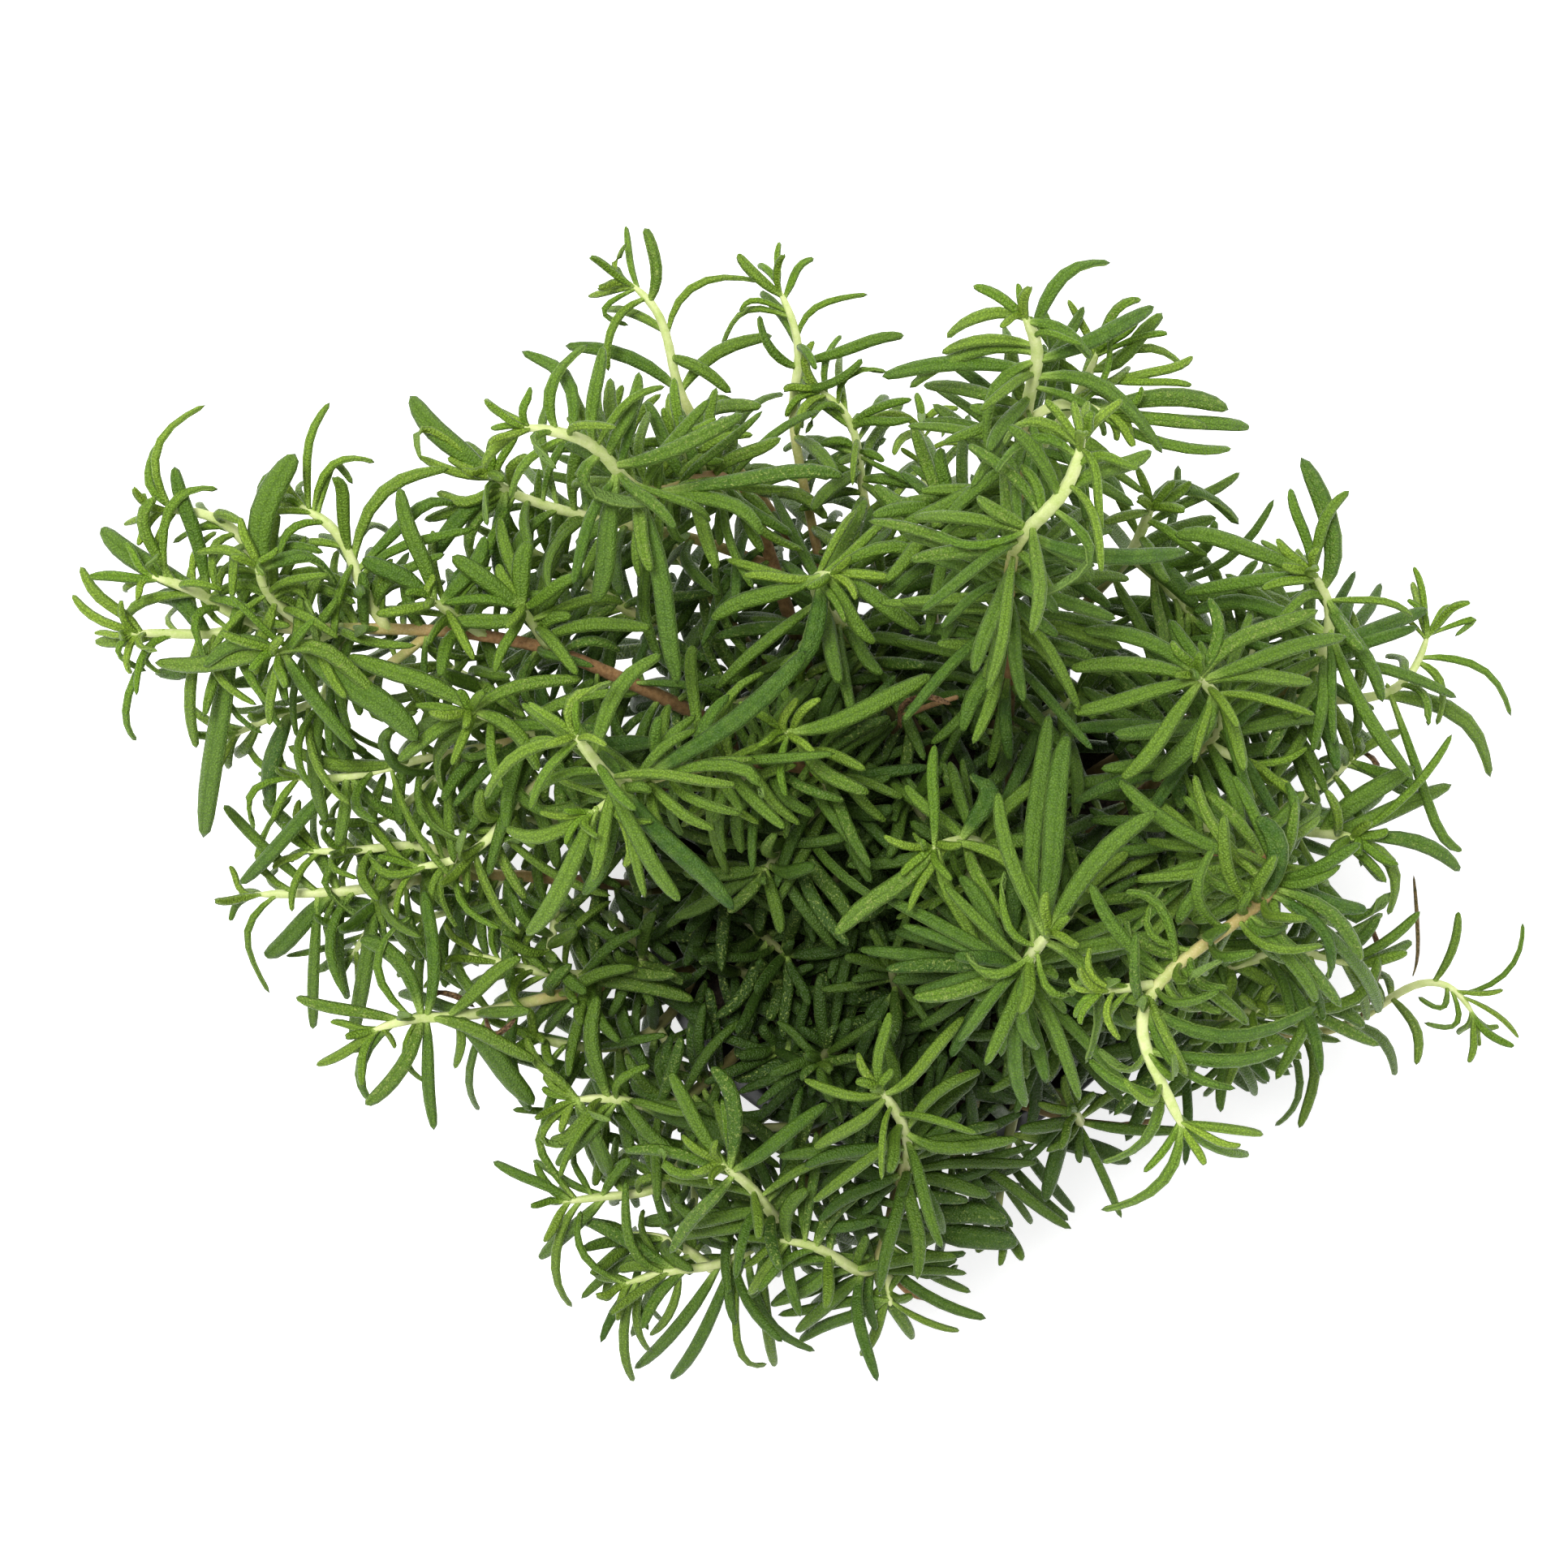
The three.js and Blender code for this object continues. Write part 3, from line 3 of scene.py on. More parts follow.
import bpy
import numpy as np
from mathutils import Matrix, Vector


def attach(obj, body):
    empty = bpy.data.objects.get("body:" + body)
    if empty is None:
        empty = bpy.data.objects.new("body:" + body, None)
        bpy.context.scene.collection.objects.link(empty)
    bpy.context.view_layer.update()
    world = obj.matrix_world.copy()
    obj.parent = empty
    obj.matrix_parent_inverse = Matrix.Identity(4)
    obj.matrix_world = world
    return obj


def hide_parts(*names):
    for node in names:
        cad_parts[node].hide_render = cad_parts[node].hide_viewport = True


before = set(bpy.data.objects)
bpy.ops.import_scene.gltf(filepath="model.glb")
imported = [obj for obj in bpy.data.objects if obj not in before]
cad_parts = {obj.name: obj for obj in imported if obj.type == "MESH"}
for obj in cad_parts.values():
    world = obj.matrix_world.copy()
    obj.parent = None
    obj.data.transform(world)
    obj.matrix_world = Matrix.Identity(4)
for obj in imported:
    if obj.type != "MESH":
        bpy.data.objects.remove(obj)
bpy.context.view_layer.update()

# Potted rosemary: needle-leaved shoots leaning out of a tapered black nursery pot. Lengths are in
# millimetres until a mesh is made; the frame has the centre of the pot's underside as its origin.

# ---- Pot and compost ----
RIM_DIAMETER = 110.0
BASE_DIAMETER = 76.0
POT_HEIGHT = 95.0
POT_WALL = 1.4
FLOOR_THICKNESS = 1.8
COLLAR_HEIGHT = 9.5
COLLAR_PROUD = 2.2
COLLAR_DRAFT = 0.8
DRAIN_COUNT = 6
DRAIN_WIDTH = 9.0
DRAIN_HEIGHT = 4.0
DRAIN_REACH = 14.0
SOIL_LEVEL = 85.0
SOIL_EDGE_DROP = 2.5

# ---- Growth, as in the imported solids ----
SQUARE_STEM = 1.18
JOINT_STEP = 10.6
TIP_JOINT = 3.0
LEAF_LENGTH = 25.0
LEAF_WIDTH = 3.7
LEAF_THICKNESS = 1.4
LEAF_GAP = 0.3
LIGHT_SHARE = 0.6
BEND_REACH = 4.0

# Where the plan was seen from, and the height that its coordinates are given at.
EYE = np.array([-25.75, 21.57, 1500.0])
PLAN_HEIGHT = 170.0

# Each shoot, under its branch and number: leafy length, radius at root and tip, youth, and points
# of its stem as (plan x, plan y, height).
SHOOTS = {
  "far_left 0": [46, 2.6, 1.2, 0.9, [[-20, 14, 77], [-24, 18, 95], [-40, 34, 128],
    [-57, 42, 150], [-72, 48.5, 160], [-90, 51.5, 165], [-110, 52, 167], [-127, 51.5, 167],
    [-133.5, 53.5, 168], [-137, 58, 172], [-142, 60.5, 176], [-149, 62, 178]]],
  "far_left 1": [26, 1.3, 1.0, 0.9, [[-130, 52, 167], [-136, 49.5, 167], [-142, 51.2, 169],
    [-148, 51, 171], [-153, 51, 173]]],
  "far_left 2": [40, 1.5, 1.1, 0.8, [[-121, 52, 167], [-126, 58, 168], [-129, 67, 171],
    [-131.5, 71.5, 174], [-136, 74.5, 176], [-142, 75.7, 178], [-147, 75, 178]]],
  "far_left 3": [28, 1.4, 1.0, 0.6, [[-117, 52, 167], [-124, 55, 174], [-128, 60, 182],
    [-128.5, 64, 188]]],
  "far_left 4": [34, 1.5, 1.1, 0.8, [[-103, 52, 167], [-108, 57, 168], [-109.5, 65, 171],
    [-111, 70, 173], [-114.5, 74, 175], [-120, 75.7, 175]]],
  "far_left 5": [26, 1.4, 1.0, 0.4, [[-112, 52, 167], [-119, 49, 176], [-125, 47, 187]]],
  "far_left 6": [40, 1.4, 0.9, 0.7, [[-94, 52, 165], [-102, 45, 161], [-110, 40, 157],
    [-119, 36.5, 154], [-128, 34.5, 152], [-133, 31, 150]]],
  "far_left 7": [22, 1.3, 1.0, 0.3, [[-84, 51, 164], [-91, 55, 169], [-95, 58, 176]]],
  "west 0": [60, 2.4, 1.0, 0.2, [[-26, 6, 77], [-31, 10, 95], [-46, 20, 122], [-64, 28, 142],
    [-79, 33, 160], [-87, 36, 178]]],
  "west 1": [46, 1.4, 0.9, 0.7, [[-74, 31, 152], [-88, 28, 152], [-100, 26, 152],
    [-108, 23, 151], [-115, 22, 150], [-122, 22.8, 149]]],
  "west 2": [44, 1.5, 1.0, 0.8, [[-60, 27, 138], [-70, 24.5, 148], [-77.5, 20, 152],
    [-80.5, 14, 152], [-83, 9.5, 150], [-89, 6, 148], [-98, 5.3, 146]]],
  "west 3": [50, 1.6, 1.0, 0.2, [[-33, 11.5, 99], [-45, 12, 106], [-58, 14, 114],
    [-72, 14, 124], [-86, 15, 134]]],
  "west_low 0": [60, 2.3, 1.0, 0.6, [[-32, -2, 77], [-38, -1, 95], [-58, 2, 112], [-80, 4, 124],
    [-98, 3.5, 132], [-106, 0.7, 134], [-118, 0.3, 134], [-129, 0, 132]]],
  "west_low 1": [34, 1.4, 0.9, 0.7, [[-84, 4, 126], [-95, 10.5, 136], [-103, 9.5, 138],
    [-111, 8, 138], [-119, 8.5, 138]]],
  "west_low 2": [22, 1.3, 0.9, 0.2, [[-98, 3.5, 132], [-105, -4, 130], [-110, -12, 124]]],
  "west_low 3": [46, 1.5, 1.0, 0.1, [[-39, -1, 96], [-38, 2, 106], [-38, 4, 120], [-39, 5, 136]]],
  "south_west 0": [56, 2.3, 1.1, 0.5, [[-36, -12, 77], [-41, -13, 95], [-58, -17, 116],
    [-76, -21, 132], [-88, -24, 142], [-95, -24, 148], [-101, -23.5, 150], [-106, -26.5, 150]]],
  "south_west 1": [44, 1.5, 1.0, 0.7, [[-47, -14.5, 103], [-53, -15.5, 114], [-60, -15.5, 122],
    [-70, -16, 128], [-78, -14.3, 130], [-87, -11.5, 129]]],
  "south_west 2": [54, 1.6, 1.0, 0.2, [[-42, -13.3, 97], [-47, -24, 103], [-56, -30, 110],
    [-66, -30, 120], [-74, -28, 130]]],
  "south_west_low 0": [46, 2.0, 1.0, 0.7, [[-26, -22, 77], [-30, -26, 95], [-42, -38, 112],
    [-51, -43, 122], [-54.5, -40, 130], [-61, -39, 133], [-67, -40, 132]]],
  "south_west_low 1": [46, 1.4, 0.9, 0.6, [[-37, -33, 106], [-44, -50, 109], [-50, -59.5, 113],
    [-57, -58, 117], [-63, -59, 118], [-69, -60, 117]]],
  "south 0": [56, 2.2, 1.0, 0.4, [[-14, -28, 77], [-15, -34, 95], [-20, -52, 112],
    [-26, -65, 122], [-28.5, -62, 134], [-31.5, -57, 144], [-36, -54, 150], [-38, -52.5, 153]]],
  "south 1": [46, 1.4, 0.9, 0.5, [[-21, -55, 113], [-29, -68, 109], [-38, -73, 111],
    [-45, -73, 114], [-50, -73, 115], [-57, -76, 114]]],
  "south 2": [46, 1.6, 1.0, 0.1, [[-15, -34, 95], [-15, -30, 108], [-17, -30, 122],
    [-19, -33, 136]]],
  "south_mid 0": [52, 2.1, 1.0, 0.5, [[-1, -32, 77], [-1, -40, 95], [-4, -60, 106],
    [-8, -75, 108], [-12, -73.5, 118], [-17, -69.5, 126], [-22, -67, 131], [-26.5, -67.5, 132]]],
  "south_mid 1": [24, 1.5, 1.0, 0.2, [[-5, -64, 107], [-6, -73, 105], [-5, -80, 110]]],
  "south_mid 2": [0, 1.5, 1.3, 0.0, [[-5.5, -70, 106], [-4, -78, 103], [-1, -79.5, 103],
    [3, -79, 104]]],
  "south_up 0": [54, 2.0, 1.1, 0.4, [[4, -24, 77], [5, -31, 95], [0, -48, 110], [-4, -58, 122],
    [-2, -53, 136], [-1, -49, 146], [-3, -43, 156], [-7, -38, 164]]],
  "south_up 1": [44, 1.6, 1.0, 0.1, [[5, -31, 95], [-1, -24, 106], [-4, -18, 122],
    [-5, -14, 138]]],
  "east_long 0": [112, 2.4, 1.3, 0.8, [[26, -12, 77], [30, -9, 95], [42, 0, 130],
    [56, 6.5, 165], [64, 7.6, 182], [70, 7.2, 192], [72.3, 3, 199], [66, -3, 203], [57, -9, 205],
    [50, -14, 206], [45, -18.5, 206], [42.3, -23.5, 206], [43, -28, 205], [46.5, -34, 204],
    [50, -41, 202], [52, -45.5, 201]]],
  "east_long 1": [10, 1.2, 0.9, 0.9, [[46, -17.5, 206], [40, -18, 208], [36, -19, 209]]],
  "east_long 2": [56, 1.7, 1.0, 0.1, [[31, -8, 99], [40, -6, 112], [46, -5, 130],
    [49, -3, 152]]],
  "heart 0": [84, 2.3, 1.3, 0.2, [[12, -10, 77], [13, -11, 95], [17, -13, 135], [20, -15, 172],
    [21.5, -14, 188], [23, -10.5, 198], [26, -7.5, 205]]],
  "middle 0": [64, 2.1, 1.1, 0.4, [[4, 2, 77], [6, 3, 95], [11, 6, 130], [13.5, 9.5, 155],
    [11, 11, 166], [7, 10.7, 173], [3, 9, 179]]],
  "middle 1": [20, 1.3, 0.9, 0.5, [[11.5, 7, 138], [11, 4, 150], [8.5, 1, 158]]],
  "brow 0": [76, 2.5, 1.2, 0.7, [[-8, 10, 77], [-9, 14, 95], [-12, 22, 128], [-22, 25, 150],
    [-36, 26.3, 166], [-48, 24, 176], [-55, 21.5, 183], [-59, 21, 190], [-61.5, 24.5, 198],
    [-64, 28, 205], [-66.5, 31, 211]]],
  "brow 1": [14, 1.2, 0.9, 0.7, [[-55, 21.5, 183], [-59, 18, 188], [-64, 15.5, 190]]],
  "brow 2": [40, 1.5, 1.0, 0.6, [[-10, 17, 106], [-16.5, 17.5, 135], [-18, 24, 150],
    [-21.5, 29.5, 160], [-25.5, 32, 170]]],
  "brow 3": [18, 1.2, 0.9, 0.6, [[-24, 25.3, 152], [-33, 23, 155], [-39, 20, 162]]],
  "north_west 0": [84, 2.5, 1.2, 0.7, [[-14, 24, 77], [-16, 28, 95], [-24, 52, 128],
    [-31, 74, 152], [-38, 83, 168], [-46, 79.5, 182], [-52, 77.5, 192], [-57.5, 80.5, 202],
    [-59.5, 85, 209], [-63.5, 89.3, 214], [-70, 90.6, 218], [-76.5, 91.2, 220]]],
  "north_west 1": [50, 1.5, 1.0, 0.4, [[-28, 63, 142], [-44, 70, 148], [-62, 73, 153],
    [-73, 76, 156], [-81, 78.5, 162], [-83.5, 82, 168]]],
  "north_west 2": [18, 1.3, 0.9, 0.4, [[-35, 80, 161], [-43, 84, 168], [-47, 88, 176]]],
  "north_west 3": [70, 1.8, 1.0, 0.2, [[-17, 31, 98], [-34, 50, 112], [-52, 74, 124],
    [-62, 88, 136]]],
  "left_mid 0": [70, 2.0, 1.0, 0.2, [[-28, 24, 77], [-32, 29, 94], [-48, 50, 118],
    [-66, 62, 136], [-77, 68, 148]]],
  "north 0": [66, 2.3, 0.9, 0.8, [[-4, 26, 77], [-5, 31, 95], [-15, 56, 118], [-32, 80, 134],
    [-45, 94, 145], [-47.5, 101, 150], [-48, 108, 153], [-49.5, 114.5, 155], [-52, 118, 155],
    [-56, 119.3, 155]]],
  "north 1": [58, 1.5, 0.9, 0.8, [[-17, 60, 121], [-22, 80, 134], [-25, 96, 144],
    [-22.5, 102, 149], [-22, 108, 152], [-24.2, 113.5, 154], [-27, 118.5, 155]]],
  "north 2": [50, 1.6, 0.8, 0.8, [[-6, 34, 98], [-6, 60, 118], [-11, 80, 134], [-11, 88, 141],
    [-12.3, 93, 145], [-14.5, 97, 148], [-19.5, 98.8, 149]]],
  "north_mid 0": [60, 2.1, 1.1, 0.4, [[4, 22, 77], [3, 27, 95], [-6, 42, 128], [-15, 53, 152],
    [-21, 60, 166], [-20, 63.3, 174], [-16.5, 62.5, 179]]],
  "north_mid 1": [40, 1.3, 0.7, 0.9, [[2.5, 28, 98], [4, 52, 112], [2, 70, 123], [1.6, 80, 129],
    [1.6, 86, 134], [1, 92, 138]]],
  "north_mid 2": [50, 1.6, 1.0, 0.1, [[2, 29, 100], [-8, 38, 108], [-15, 42, 122],
    [-22, 42, 140]]],
  "crown 0": [84, 2.4, 1.3, 0.5, [[12, 22, 77], [13, 27, 95], [17, 54, 145], [20, 80, 190],
    [21.5, 95, 214], [22.5, 100, 222], [25, 106, 228], [23.5, 110, 232], [21, 113, 235]]],
  "crown 1": [30, 1.5, 1.0, 0.5, [[20, 82, 193], [28, 92, 200], [33.5, 99, 205],
    [35.5, 106, 208]]],
  "crown 2": [14, 1.3, 1.0, 0.6, [[21, 92, 208], [26, 97.5, 214], [32, 96.5, 214],
    [37, 94, 214]]],
  "crown 3": [80, 1.9, 1.1, 0.2, [[13.2, 28, 97], [24, 44, 112], [34, 58, 132], [42, 66, 158],
    [46, 76, 178]]],
  "high 0": [92, 2.4, 1.4, 0.5, [[16, 14, 77], [17, 18, 95], [18, 40, 150], [18, 60, 205],
    [19, 68, 226], [22, 72, 236], [27, 75.5, 242], [30.5, 79.5, 246], [32.2, 84, 248],
    [32.5, 89, 249]]],
  "star 0": [66, 2.2, 1.2, 0.1, [[26, 6, 77], [30, 9, 95], [44, 20, 135], [56, 29, 165],
    [61, 34, 180], [59, 39, 189], [54.5, 43, 198]]],
  "star 1": [12, 1.3, 0.9, 0.5, [[57, 29, 166], [63, 28, 168], [66, 24, 168]]],
  "star 2": [70, 1.8, 1.1, 0.2, [[31, 9.8, 98], [42, 12, 108], [54, 13, 120], [70, 13, 140],
    [80, 12, 152], [86, 11, 160]]],
  "east_up 0": [68, 2.2, 1.1, 0.3, [[30, 20, 77], [35, 24, 93], [52, 34, 122], [68, 38, 146],
    [78, 43, 162], [81, 51, 174], [81, 59, 182], [77, 63, 188]]],
  "east_up 1": [40, 1.4, 0.8, 0.9, [[68, 38, 146], [80, 38, 150], [89, 38, 151], [94, 38, 152],
    [97, 42, 153], [99.5, 46.5, 154], [100, 51.5, 155]]],
  "east_low 0": [64, 2.0, 0.7, 0.9, [[33, -18, 77], [36.5, -19.5, 93], [56, -24, 107],
    [74, -28, 113], [85, -26, 115], [91, -21.5, 118], [96.5, -16.5, 121], [102, -15.2, 122],
    [107, -18, 122], [109, -24, 121]]],
  "east_low 1": [66, 1.7, 1.1, 0.2, [[42, -21.5, 95], [50, -26, 112], [59, -26, 134],
    [67, -22, 156]]],
  "south_east 0": [50, 2.0, 1.0, 0.3, [[18, -30, 77], [21, -34, 94], [29, -41, 112],
    [33, -46, 126], [31, -42, 136]]],
  "south_east 1": [34, 1.7, 1.0, 0.0, [[21, -34, 94], [19, -43, 100], [16, -56, 102],
    [16, -64, 101]]],
}

# Leaves whose place in the plan is known: distance of the root back from the tip, middle x and y,
# tip x and y, rise of the tip over the root, and width.
PLAN_LEAVES = {
  "far_left 0": [[1, -155, 61.5, -161.5, 62, 0, 2.2], [2, -145.5, 76, -136, 79, 6, 2.2],
    [4, -150.5, 71, -148, 77.5, 8, 2.6], [10, -151, 57.5, -153.5, 52, -8, 2.4],
    [12, -142.5, 73, -144.6, 83.5, 8, 3.2], [12, -150, 66, -159, 71.5, 4, 4.4]],
  "far_left 1": [[1, -157, 57, -163, 64, 2, 2.6], [2, -159, 54, -164.5, 58.5, -1, 2.0],
    [0, -155.5, 47, -150, 43.5, -6, 1.6], [5, -155, 50, -160, 49.3, -4, 2.6],
    [5, -153.5, 38, -152, 30, -12, 1.8], [13, -142, 39, -140.3, 28.5, -10, 2.8],
    [20, -137.5, 30, -139, 11, -14, 5.0]],
  "far_left 2": [[1, -148.2, 86, -138.5, 95.5, 4, 2.0], [3, -150, 81, -147.7, 88, 4, 2.0],
    [24, -128.5, 77.5, -124, 82.5, 6, 2.2]],
  "far_left 3": [[1, -133.5, 67.5, -140.5, 66.5, -2, 2.2], [1, -120.5, 66.8, -113, 60, -8, 3.4],
    [5, -126, 75, -121, 86, 4, 5.2], [10, -122, 57, -117, 49, -8, 3.0]],
  "far_left 4": [[1, -118.8, 86, -114.3, 96, 2, 2.0], [2, -113, 84.6, -105.5, 84.2, 0, 1.8],
    [3, -114, 83.8, -109.8, 80, -4, 2.0], [16, -102.5, 79, -91, 83, 3, 2.8],
    [18, -99.5, 74.5, -90, 76, -4, 2.8], [14, -111.5, 76, -113.6, 81.3, 6, 2.8]],
  "far_left 5": [[0, -131.5, 48.8, -139, 44.5, -3, 3.0], [0, -114, 46.2, -104.5, 38.5, -6, 3.2],
    [1, -126, 39.5, -126, 33, -6, 2.0], [2, -117, 38.5, -109, 28, -10, 3.0],
    [6, -119, 55, -116, 62, -2, 3.4]],
  "far_left 6": [[12, -125, 26, -126, 17, -8, 4.2], [20, -118, 26, -115, 14, -6, 3.6],
    [5, -131.5, 28, -132, 27, -8, 2.6]],
  "far_left 7": [[1, -97.5, 68, -100.8, 79.5, 4, 3.4], [3, -88, 63, -84, 70, 0, 3.2]],
  "west 0": [[0, -92, 39.7, -97, 41.5, 0, 2.4], [0, -76.5, 40.8, -65, 42, -5, 2.8],
    [1, -95, 31.3, -101, 26, -6, 2.8], [1, -79, 32, -73.5, 24, -5, 3.0],
    [8, -93, 30, -92, 20, -12, 3.4]],
  "west 1": [[1, -127.5, 25, -130.5, 31, -2, 1.6], [1, -129, 20, -129, 12.5, -4, 1.6],
    [9, -122, 11, -132, 2, -8, 3.2]],
  "west 2": [[2, -103, 4, -106.5, 8, -2, 2.0], [30, -73, 14, -70, 5, -8, 3.2]],
  "west_low 0": [[4, -130.5, -8, -126, -19.3, -8, 1.8], [8, -128.3, 8.5, -121.5, 19.5, 0, 2.0],
    [15, -121, -6.5, -127, -12, -6, 4.2], [12, -117.5, -15, -117.6, -26.3, -10, 2.8],
    [17, -112.3, -12, -110.8, -20.5, -10, 2.6], [24, -108.5, -15, -110, -28, -12, 3.6]],
  "south_west 0": [[1, -111, -29.6, -117, -33.3, -3, 2.2], [6, -112, -22, -121, -20, -2, 2.6],
    [4, -107.8, -33, -106, -40.5, -8, 2.6], [10, -101, -34, -107.5, -41, -8, 3.4],
    [11, -94.5, -35, -94, -46, -10, 2.8], [12, -84, -28, -74, -32.5, -8, 3.0],
    [18, -82, -33, -74.5, -41, -14, 4.6], [16, -84, -18, -77, -12, 4, 3.0],
    [11, -95, -11, -96, 1, 0, 3.0], [8, -105.5, -13, -98, -4, -2, 2.0]],
  "south_west 1": [[22, -56, -18.5, -43, -20.7, 2, 3.2], [36, -46, -22, -40.5, -28.5, 0, 4.0]],
  "south_west_low 0": [[1, -72, -35, -68, -29, -2, 1.8], [1, -73, -46, -67.5, -49, -4, 1.8],
    [7, -63, -30, -62, -19.5, 4, 3.4], [10, -53, -45, -47, -50.3, -4, 3.0],
    [16, -43, -44.5, -33, -50, 0, 4.4]],
  "south_west_low 1": [[1, -75, -56.5, -82.5, -52, -2, 2.4], [2, -73.5, -50, -69, -42, 2, 2.0],
    [3, -71, -70, -67, -80.5, -10, 2.4], [8, -68, -66, -73.5, -71, -8, 3.0]],
  "south 0": [[1, -46, -54.5, -50, -49, 0, 2.2], [3, -28, -47.5, -17, -40.5, 0, 3.0],
    [1, -43.5, -43.5, -48, -34.5, 2, 3.0], [2, -36.5, -42, -40, -33.5, 2, 3.4],
    [4, -42, -62, -48, -70, -10, 2.8], [6, -47, -51, -57, -50, -4, 2.4]],
  "south 1": [[8, -56.5, -67, -56.5, -55.5, 4, 2.2], [4, -55, -82, -52, -89, -8, 2.0],
    [2, -57.5, -86, -55, -95, -12, 2.4], [11, -48, -80, -52, -86, -8, 2.0],
    [20, -46, -85, -55, -92.5, -12, 2.8], [23, -41, -86.5, -48, -94.5, -12, 2.8],
    [25, -35, -88, -29, -91.5, -10, 1.8], [30, -29.5, -84, -27.5, -92, -12, 2.6]],
  "south_mid 0": [[1, -25, -61, -21, -57.5, 4, 3.0], [8, -15.5, -61.5, -10, -57, 2, 3.4],
    [1, -30, -73, -32.5, -78, -5, 2.4], [5, -20.5, -56, -19.5, -46, 2, 2.2],
    [14, -20, -77, -28, -80, -8, 2.6]],
  "south_mid 1": [[0, -15, -80.3, -27, -82, -4, 2.4], [1, -14, -83.5, -23, -87.3, -6, 2.8],
    [0, 2, -83.8, 8.5, -85, -4, 1.6], [2, -2, -72.5, 3, -67, 4, 2.0]],
  "south_up 0": [[0, -7, -30, -5, -22.8, 2, 2.4], [1, 2, -33.5, 9.5, -23.5, -2, 2.6],
    [1, -14, -38.5, -22, -36, -4, 2.2], [2, -13, -44.5, -20, -49.5, -6, 2.8],
    [16, 8, -49.5, 20, -47.5, -2, 2.8]],
  "east_long 0": [[0, 59.5, -45.8, 67.8, -46.8, -5, 2.2], [0, 48, -56.5, 36, -61.5, -10, 2.6],
    [3, 58, -48.3, 65, -50.7, -8, 2.4], [5, 42, -38.7, 33.5, -32, -6, 2.6],
    [10, 46.5, -46, 36, -52.3, -12, 2.6], [16, 60, -32, 72.5, -29.5, -6, 3.2],
    [26, 60, -27.3, 78.3, -21.8, -4, 3.4], [28, 47, -26.5, 53, -35.5, 4, 2.2],
    [36, 48, -4, 40.5, 0.5, 2, 2.2], [36, 56, -18.5, 65, -25.5, -6, 3.0],
    [42, 47, -10.8, 41, -6.8, -2, 2.6], [52, 73, -14, 78, -21, -6, 3.0],
    [58, 69.5, 7, 66.5, 15.3, 4, 4.4], [60, 80, -6, 80, -17, -6, 2.4],
    [72, 50.5, 14.5, 39.5, 22.5, -2, 3.0], [72, 56.5, 2, 51, -6, 2, 3.0]],
  "heart 0": [[0, 35.5, 5.5, 47, 16.3, -2, 3.8], [1, 19, 6, 16, 20.3, 0, 3.0],
    [6, 27, 13, 29.5, 31.5, -8, 4.4], [8, 23, 15, 26, 35.5, -14, 3.6],
    [6, 17.5, -6, 17.3, 5, 0, 1.8], [7, 27, -19.5, 33, -15.5, -2, 1.8],
    [3, 35, -18, 33, -33, -10, 3.2], [10, 15, -15.8, 9.7, -11, -4, 2.2],
    [10, 21, -24, 24, -30, -6, 2.8], [12, 20, -30, 21.5, -41.5, -10, 3.0]],
  "middle 0": [[0, -6, 1.5, -16, -8, -4, 3.8], [0, 2.7, 20, 3.7, 29.3, 0, 2.4],
    [1, 6.5, -1, 12.5, -10, -4, 2.8], [7, 16.5, 7, 21, -1, -2, 2.6],
    [10, 13, 19, 10.5, 23.5, -2, 4.0]],
  "brow 0": [[0, -66.5, 38, -59, 41.5, 2, 2.0], [1, -71.5, 24.5, -75.3, 16.5, -4, 2.0],
    [2, -77.5, 28, -84, 18.5, -5, 2.6], [9, -59.5, 37.5, -49.5, 47, -2, 3.2],
    [16, -53, 8.5, -46, -1.3, -6, 3.2], [24, -46.5, 9.5, -35.5, -3, -6, 3.8],
    [28, -34, 36, -21.5, 47.5, -2, 3.8], [32, -35.5, 24.7, -30, 18.5, 2, 2.6]],
  "brow 1": [[0, -68.5, 15.5, -73.5, 16.2, -1, 1.6], [1, -62.8, 10, -61, 5.5, -4, 1.8]],
  "brow 2": [[0, -11, 35.5, 3.3, 43, -2, 3.6], [1, -26, 25, -25.3, 19, 2, 1.8],
    [5, -17, 23.5, -9, 19.8, 2, 3.0]],
  "north_west 0": [[0, -77, 95.5, -75, 99, 3, 1.8], [1, -82, 88.5, -84, 83, -4, 2.4],
    [6, -71.5, 99, -64, 107.3, 0, 2.6], [9, -68, 99, -77, 106, -6, 2.8],
    [15, -62.8, 98, -61, 107, -2, 2.8], [18, -64, 79.5, -51.5, 76, -4, 3.4],
    [20, -56.5, 93, -54, 102, 0, 2.8], [23, -46, 87.5, -33.5, 93.8, 0, 3.2],
    [25, -61, 68, -62.5, 57, -10, 4.0], [33, -49.5, 58, -46.5, 41, -8, 3.8],
    [42, -29, 82, -14, 81.5, 2, 3.0], [42, -38, 76, -30, 70, 0, 3.0]],
  "north_west 1": [[0, -91, 89.5, -98.7, 97.3, 0, 4.4], [1, -90, 83, -97, 85.5, -2, 2.0],
    [8, -87, 72, -86, 64, -6, 3.2]],
  "north 0": [[5, -50.5, 123.5, -53, 130, 2, 3.0], [0, -58.5, 122.3, -56.5, 127, 1, 1.2],
    [1, -60.5, 114, -56, 111, -2, 1.4], [4, -58.5, 112, -60, 102, -6, 2.0],
    [14, -43, 118.5, -30, 119.5, -2, 1.8], [18, -43, 103, -36, 97.8, 0, 2.8],
    [26, -57, 104.5, -68.5, 107, -2, 3.0], [26, -38, 105.5, -28, 109, -2, 3.0]],
  "north 1": [[1, -31, 121, -34.8, 125, 2, 2.4], [5, -31, 115.9, -34.3, 113.5, 0, 1.3],
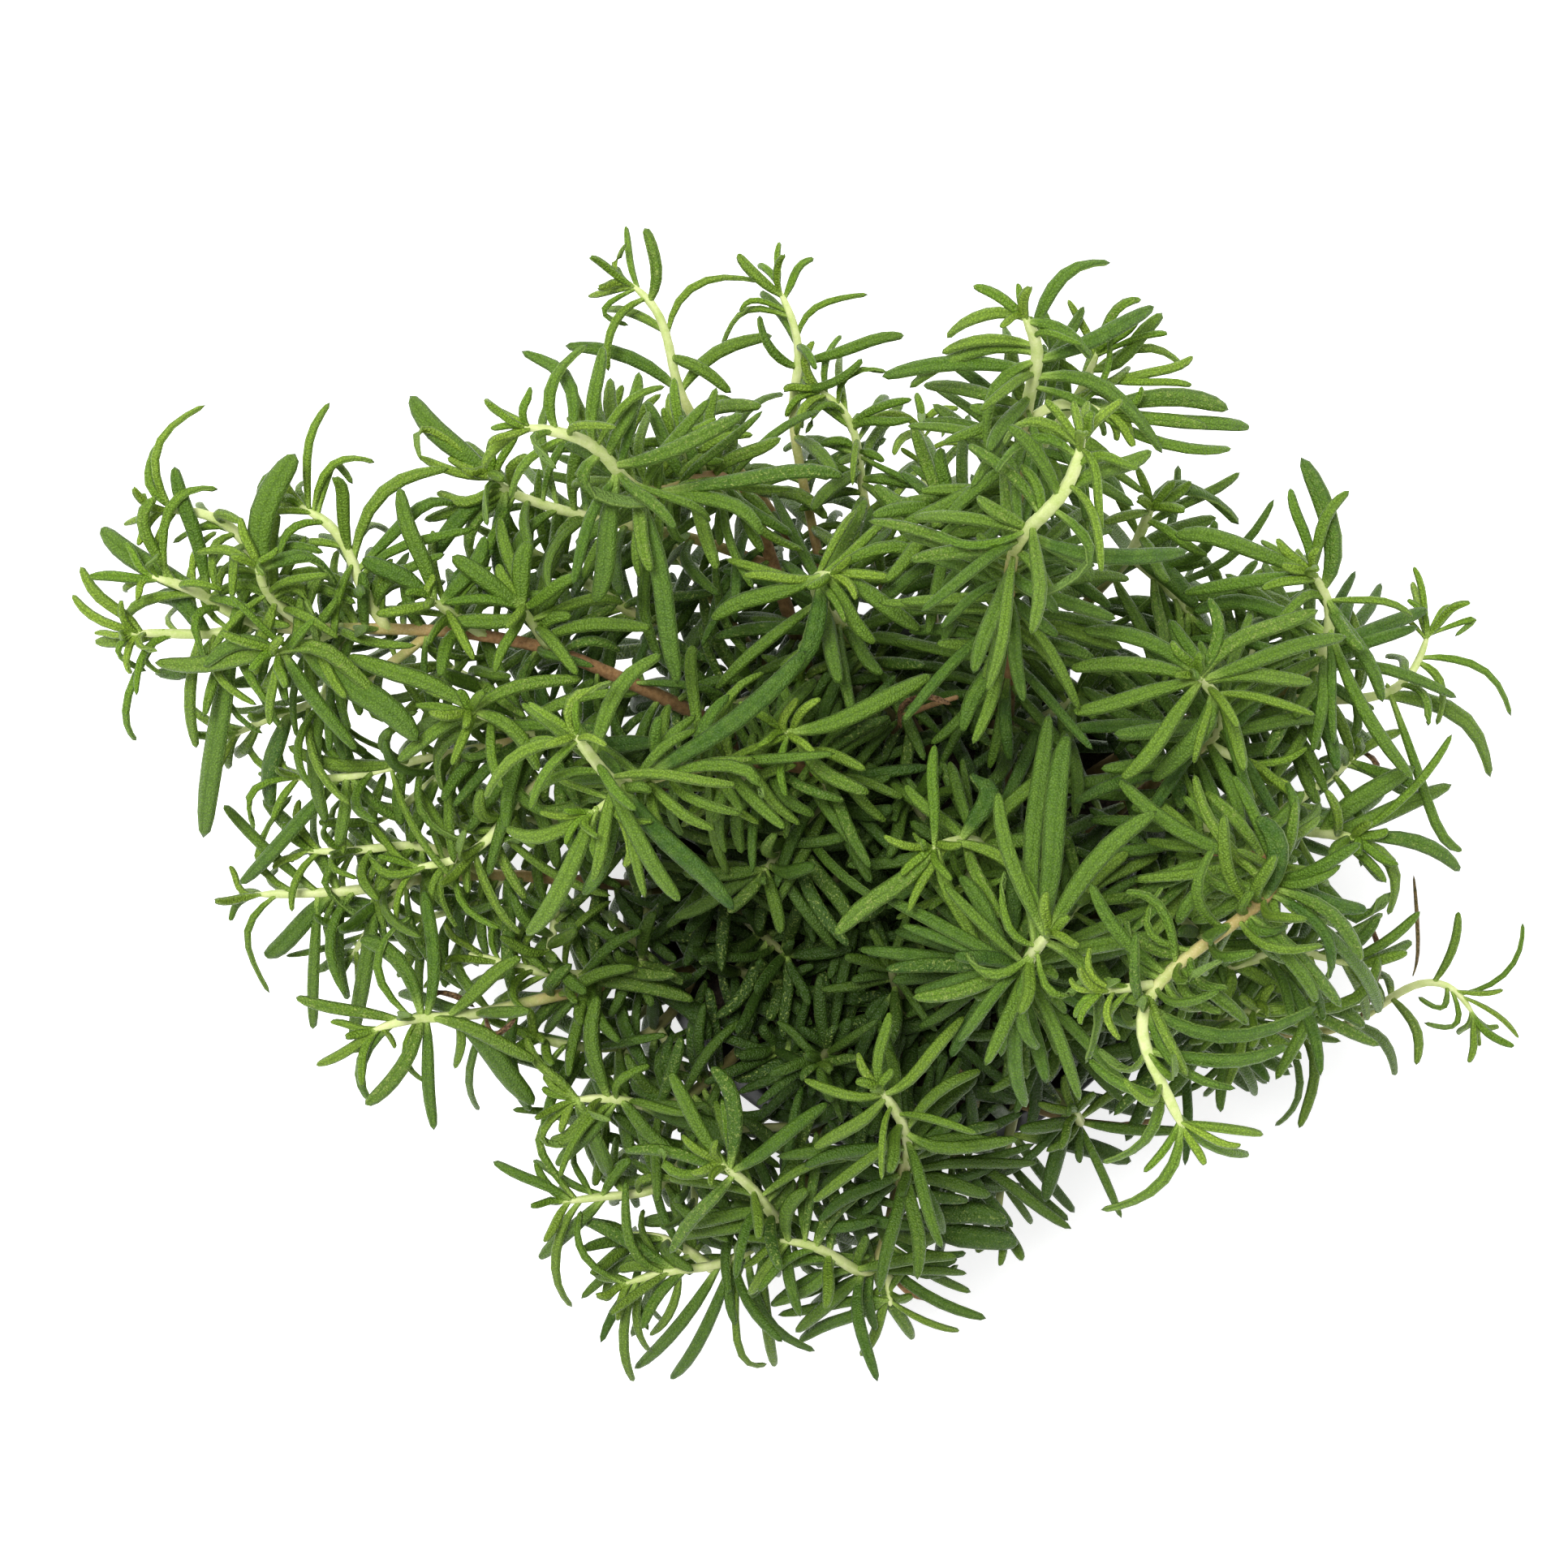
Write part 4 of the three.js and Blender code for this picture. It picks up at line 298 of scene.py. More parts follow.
    [6, -33, 114, -37.8, 107, -4, 1.6], [11, -18.5, 115, -9.3, 117, 0, 1.5],
    [16, -11, 107.5, -2.3, 109, 0, 2.6], [17, -28, 106, -30.5, 113, 2, 2.6],
    [22, -16, 100.5, -10.5, 104.5, 4, 2.2]],
  "north_mid 0": [[0, -7, 68, 3, 65, -2, 2.6], [1, -8, 58, 1, 51.5, -4, 3.4],
    [4, -19, 51, -27, 41, -4, 4.0], [3, -31, 58.5, -40, 53.5, -6, 3.4],
    [1, -13, 55, -8, 49, -4, 3.0]],
  "north_mid 1": [[3, 6, 94, 5, 89, -2, 1.2], [8, 6, 88, 11, 87, 1, 1.0], [9, -1, 86, -3, 87, 1, 1.2]],
  "crown 0": [[0, 13, 113.8, 6, 108.5, -4, 2.6], [1, 28.5, 111, 34, 104.5, -4, 2.8],
    [5, 27, 119.5, 38, 123.2, 0, 2.8], [8, 14, 109, 5, 105.5, -4, 2.4],
    [10, 11, 106, -1.3, 98.8, -6, 2.8], [12, 15.5, 98, 14, 86, -8, 2.8],
    [15, 7, 103, -6.7, 101, -6, 3.2], [12, 36, 110, 46.5, 114.7, -6, 3.2],
    [17, 38.5, 98, 48, 86, -8, 3.2]],
  "crown 1": [[0, 38, 113, 44, 116, 2, 2.0], [3, 42, 106.5, 48, 113.5, 2, 3.2],
    [4, 44, 106.3, 52, 103, -2, 2.0], [8, 47, 101.5, 54, 105, -4, 2.0]],
  "crown 2": [[0, 49, 97, 61, 94.5, -6, 3.8], [2, 54, 93, 65, 91, -10, 2.8],
    [3, 50, 88.5, 61.5, 87, -12, 2.2]],
  "high 0": [[1, 35.5, 81, 36.2, 70.8, -4, 1.9], [3, 23, 88.3, 15.5, 82, -4, 2.4],
    [1, 24, 92.8, 17, 87.5, -3, 2.4], [12, 38, 82.5, 46, 86.5, -4, 3.2],
    [16, 34.5, 67, 24, 58, -8, 2.4], [20, 23.5, 79, 20.3, 84, 0, 2.2],
    [25, 12.5, 67.5, 3.7, 71, -2, 1.8], [28, 38, 67, 53, 67, -8, 3.2]],
  "star 0": [[0, 44, 49.5, 32.5, 51.5, -2, 3.2], [1, 42, 45.3, 30, 44, -4, 3.2],
    [2, 42, 39, 30.5, 35.5, -6, 3.2], [0, 58, 50, 57, 58, 0, 2.6],
    [1, 66, 50.5, 78.5, 55.5, 0, 3.4], [2, 70, 47, 84, 50.3, -4, 3.2],
    [3, 67, 42, 77.5, 41.5, -6, 3.2], [2, 47, 31.5, 40, 22.5, -4, 3.2],
    [8, 54, 31, 46, 22, -8, 4.0]],
  "east_up 0": [[5, 81, 71, 75, 85.3, 4, 4.2], [0, 79, 71.5, 84.5, 78.8, 0, 2.4],
    [0, 74.5, 71.5, 73, 79.3, 0, 2.2], [8, 87.5, 49, 91, 37.5, -8, 3.0],
    [17, 88.5, 35, 97, 22.5, -4, 2.8], [20, 66, 56, 54, 55, -4, 3.2]],
  "east_up 1": [[0, 108.5, 54, 105, 50.3, -1, 1.4], [1, 95, 54.3, 92.5, 49.5, -1, 1.2],
    [1, 99, 58, 97, 64, 3, 1.5], [5, 109.5, 45, 116, 34.7, -6, 1.9],
    [6, 102.8, 41, 101.5, 33, -4, 2.2], [18, 104.5, 34.5, 112, 22.8, -8, 3.6]],
  "east_low 0": [[8, 106, -24.5, 99, -25, -4, 1.4], [0, 109, -26.5, 110, -29.5, -3, 1.8],
    [7, 111, -19, 114.5, -18.5, 1, 1.2], [5, 114, -23.5, 117.5, -28, -3, 1.2]],
  "star 2": [[10, 87, 17.5, 97.3, 25, 4, 4.2], [9, 92, 15, 104.5, 21.5, -2, 3.6],
    [2, 92.5, 5, 92, -4, -8, 2.8], [0, 99, 10.8, 106, 4.5, -6, 3.2],
    [18, 84, -2.5, 92.5, 0.5, 6, 3.2]],
}

# More leaves seen in the plan, for the dressed plant alone: x and y of the foot, which goes to the
# nearest place on the branch's stems, then the rest as in PLAN_LEAVES.
TRACED_LEAVES = {
  "far_left": [[-137, 52, -143, 55, -149, 58, -2, 4.0], [-124, 47, -136, 46.5, -148.5, 45.2, -8, 3.4],
    [-136, 46, -143, 42, -148, 43.5, -6, 3.2], [-130, 68, -136, 72.5, -145, 68.5, 2, 2.0],
    [-127.5, 56.5, -120, 58.5, -116.5, 48.5, -4, 2.8], [-136.5, 60, -129, 60.5, -125, 50, -2, 3.0],
    [-113.5, 47, -115, 53, -115.5, 59.5, 2, 3.8], [-120, 48, -109, 39, -97, 30, -10, 5.4],
    [-111, 41, -111.5, 31, -108.5, 21.5, -10, 3.6], [-107.5, 52, -108, 57.5, -108, 63, 4, 3.0],
    [-103, 55, -104.5, 60.5, -102, 65.5, 4, 1.6], [-96, 54, -99, 59, -100.5, 64.5, 4, 3.0],
    [-96, 55.5, -102, 62, -108, 65.5, 2, 3.6], [-75, 55.5, -83, 53.5, -91, 53, 2, 3.2],
    [-77, 56, -84, 61.5, -90.5, 66, 4, 3.6], [-77, 56.5, -76.5, 63, -75.5, 69, 4, 3.8]],
  "west": [[-88, 37, -98, 43.5, -111, 46.5, -2, 3.6], [-101, 27, -112, 26, -122.5, 29, -2, 2.8],
    [-100.5, 26.5, -100.8, 20, -100.5, 13.5, -6, 3.0], [-94, 24, -96, 17, -98.5, 10, -8, 3.0],
    [-111.5, 22, -111.8, 15, -112.8, 9.5, -6, 3.0], [-110, 22, -105.5, 18, -100.5, 14.5, -6, 2.6],
    [-66, 29, -75, 39.5, -81, 48, -6, 5.0]],
  "west_low": [[-112.5, 3, -119, 11, -127.5, 18.5, 0, 3.6], [-116.5, 1, -128.5, 10, -135, 17.5, 2, 2.6],
    [-109, 8, -115, 1.5, -106.5, -5.5, -4, 1.8], [-90.5, 4, -105, 4.5, -99.5, 10.5, 2, 2.2],
    [-104.5, 1, -104.2, -4, -103.5, -9, -4, 2.0], [-86, -1, -88, -8, -91, -14, -8, 3.4],
    [-83, 6, -83.3, -3, -82, -12, -8, 3.0], [-76, 4, -79.5, -3, -79.5, -11, -8, 3.2],
    [-72, 5, -75.5, -3, -79, -11.5, -8, 3.4], [-61, 4, -62.5, -5, -62.3, -15.5, -4, 3.6],
    [-57, 5, -55.5, -4, -54.5, -14, -4, 4.4]],
  "south_west": [[-95.5, -17, -102, -12, -108.5, -9, 0, 3.6], [-105, -24, -103.5, -27, -101.5, -30, -4, 1.4],
    [-97, -25, -99.5, -31.5, -95.5, -36.5, -6, 1.6], [-89.5, -22.5, -88.8, -28, -90, -34, -6, 2.0],
    [-66, -21, -74, -24, -80.5, -29, -6, 2.8], [-61.5, -16, -62.5, -29, -60.5, -41, -6, 3.8]],
  "south_west_low": [[-66, -39, -72, -34, -76, -27.5, 2, 2.4], [-61, -42, -66.8, -45, -71.2, -47.8, -4, 3.0],
    [-59, -45, -64.8, -47.9, -70.2, -52.8, -8, 3.0], [-66.5, -39, -63.9, -47.9, -60, -54.8, -12, 4.6],
    [-61.5, -58.5, -59, -53.7, -55.5, -51.8, 4, 2.6]],
  "south": [[-59, -74, -65.3, -70.2, -65.3, -61.5, 2, 1.8], [-46.4, -72, -57, -68, -64.8, -63.5, 0, 3.0],
    [-47, -72, -54, -71.5, -58, -73.5, -4, 2.6], [-33, -60.5, -44, -62.5, -54, -63.8, -8, 3.4],
    [-46, -66, -52, -68, -51, -73, -12, 3.8]],
  "brow": [[-62, 16, -69.5, 3, -76, -8, -8, 3.8], [-55, 16, -59.5, 7.5, -65, 0, -8, 3.2],
    [-63, 15, -72, 12, -80, 13, -6, 3.0], [-55, 14, -56, 9.5, -57, 5.5, -4, 2.0],
    [-43, 33, -43.3, 42, -43.3, 48.5, 4, 2.6]],
  "north_west": [[-84, 82, -95, 91, -96.5, 84.5, 0, 1.6], [-84, 79, -88.5, 77, -93.5, 78.5, 0, 2.4],
    [-80, 78.5, -88, 76, -96, 73, -2, 2.6], [-84, 78, -90, 71.5, -95, 65.5, -6, 3.6],
    [-81, 78, -81, 68, -80.5, 60, -8, 4.0]],
  "crown": [[41, 69, 48, 64, 55, 56, -10, 4.4], [40, 92, 46.6, 93.1, 56.9, 91.1, -4, 2.6],
    [39, 99, 46.6, 99.8, 53.8, 99.3, -2, 1.6], [40, 104, 45, 109.5, 48.7, 109, 2, 1.4],
    [45, 75, 53.3, 79.6, 63, 72.1, -6, 3.8]],
  "east_up": [[77, 64, 61, 69, 50.5, 70, 2, 3.4], [95, 28, 101, 17, 106.5, 8.5, -8, 2.4],
    [77, 63, 64, 60.5, 52, 58.8, -10, 2.8]],
  "star": [[88, 12, 97, 21, 104.5, 31.3, 6, 1.8]],
  "east_long": [[66, -6, 74, -12, 83, -22, -8, 3.0], [72, 0, 82, -5, 87, -13, -6, 3.0],
    [70, 5, 80, 0, 88, -3, -4, 3.2], [72, -6, 84, -7.2, 91, -3.6, -14, 2.2],
    [74, -3, 86, -13, 90.2, -23, -30, 2.8]],
  "east_low": [[67, -22, 83, -21.5, 90.2, -11.5, 6, 2.6], [66, -22, 79, -21.5, 87.5, -26, -2, 3.4],
    [68, -22, 80, -24, 90.5, -29.5, -6, 2.6]],
}

# Leaves seen apart from the rule, as (branch, root, middle, tip, width, dryness), in plan
# coordinates with heights: broad low ones over the rim, and withered ones caught among the stems.
SINGLE_LEAVES = [
    ("south_east", (20, -47, 100), (32, -50, 104), (42, -52, 103), 4.0, 0.0),
    ("south_east", (15, -47, 100), (14, -57, 104), (12, -65, 101), 5.2, 0.0),
    ("south_mid", (0, -62, 106), (10, -66, 111), (20, -68, 109), 5.0, 0.0),
    ("south_mid", (-2, -63, 106), (8, -62, 117), (18, -64, 118), 4.6, 0.0),
    ("east_low", (97, -15.5, 122), (98, -8, 126), (97, 4, 125), 0.9, 0.8),
    ("south_west", (-95, -24, 147), (-93, -19, 143), (-86, -22, 140), 1.4, 1.0),
    ("south_west", (-84, -23, 139), (-82, -27, 143), (-78, -24, 146), 1.3, 1.0),
    ("east_up", (86, 28, 140), (90, 25, 142), (89, 19, 139), 1.3, 1.0),
    ("east_low", (86, -25, 116), (90, -14, 121), (88, -5, 119), 1.3, 1.0),
    ("brow", (-3, 33, 150), (-1, 38, 156), (7, 37, 158), 1.5, 1.0),
    ("south_east", (12, -41, 104), (11, -37, 112), (8, -34, 116), 2.2, 0.6),
]

# Bare or withered twigs, as (branch, radius, points), in plan coordinates with heights.
TWIGS = [
    ("south_east", 0.8, [(20, -41, 97), (30, -44, 99), (40, -45, 99), (47, -44, 100)]),
    ("brow", 0.7, [(-6, 30, 130), (-2, 35, 141), (3, 37, 148), (8, 38.5, 150)]),
]

# Short side shoots inside and below the plant, which close it as densely as it is seen, in the
# form of SHOOTS. Only the dressed plant has them.
INNER_SHOOTS = {
  "west_low a": [36, 1.3, 0.8, 0.1, [[-39, -1, 100], [-31, -7, 108], [-25, -12, 122]]],
  "west_low b": [36, 1.3, 0.8, 0.1, [[-52, 1, 108], [-52, -7, 112], [-54, -14, 124]]],
  "west_low c": [36, 1.3, 0.8, 0.2, [[-70, 3, 119], [-70, -6, 124], [-72, -12, 132]]],
  "south_west a": [36, 1.3, 0.8, 0.1, [[-42, -13, 97], [-34, -15, 104], [-27, -17, 116]]],
  "south_west b": [36, 1.3, 0.8, 0.1, [[-52, -15, 108], [-55, -7, 112], [-62, -3, 122]]],
  "south a": [36, 1.3, 0.8, 0.1, [[-16, -40, 99], [-23, -35, 106], [-28, -30, 118]]],
  "south b": [36, 1.3, 0.8, 0.2, [[-18, -46, 106], [-27, -45, 112], [-36, -46, 122]]],
  "south c": [36, 1.3, 0.8, 0.1, [[-15, -34, 95], [-9, -38, 104], [-7, -40, 118]]],
  "middle a": [36, 1.3, 0.8, 0.1, [[6, 3, 96], [-4, -1, 104], [-13, -5, 118]]],
  "middle b": [36, 1.3, 0.8, 0.1, [[8, 4, 104], [4, -5, 112], [1, -10, 124]]],
  "middle c": [36, 1.3, 0.8, 0.1, [[10, 5, 118], [2, 14, 126], [-2, 20, 138]]],
  "brow a": [36, 1.3, 0.8, 0.1, [[-10, 16, 102], [-20, 11, 110], [-29, 7, 122]]],
  "brow b": [36, 1.3, 0.8, 0.1, [[-9, 14, 97], [-14, 5, 106], [-19, -2, 118]]],
  "brow c": [36, 1.3, 0.8, 0.1, [[-14, 23, 132], [-24, 12, 138], [-30, 4, 148]]],
  "heart a": [36, 1.3, 0.8, 0.1, [[14, -12, 104], [7, -19, 110], [1, -24, 122]]],
  "heart b": [36, 1.3, 0.8, 0.1, [[16, -13, 120], [24, -22, 128], [29, -28, 140]]],
  "heart c": [36, 1.3, 0.8, 0.1, [[18, -14, 140], [27, -8, 148], [33, 0, 160]]],
  "east_long a": [36, 1.3, 0.8, 0.1, [[31, -8, 100], [23, -3, 108], [17, 2, 122]]],
  "east_long b": [36, 1.3, 0.8, 0.1, [[38, -3, 116], [41, -14, 124], [43, -22, 136]]],
  "east_long c": [40, 1.3, 0.8, 0.1, [[44, 1, 134], [54, -6, 144], [61, -14, 156]]],
  "crown a": [36, 1.3, 0.8, 0.1, [[14, 32, 104], [6, 38, 114], [0, 42, 128]]],
  "crown b": [40, 1.3, 0.8, 0.1, [[18, 62, 158], [10, 70, 166], [5, 76, 180]]],
  "high a": [36, 1.3, 0.8, 0.1, [[17.5, 30, 130], [26, 35, 140], [32, 39, 154]]],
  "north_west a": [36, 1.3, 0.8, 0.1, [[-20, 41, 113], [-30, 39, 122], [-39, 36, 134]]],
  "south_mid a": [36, 1.3, 0.8, 0.1, [[-2, -45, 98], [6, -49, 106], [11, -53, 118]]],
  "star a": [40, 1.3, 0.8, 0.1, [[48, 23, 145], [55, 16, 150], [60, 8, 160]]],
  "far_left a": [14, 1.2, 0.9, 0.4, [[-72, 48.5, 160], [-75, 53, 167], [-77, 56.5, 174]]],
  "south_west c": [34, 1.3, 0.8, 0.2, [[-50, -26, 106], [-46, -33, 104], [-43, -40, 106]]],
  "south d": [34, 1.3, 0.8, 0.3, [[-40, -72, 111], [-48, -66, 104], [-56, -66, 100]]],
  "star b": [34, 1.3, 0.8, 0.3, [[66, 13, 136], [77, 20, 142], [86, 27, 148]]],
  "east_long d": [40, 1.3, 0.8, 0.3, [[61, -14, 156], [74, -10, 158], [86, -14, 156]]],
  "south_west_low a": [36, 1.3, 0.8, 0.2, [[-40, -38, 108], [-47, -46, 105], [-56, -50, 103]]],
  "south_west_low b": [34, 1.3, 0.8, 0.2, [[-44, -50, 109], [-42, -57, 105], [-44, -65, 103]]],
  "south_west d": [34, 1.3, 0.8, 0.2, [[-56, -30, 110], [-59, -37, 107], [-61, -46, 105]]],
  "south e": [34, 1.3, 0.8, 0.2, [[-26, -62, 110], [-33, -59, 105], [-41, -56, 103]]],
  "far_left b": [34, 1.3, 0.8, 0.3, [[-110, 52, 165], [-114, 44, 154], [-117, 34, 148]]],
  "west a": [36, 1.3, 0.8, 0.3, [[-88, 28, 150], [-96, 20, 142], [-105, 14, 136]]],
  "west b": [34, 1.3, 0.8, 0.3, [[-74, 31, 152], [-82, 40, 150], [-92, 45, 148]]],
  "west_low d": [34, 1.3, 0.8, 0.3, [[-80, 4, 124], [-88, -3, 121], [-97, -5, 119]]],
  "crown c": [34, 1.3, 0.8, 0.3, [[42, 66, 158], [48, 61, 150], [54, 54, 146]]],
  "east_up a": [40, 1.3, 0.8, 0.3, [[54, 35, 124], [58, 46, 130], [60, 58, 136]]],
  "east_up b": [36, 1.3, 0.8, 0.3, [[60, 36, 132], [66, 46, 138], [68, 54, 142]]],
  "south_west e": [36, 1.3, 0.8, 0.2, [[-46, -14, 102], [-52, -22, 102], [-56, -26, 104]]],
}

# Shoots that carry few leaves besides those seen in the plan.
SPARSE_SHOOTS = {"south_west 0", "south_west 2", "south_east 0", "south_east 1", "south_mid 1",
                 "east_low 0", "east_up 1", "north 0", "north 1", "crown 3"}
# The shoot beside the brown cut end, which leaves it in sight.
BARE_TIP = "south_mid 1"


# ---- Repeatable draws, from 0 to 1 ----
MASK = 0xFFFFFFFF


def draw(shoot, joint, purpose):
    seed = ((shoot + 1) * 0x9E3779B1 & MASK) ^ ((joint + 1) * 0x85EBCA6B & MASK)
    seed ^= (purpose + 1) * 0xC2B2AE35 & MASK
    seed = (seed + 0x6D2B79F5) & MASK
    mixed = (seed ^ (seed >> 15)) * (seed | 1) & MASK
    mixed ^= (mixed + ((mixed ^ (mixed >> 7)) * (mixed | 61) & MASK)) & MASK
    return (mixed ^ (mixed >> 14)) / 4294967296


def unit(vector):
    return vector / math.sqrt(vector.dot(vector))


def mix(a, b, share):
    return a + (b - a) * share


def clamp(value, low, high):
    return min(max(value, low), high)


# ---- Stems ----
def placed(x, y, z):
    reach = (EYE[2] - z) / (EYE[2] - PLAN_HEIGHT)
    return np.array([EYE[0] + (x - EYE[0]) * reach, EYE[1] + (y - EYE[1]) * reach, z])


def nearest_on_line(line, point):
    best = None
    for a, b in zip(line, line[1:]):
        share = clamp((point - a).dot(b - a) / (b - a).dot(b - a), 0, 1)
        spot = mix(a, b, share)
        if best is None or np.linalg.norm(spot - point) < np.linalg.norm(best - point):
            best = spot
    return best


# Distance between the points of a rounded stem, and how often its corners are softened.
STEM_STEP = 1.7
STEM_PASSES = 24
# Length at a stem's root that stays without leaves.
BARE_ROOT = 3


class Shoot:
    def __init__(self, name, index, line, leafy, root_radius, tip_radius, youth):
        self.name = name
        self.index = index
        self.branch = name.split(" ")[0]
        self.line = line
        self.run = [0.0]
        for a, b in zip(line, line[1:]):
            self.run.append(self.run[-1] + float(np.linalg.norm(b - a)))
        self.length = self.run[-1]
        self.root_radius = root_radius
        self.tip_radius = tip_radius
        self.youth = youth
        self.bearing = min(leafy, self.length - BARE_ROOT)
        self.joints = math.floor((self.bearing - TIP_JOINT) / JOINT_STEP) + 1
        self.turn = draw(index, 0, 0) * math.pi / 2
        start = [0.0, 1.0, 0.0] if abs(self.tangent(0)[0]) > 0.9 else [1.0, 0.0, 0.0]
        normal = np.array(start)
        self.normals = []
        for distance in self.run:
            tangent = self.tangent(distance)
            normal = unit(normal - tangent * normal.dot(tangent))
            self.normals.append(normal)

    def place(self, distance):
        wanted = clamp(distance, 0, self.length)
        i = 0
        while i < len(self.run) - 2 and self.run[i + 1] < wanted:
            i += 1
        return i, (wanted - self.run[i]) / (self.run[i + 1] - self.run[i])

    def point(self, distance):
        i, share = self.place(distance)
        return mix(self.line[i], self.line[i + 1], share)

    def tangent(self, distance):
        return unit(self.point(distance + BEND_REACH) - self.point(distance - BEND_REACH))

    def radius(self, distance):
        return mix(self.root_radius, self.tip_radius, clamp(distance / self.length, 0, 1))

    def frame(self, distance):
        i, share = self.place(distance)
        tangent = self.tangent(distance)
        normal = mix(self.normals[i], self.normals[i + 1], share)
        normal = unit(normal - tangent * normal.dot(tangent))
        return tangent, normal, np.cross(tangent, normal)

    def soft_line(self):
        """Distances along the shoot and its points there, with the corners of its line rounded."""
        steps = max(int(self.length / STEM_STEP), 6)
        distances = [self.length * i / steps for i in range(steps + 1)]
        points = np.array([self.point(distance) for distance in distances])
        for _ in range(STEM_PASSES):
            inner = points[:-2] * 0.25 + points[1:-1] * 0.5 + points[2:] * 0.25
            points = np.concatenate([points[:1], inner, points[-1:]])
        return distances, points

    def shift_leaf(self, leaf, distances, points):
        """Moves a leaf's foot from the shoot's line onto its rounded line."""
        rounded_place = [np.interp(leaf.distance, distances, points[:, axis]) for axis in range(3)]
        shift = np.array(rounded_place) - self.point(leaf.distance)
        leaf.root = leaf.root + shift
        leaf.middle = leaf.middle + shift * 0.5


def read_shoots(table, shoots, first):
    """Adds the table's shoots; a side shoot starts on the nearest of its branch's earlier stems."""
    for index, (name, row) in enumerate(table.items(), first):
        leafy, root_radius, tip_radius, youth, points = row
        line = [placed(*point) for point in points]
        roots = [nearest_on_line(earlier.line, line[0])
                 for earlier in shoots if earlier.branch == name.split(" ")[0]]
        if roots:
            line[0] = min(roots, key=lambda spot: np.linalg.norm(spot - line[0]))
        shoots.append(Shoot(name, index, line, leafy, root_radius, tip_radius, youth))
    return shoots


# ---- Leaves ----
class Leaf:
    def __init__(self, branch, root, middle, tip, side, width, thickness, distance, way):
        self.branch = branch
        self.root = root
        self.middle = middle
        self.tip = tip
        self.side = side
        self.width = width
        self.thickness = thickness
        self.distance = distance
        self.way = way
        self.youth = 0.0
        self.dry = 0.0
        self.luck = 0.5
        self.roll = 0.0

    def bend(self, t):
        rest = 1 - t
        return self.root * (rest * rest) + self.middle * (2 * rest * t) + self.tip * (t * t)

    def heading(self, t):
        return unit((self.middle - self.root) * (1 - t) + (self.tip - self.middle) * t)

    def sideways(self, t):
        along = self.heading(t)
        return unit(self.side - along * self.side.dot(along))


def face_side(stem, first):
    light = stem * (1 - LIGHT_SHARE) + np.array([0, 0, LIGHT_SHARE])
    return unit(np.cross(light, first))


# Ways to fit a leaf with a known place, the first that has room: how much its tip is raised, and
# the share of its length that stays.
PLAN_SHIFTS = [(0, 1), (2, 1), (-2, 1), (4, 1), (-4, 1), (7, 1), (-7, 1), (0, 0.8), (4, 0.8),
               (-4, 0.8), (0, 0.6)]
# Leaves for the dressed plant alone get more tries, and may press closer to their neighbours.
WIDE_SHIFTS = [(shift, 1) for shift in (0, 2, -2, 4, -4, 7, -7, 10, -10, 14, -14, 18, -18)]
TRACED_SQUEEZE = 0.45


def plan_leaf(shoot, row, change):
    """A leaf with a known place, in one of the ways of PLAN_SHIFTS."""
    back, middle_x, middle_y, tip_x, tip_y, rise, width = row
    shift, share = change
    distance = max(shoot.length - back - 1, 1)
    root = shoot.point(distance)
    arch = math.hypot(tip_x - middle_x, tip_y - middle_y) * 0.2
    seen_middle = placed(middle_x, middle_y, root[2] + (rise + shift) / 2 + arch)
    far = placed(tip_x, tip_y, root[2] + rise + shift)
    through = seen_middle * 2 - root * 0.5 - far * 0.5
    middle = mix(root, through, share)
    tip = mix(middle, mix(through, far, share), share) if share < 1 else far
    way = unit(middle - root)
    leaf = Leaf(shoot.branch, root, middle, tip, face_side(shoot.frame(distance)[0], way),
                max(width, 1.2), min(LEAF_THICKNESS, 0.5 + width * 0.3), distance, way)
    leaf.youth = clamp(1.05 - width / 3.5 + 0.35 * shoot.youth * (1 - back / 30), 0, 1)
    return leaf


# Ways to fit a leaf that grows by rule: how much it is turned about its stem, how much further it
# stands from it, and the share of its length that stays.
TRIES = [(0, 0, 1), (0.35, 0, 1), (-0.35, 0, 1), (0.7, 0, 1), (-0.7, 0, 1), (0.2, 0.3, 0.85),
         (-0.2, 0.3, 0.85), (0.5, -0.3, 0.8), (-0.5, -0.3, 0.8)]
# Numbers of the inner shoots, and how much further from the tip their leaves look to be: they are
# old side shoots whose leaves are long and dark up to the end.
INNER_FIRST = 200
INNER_AGEING = 11.0
# Distance from the tip at which leaves are full-grown.
RIPE_REACH = 26


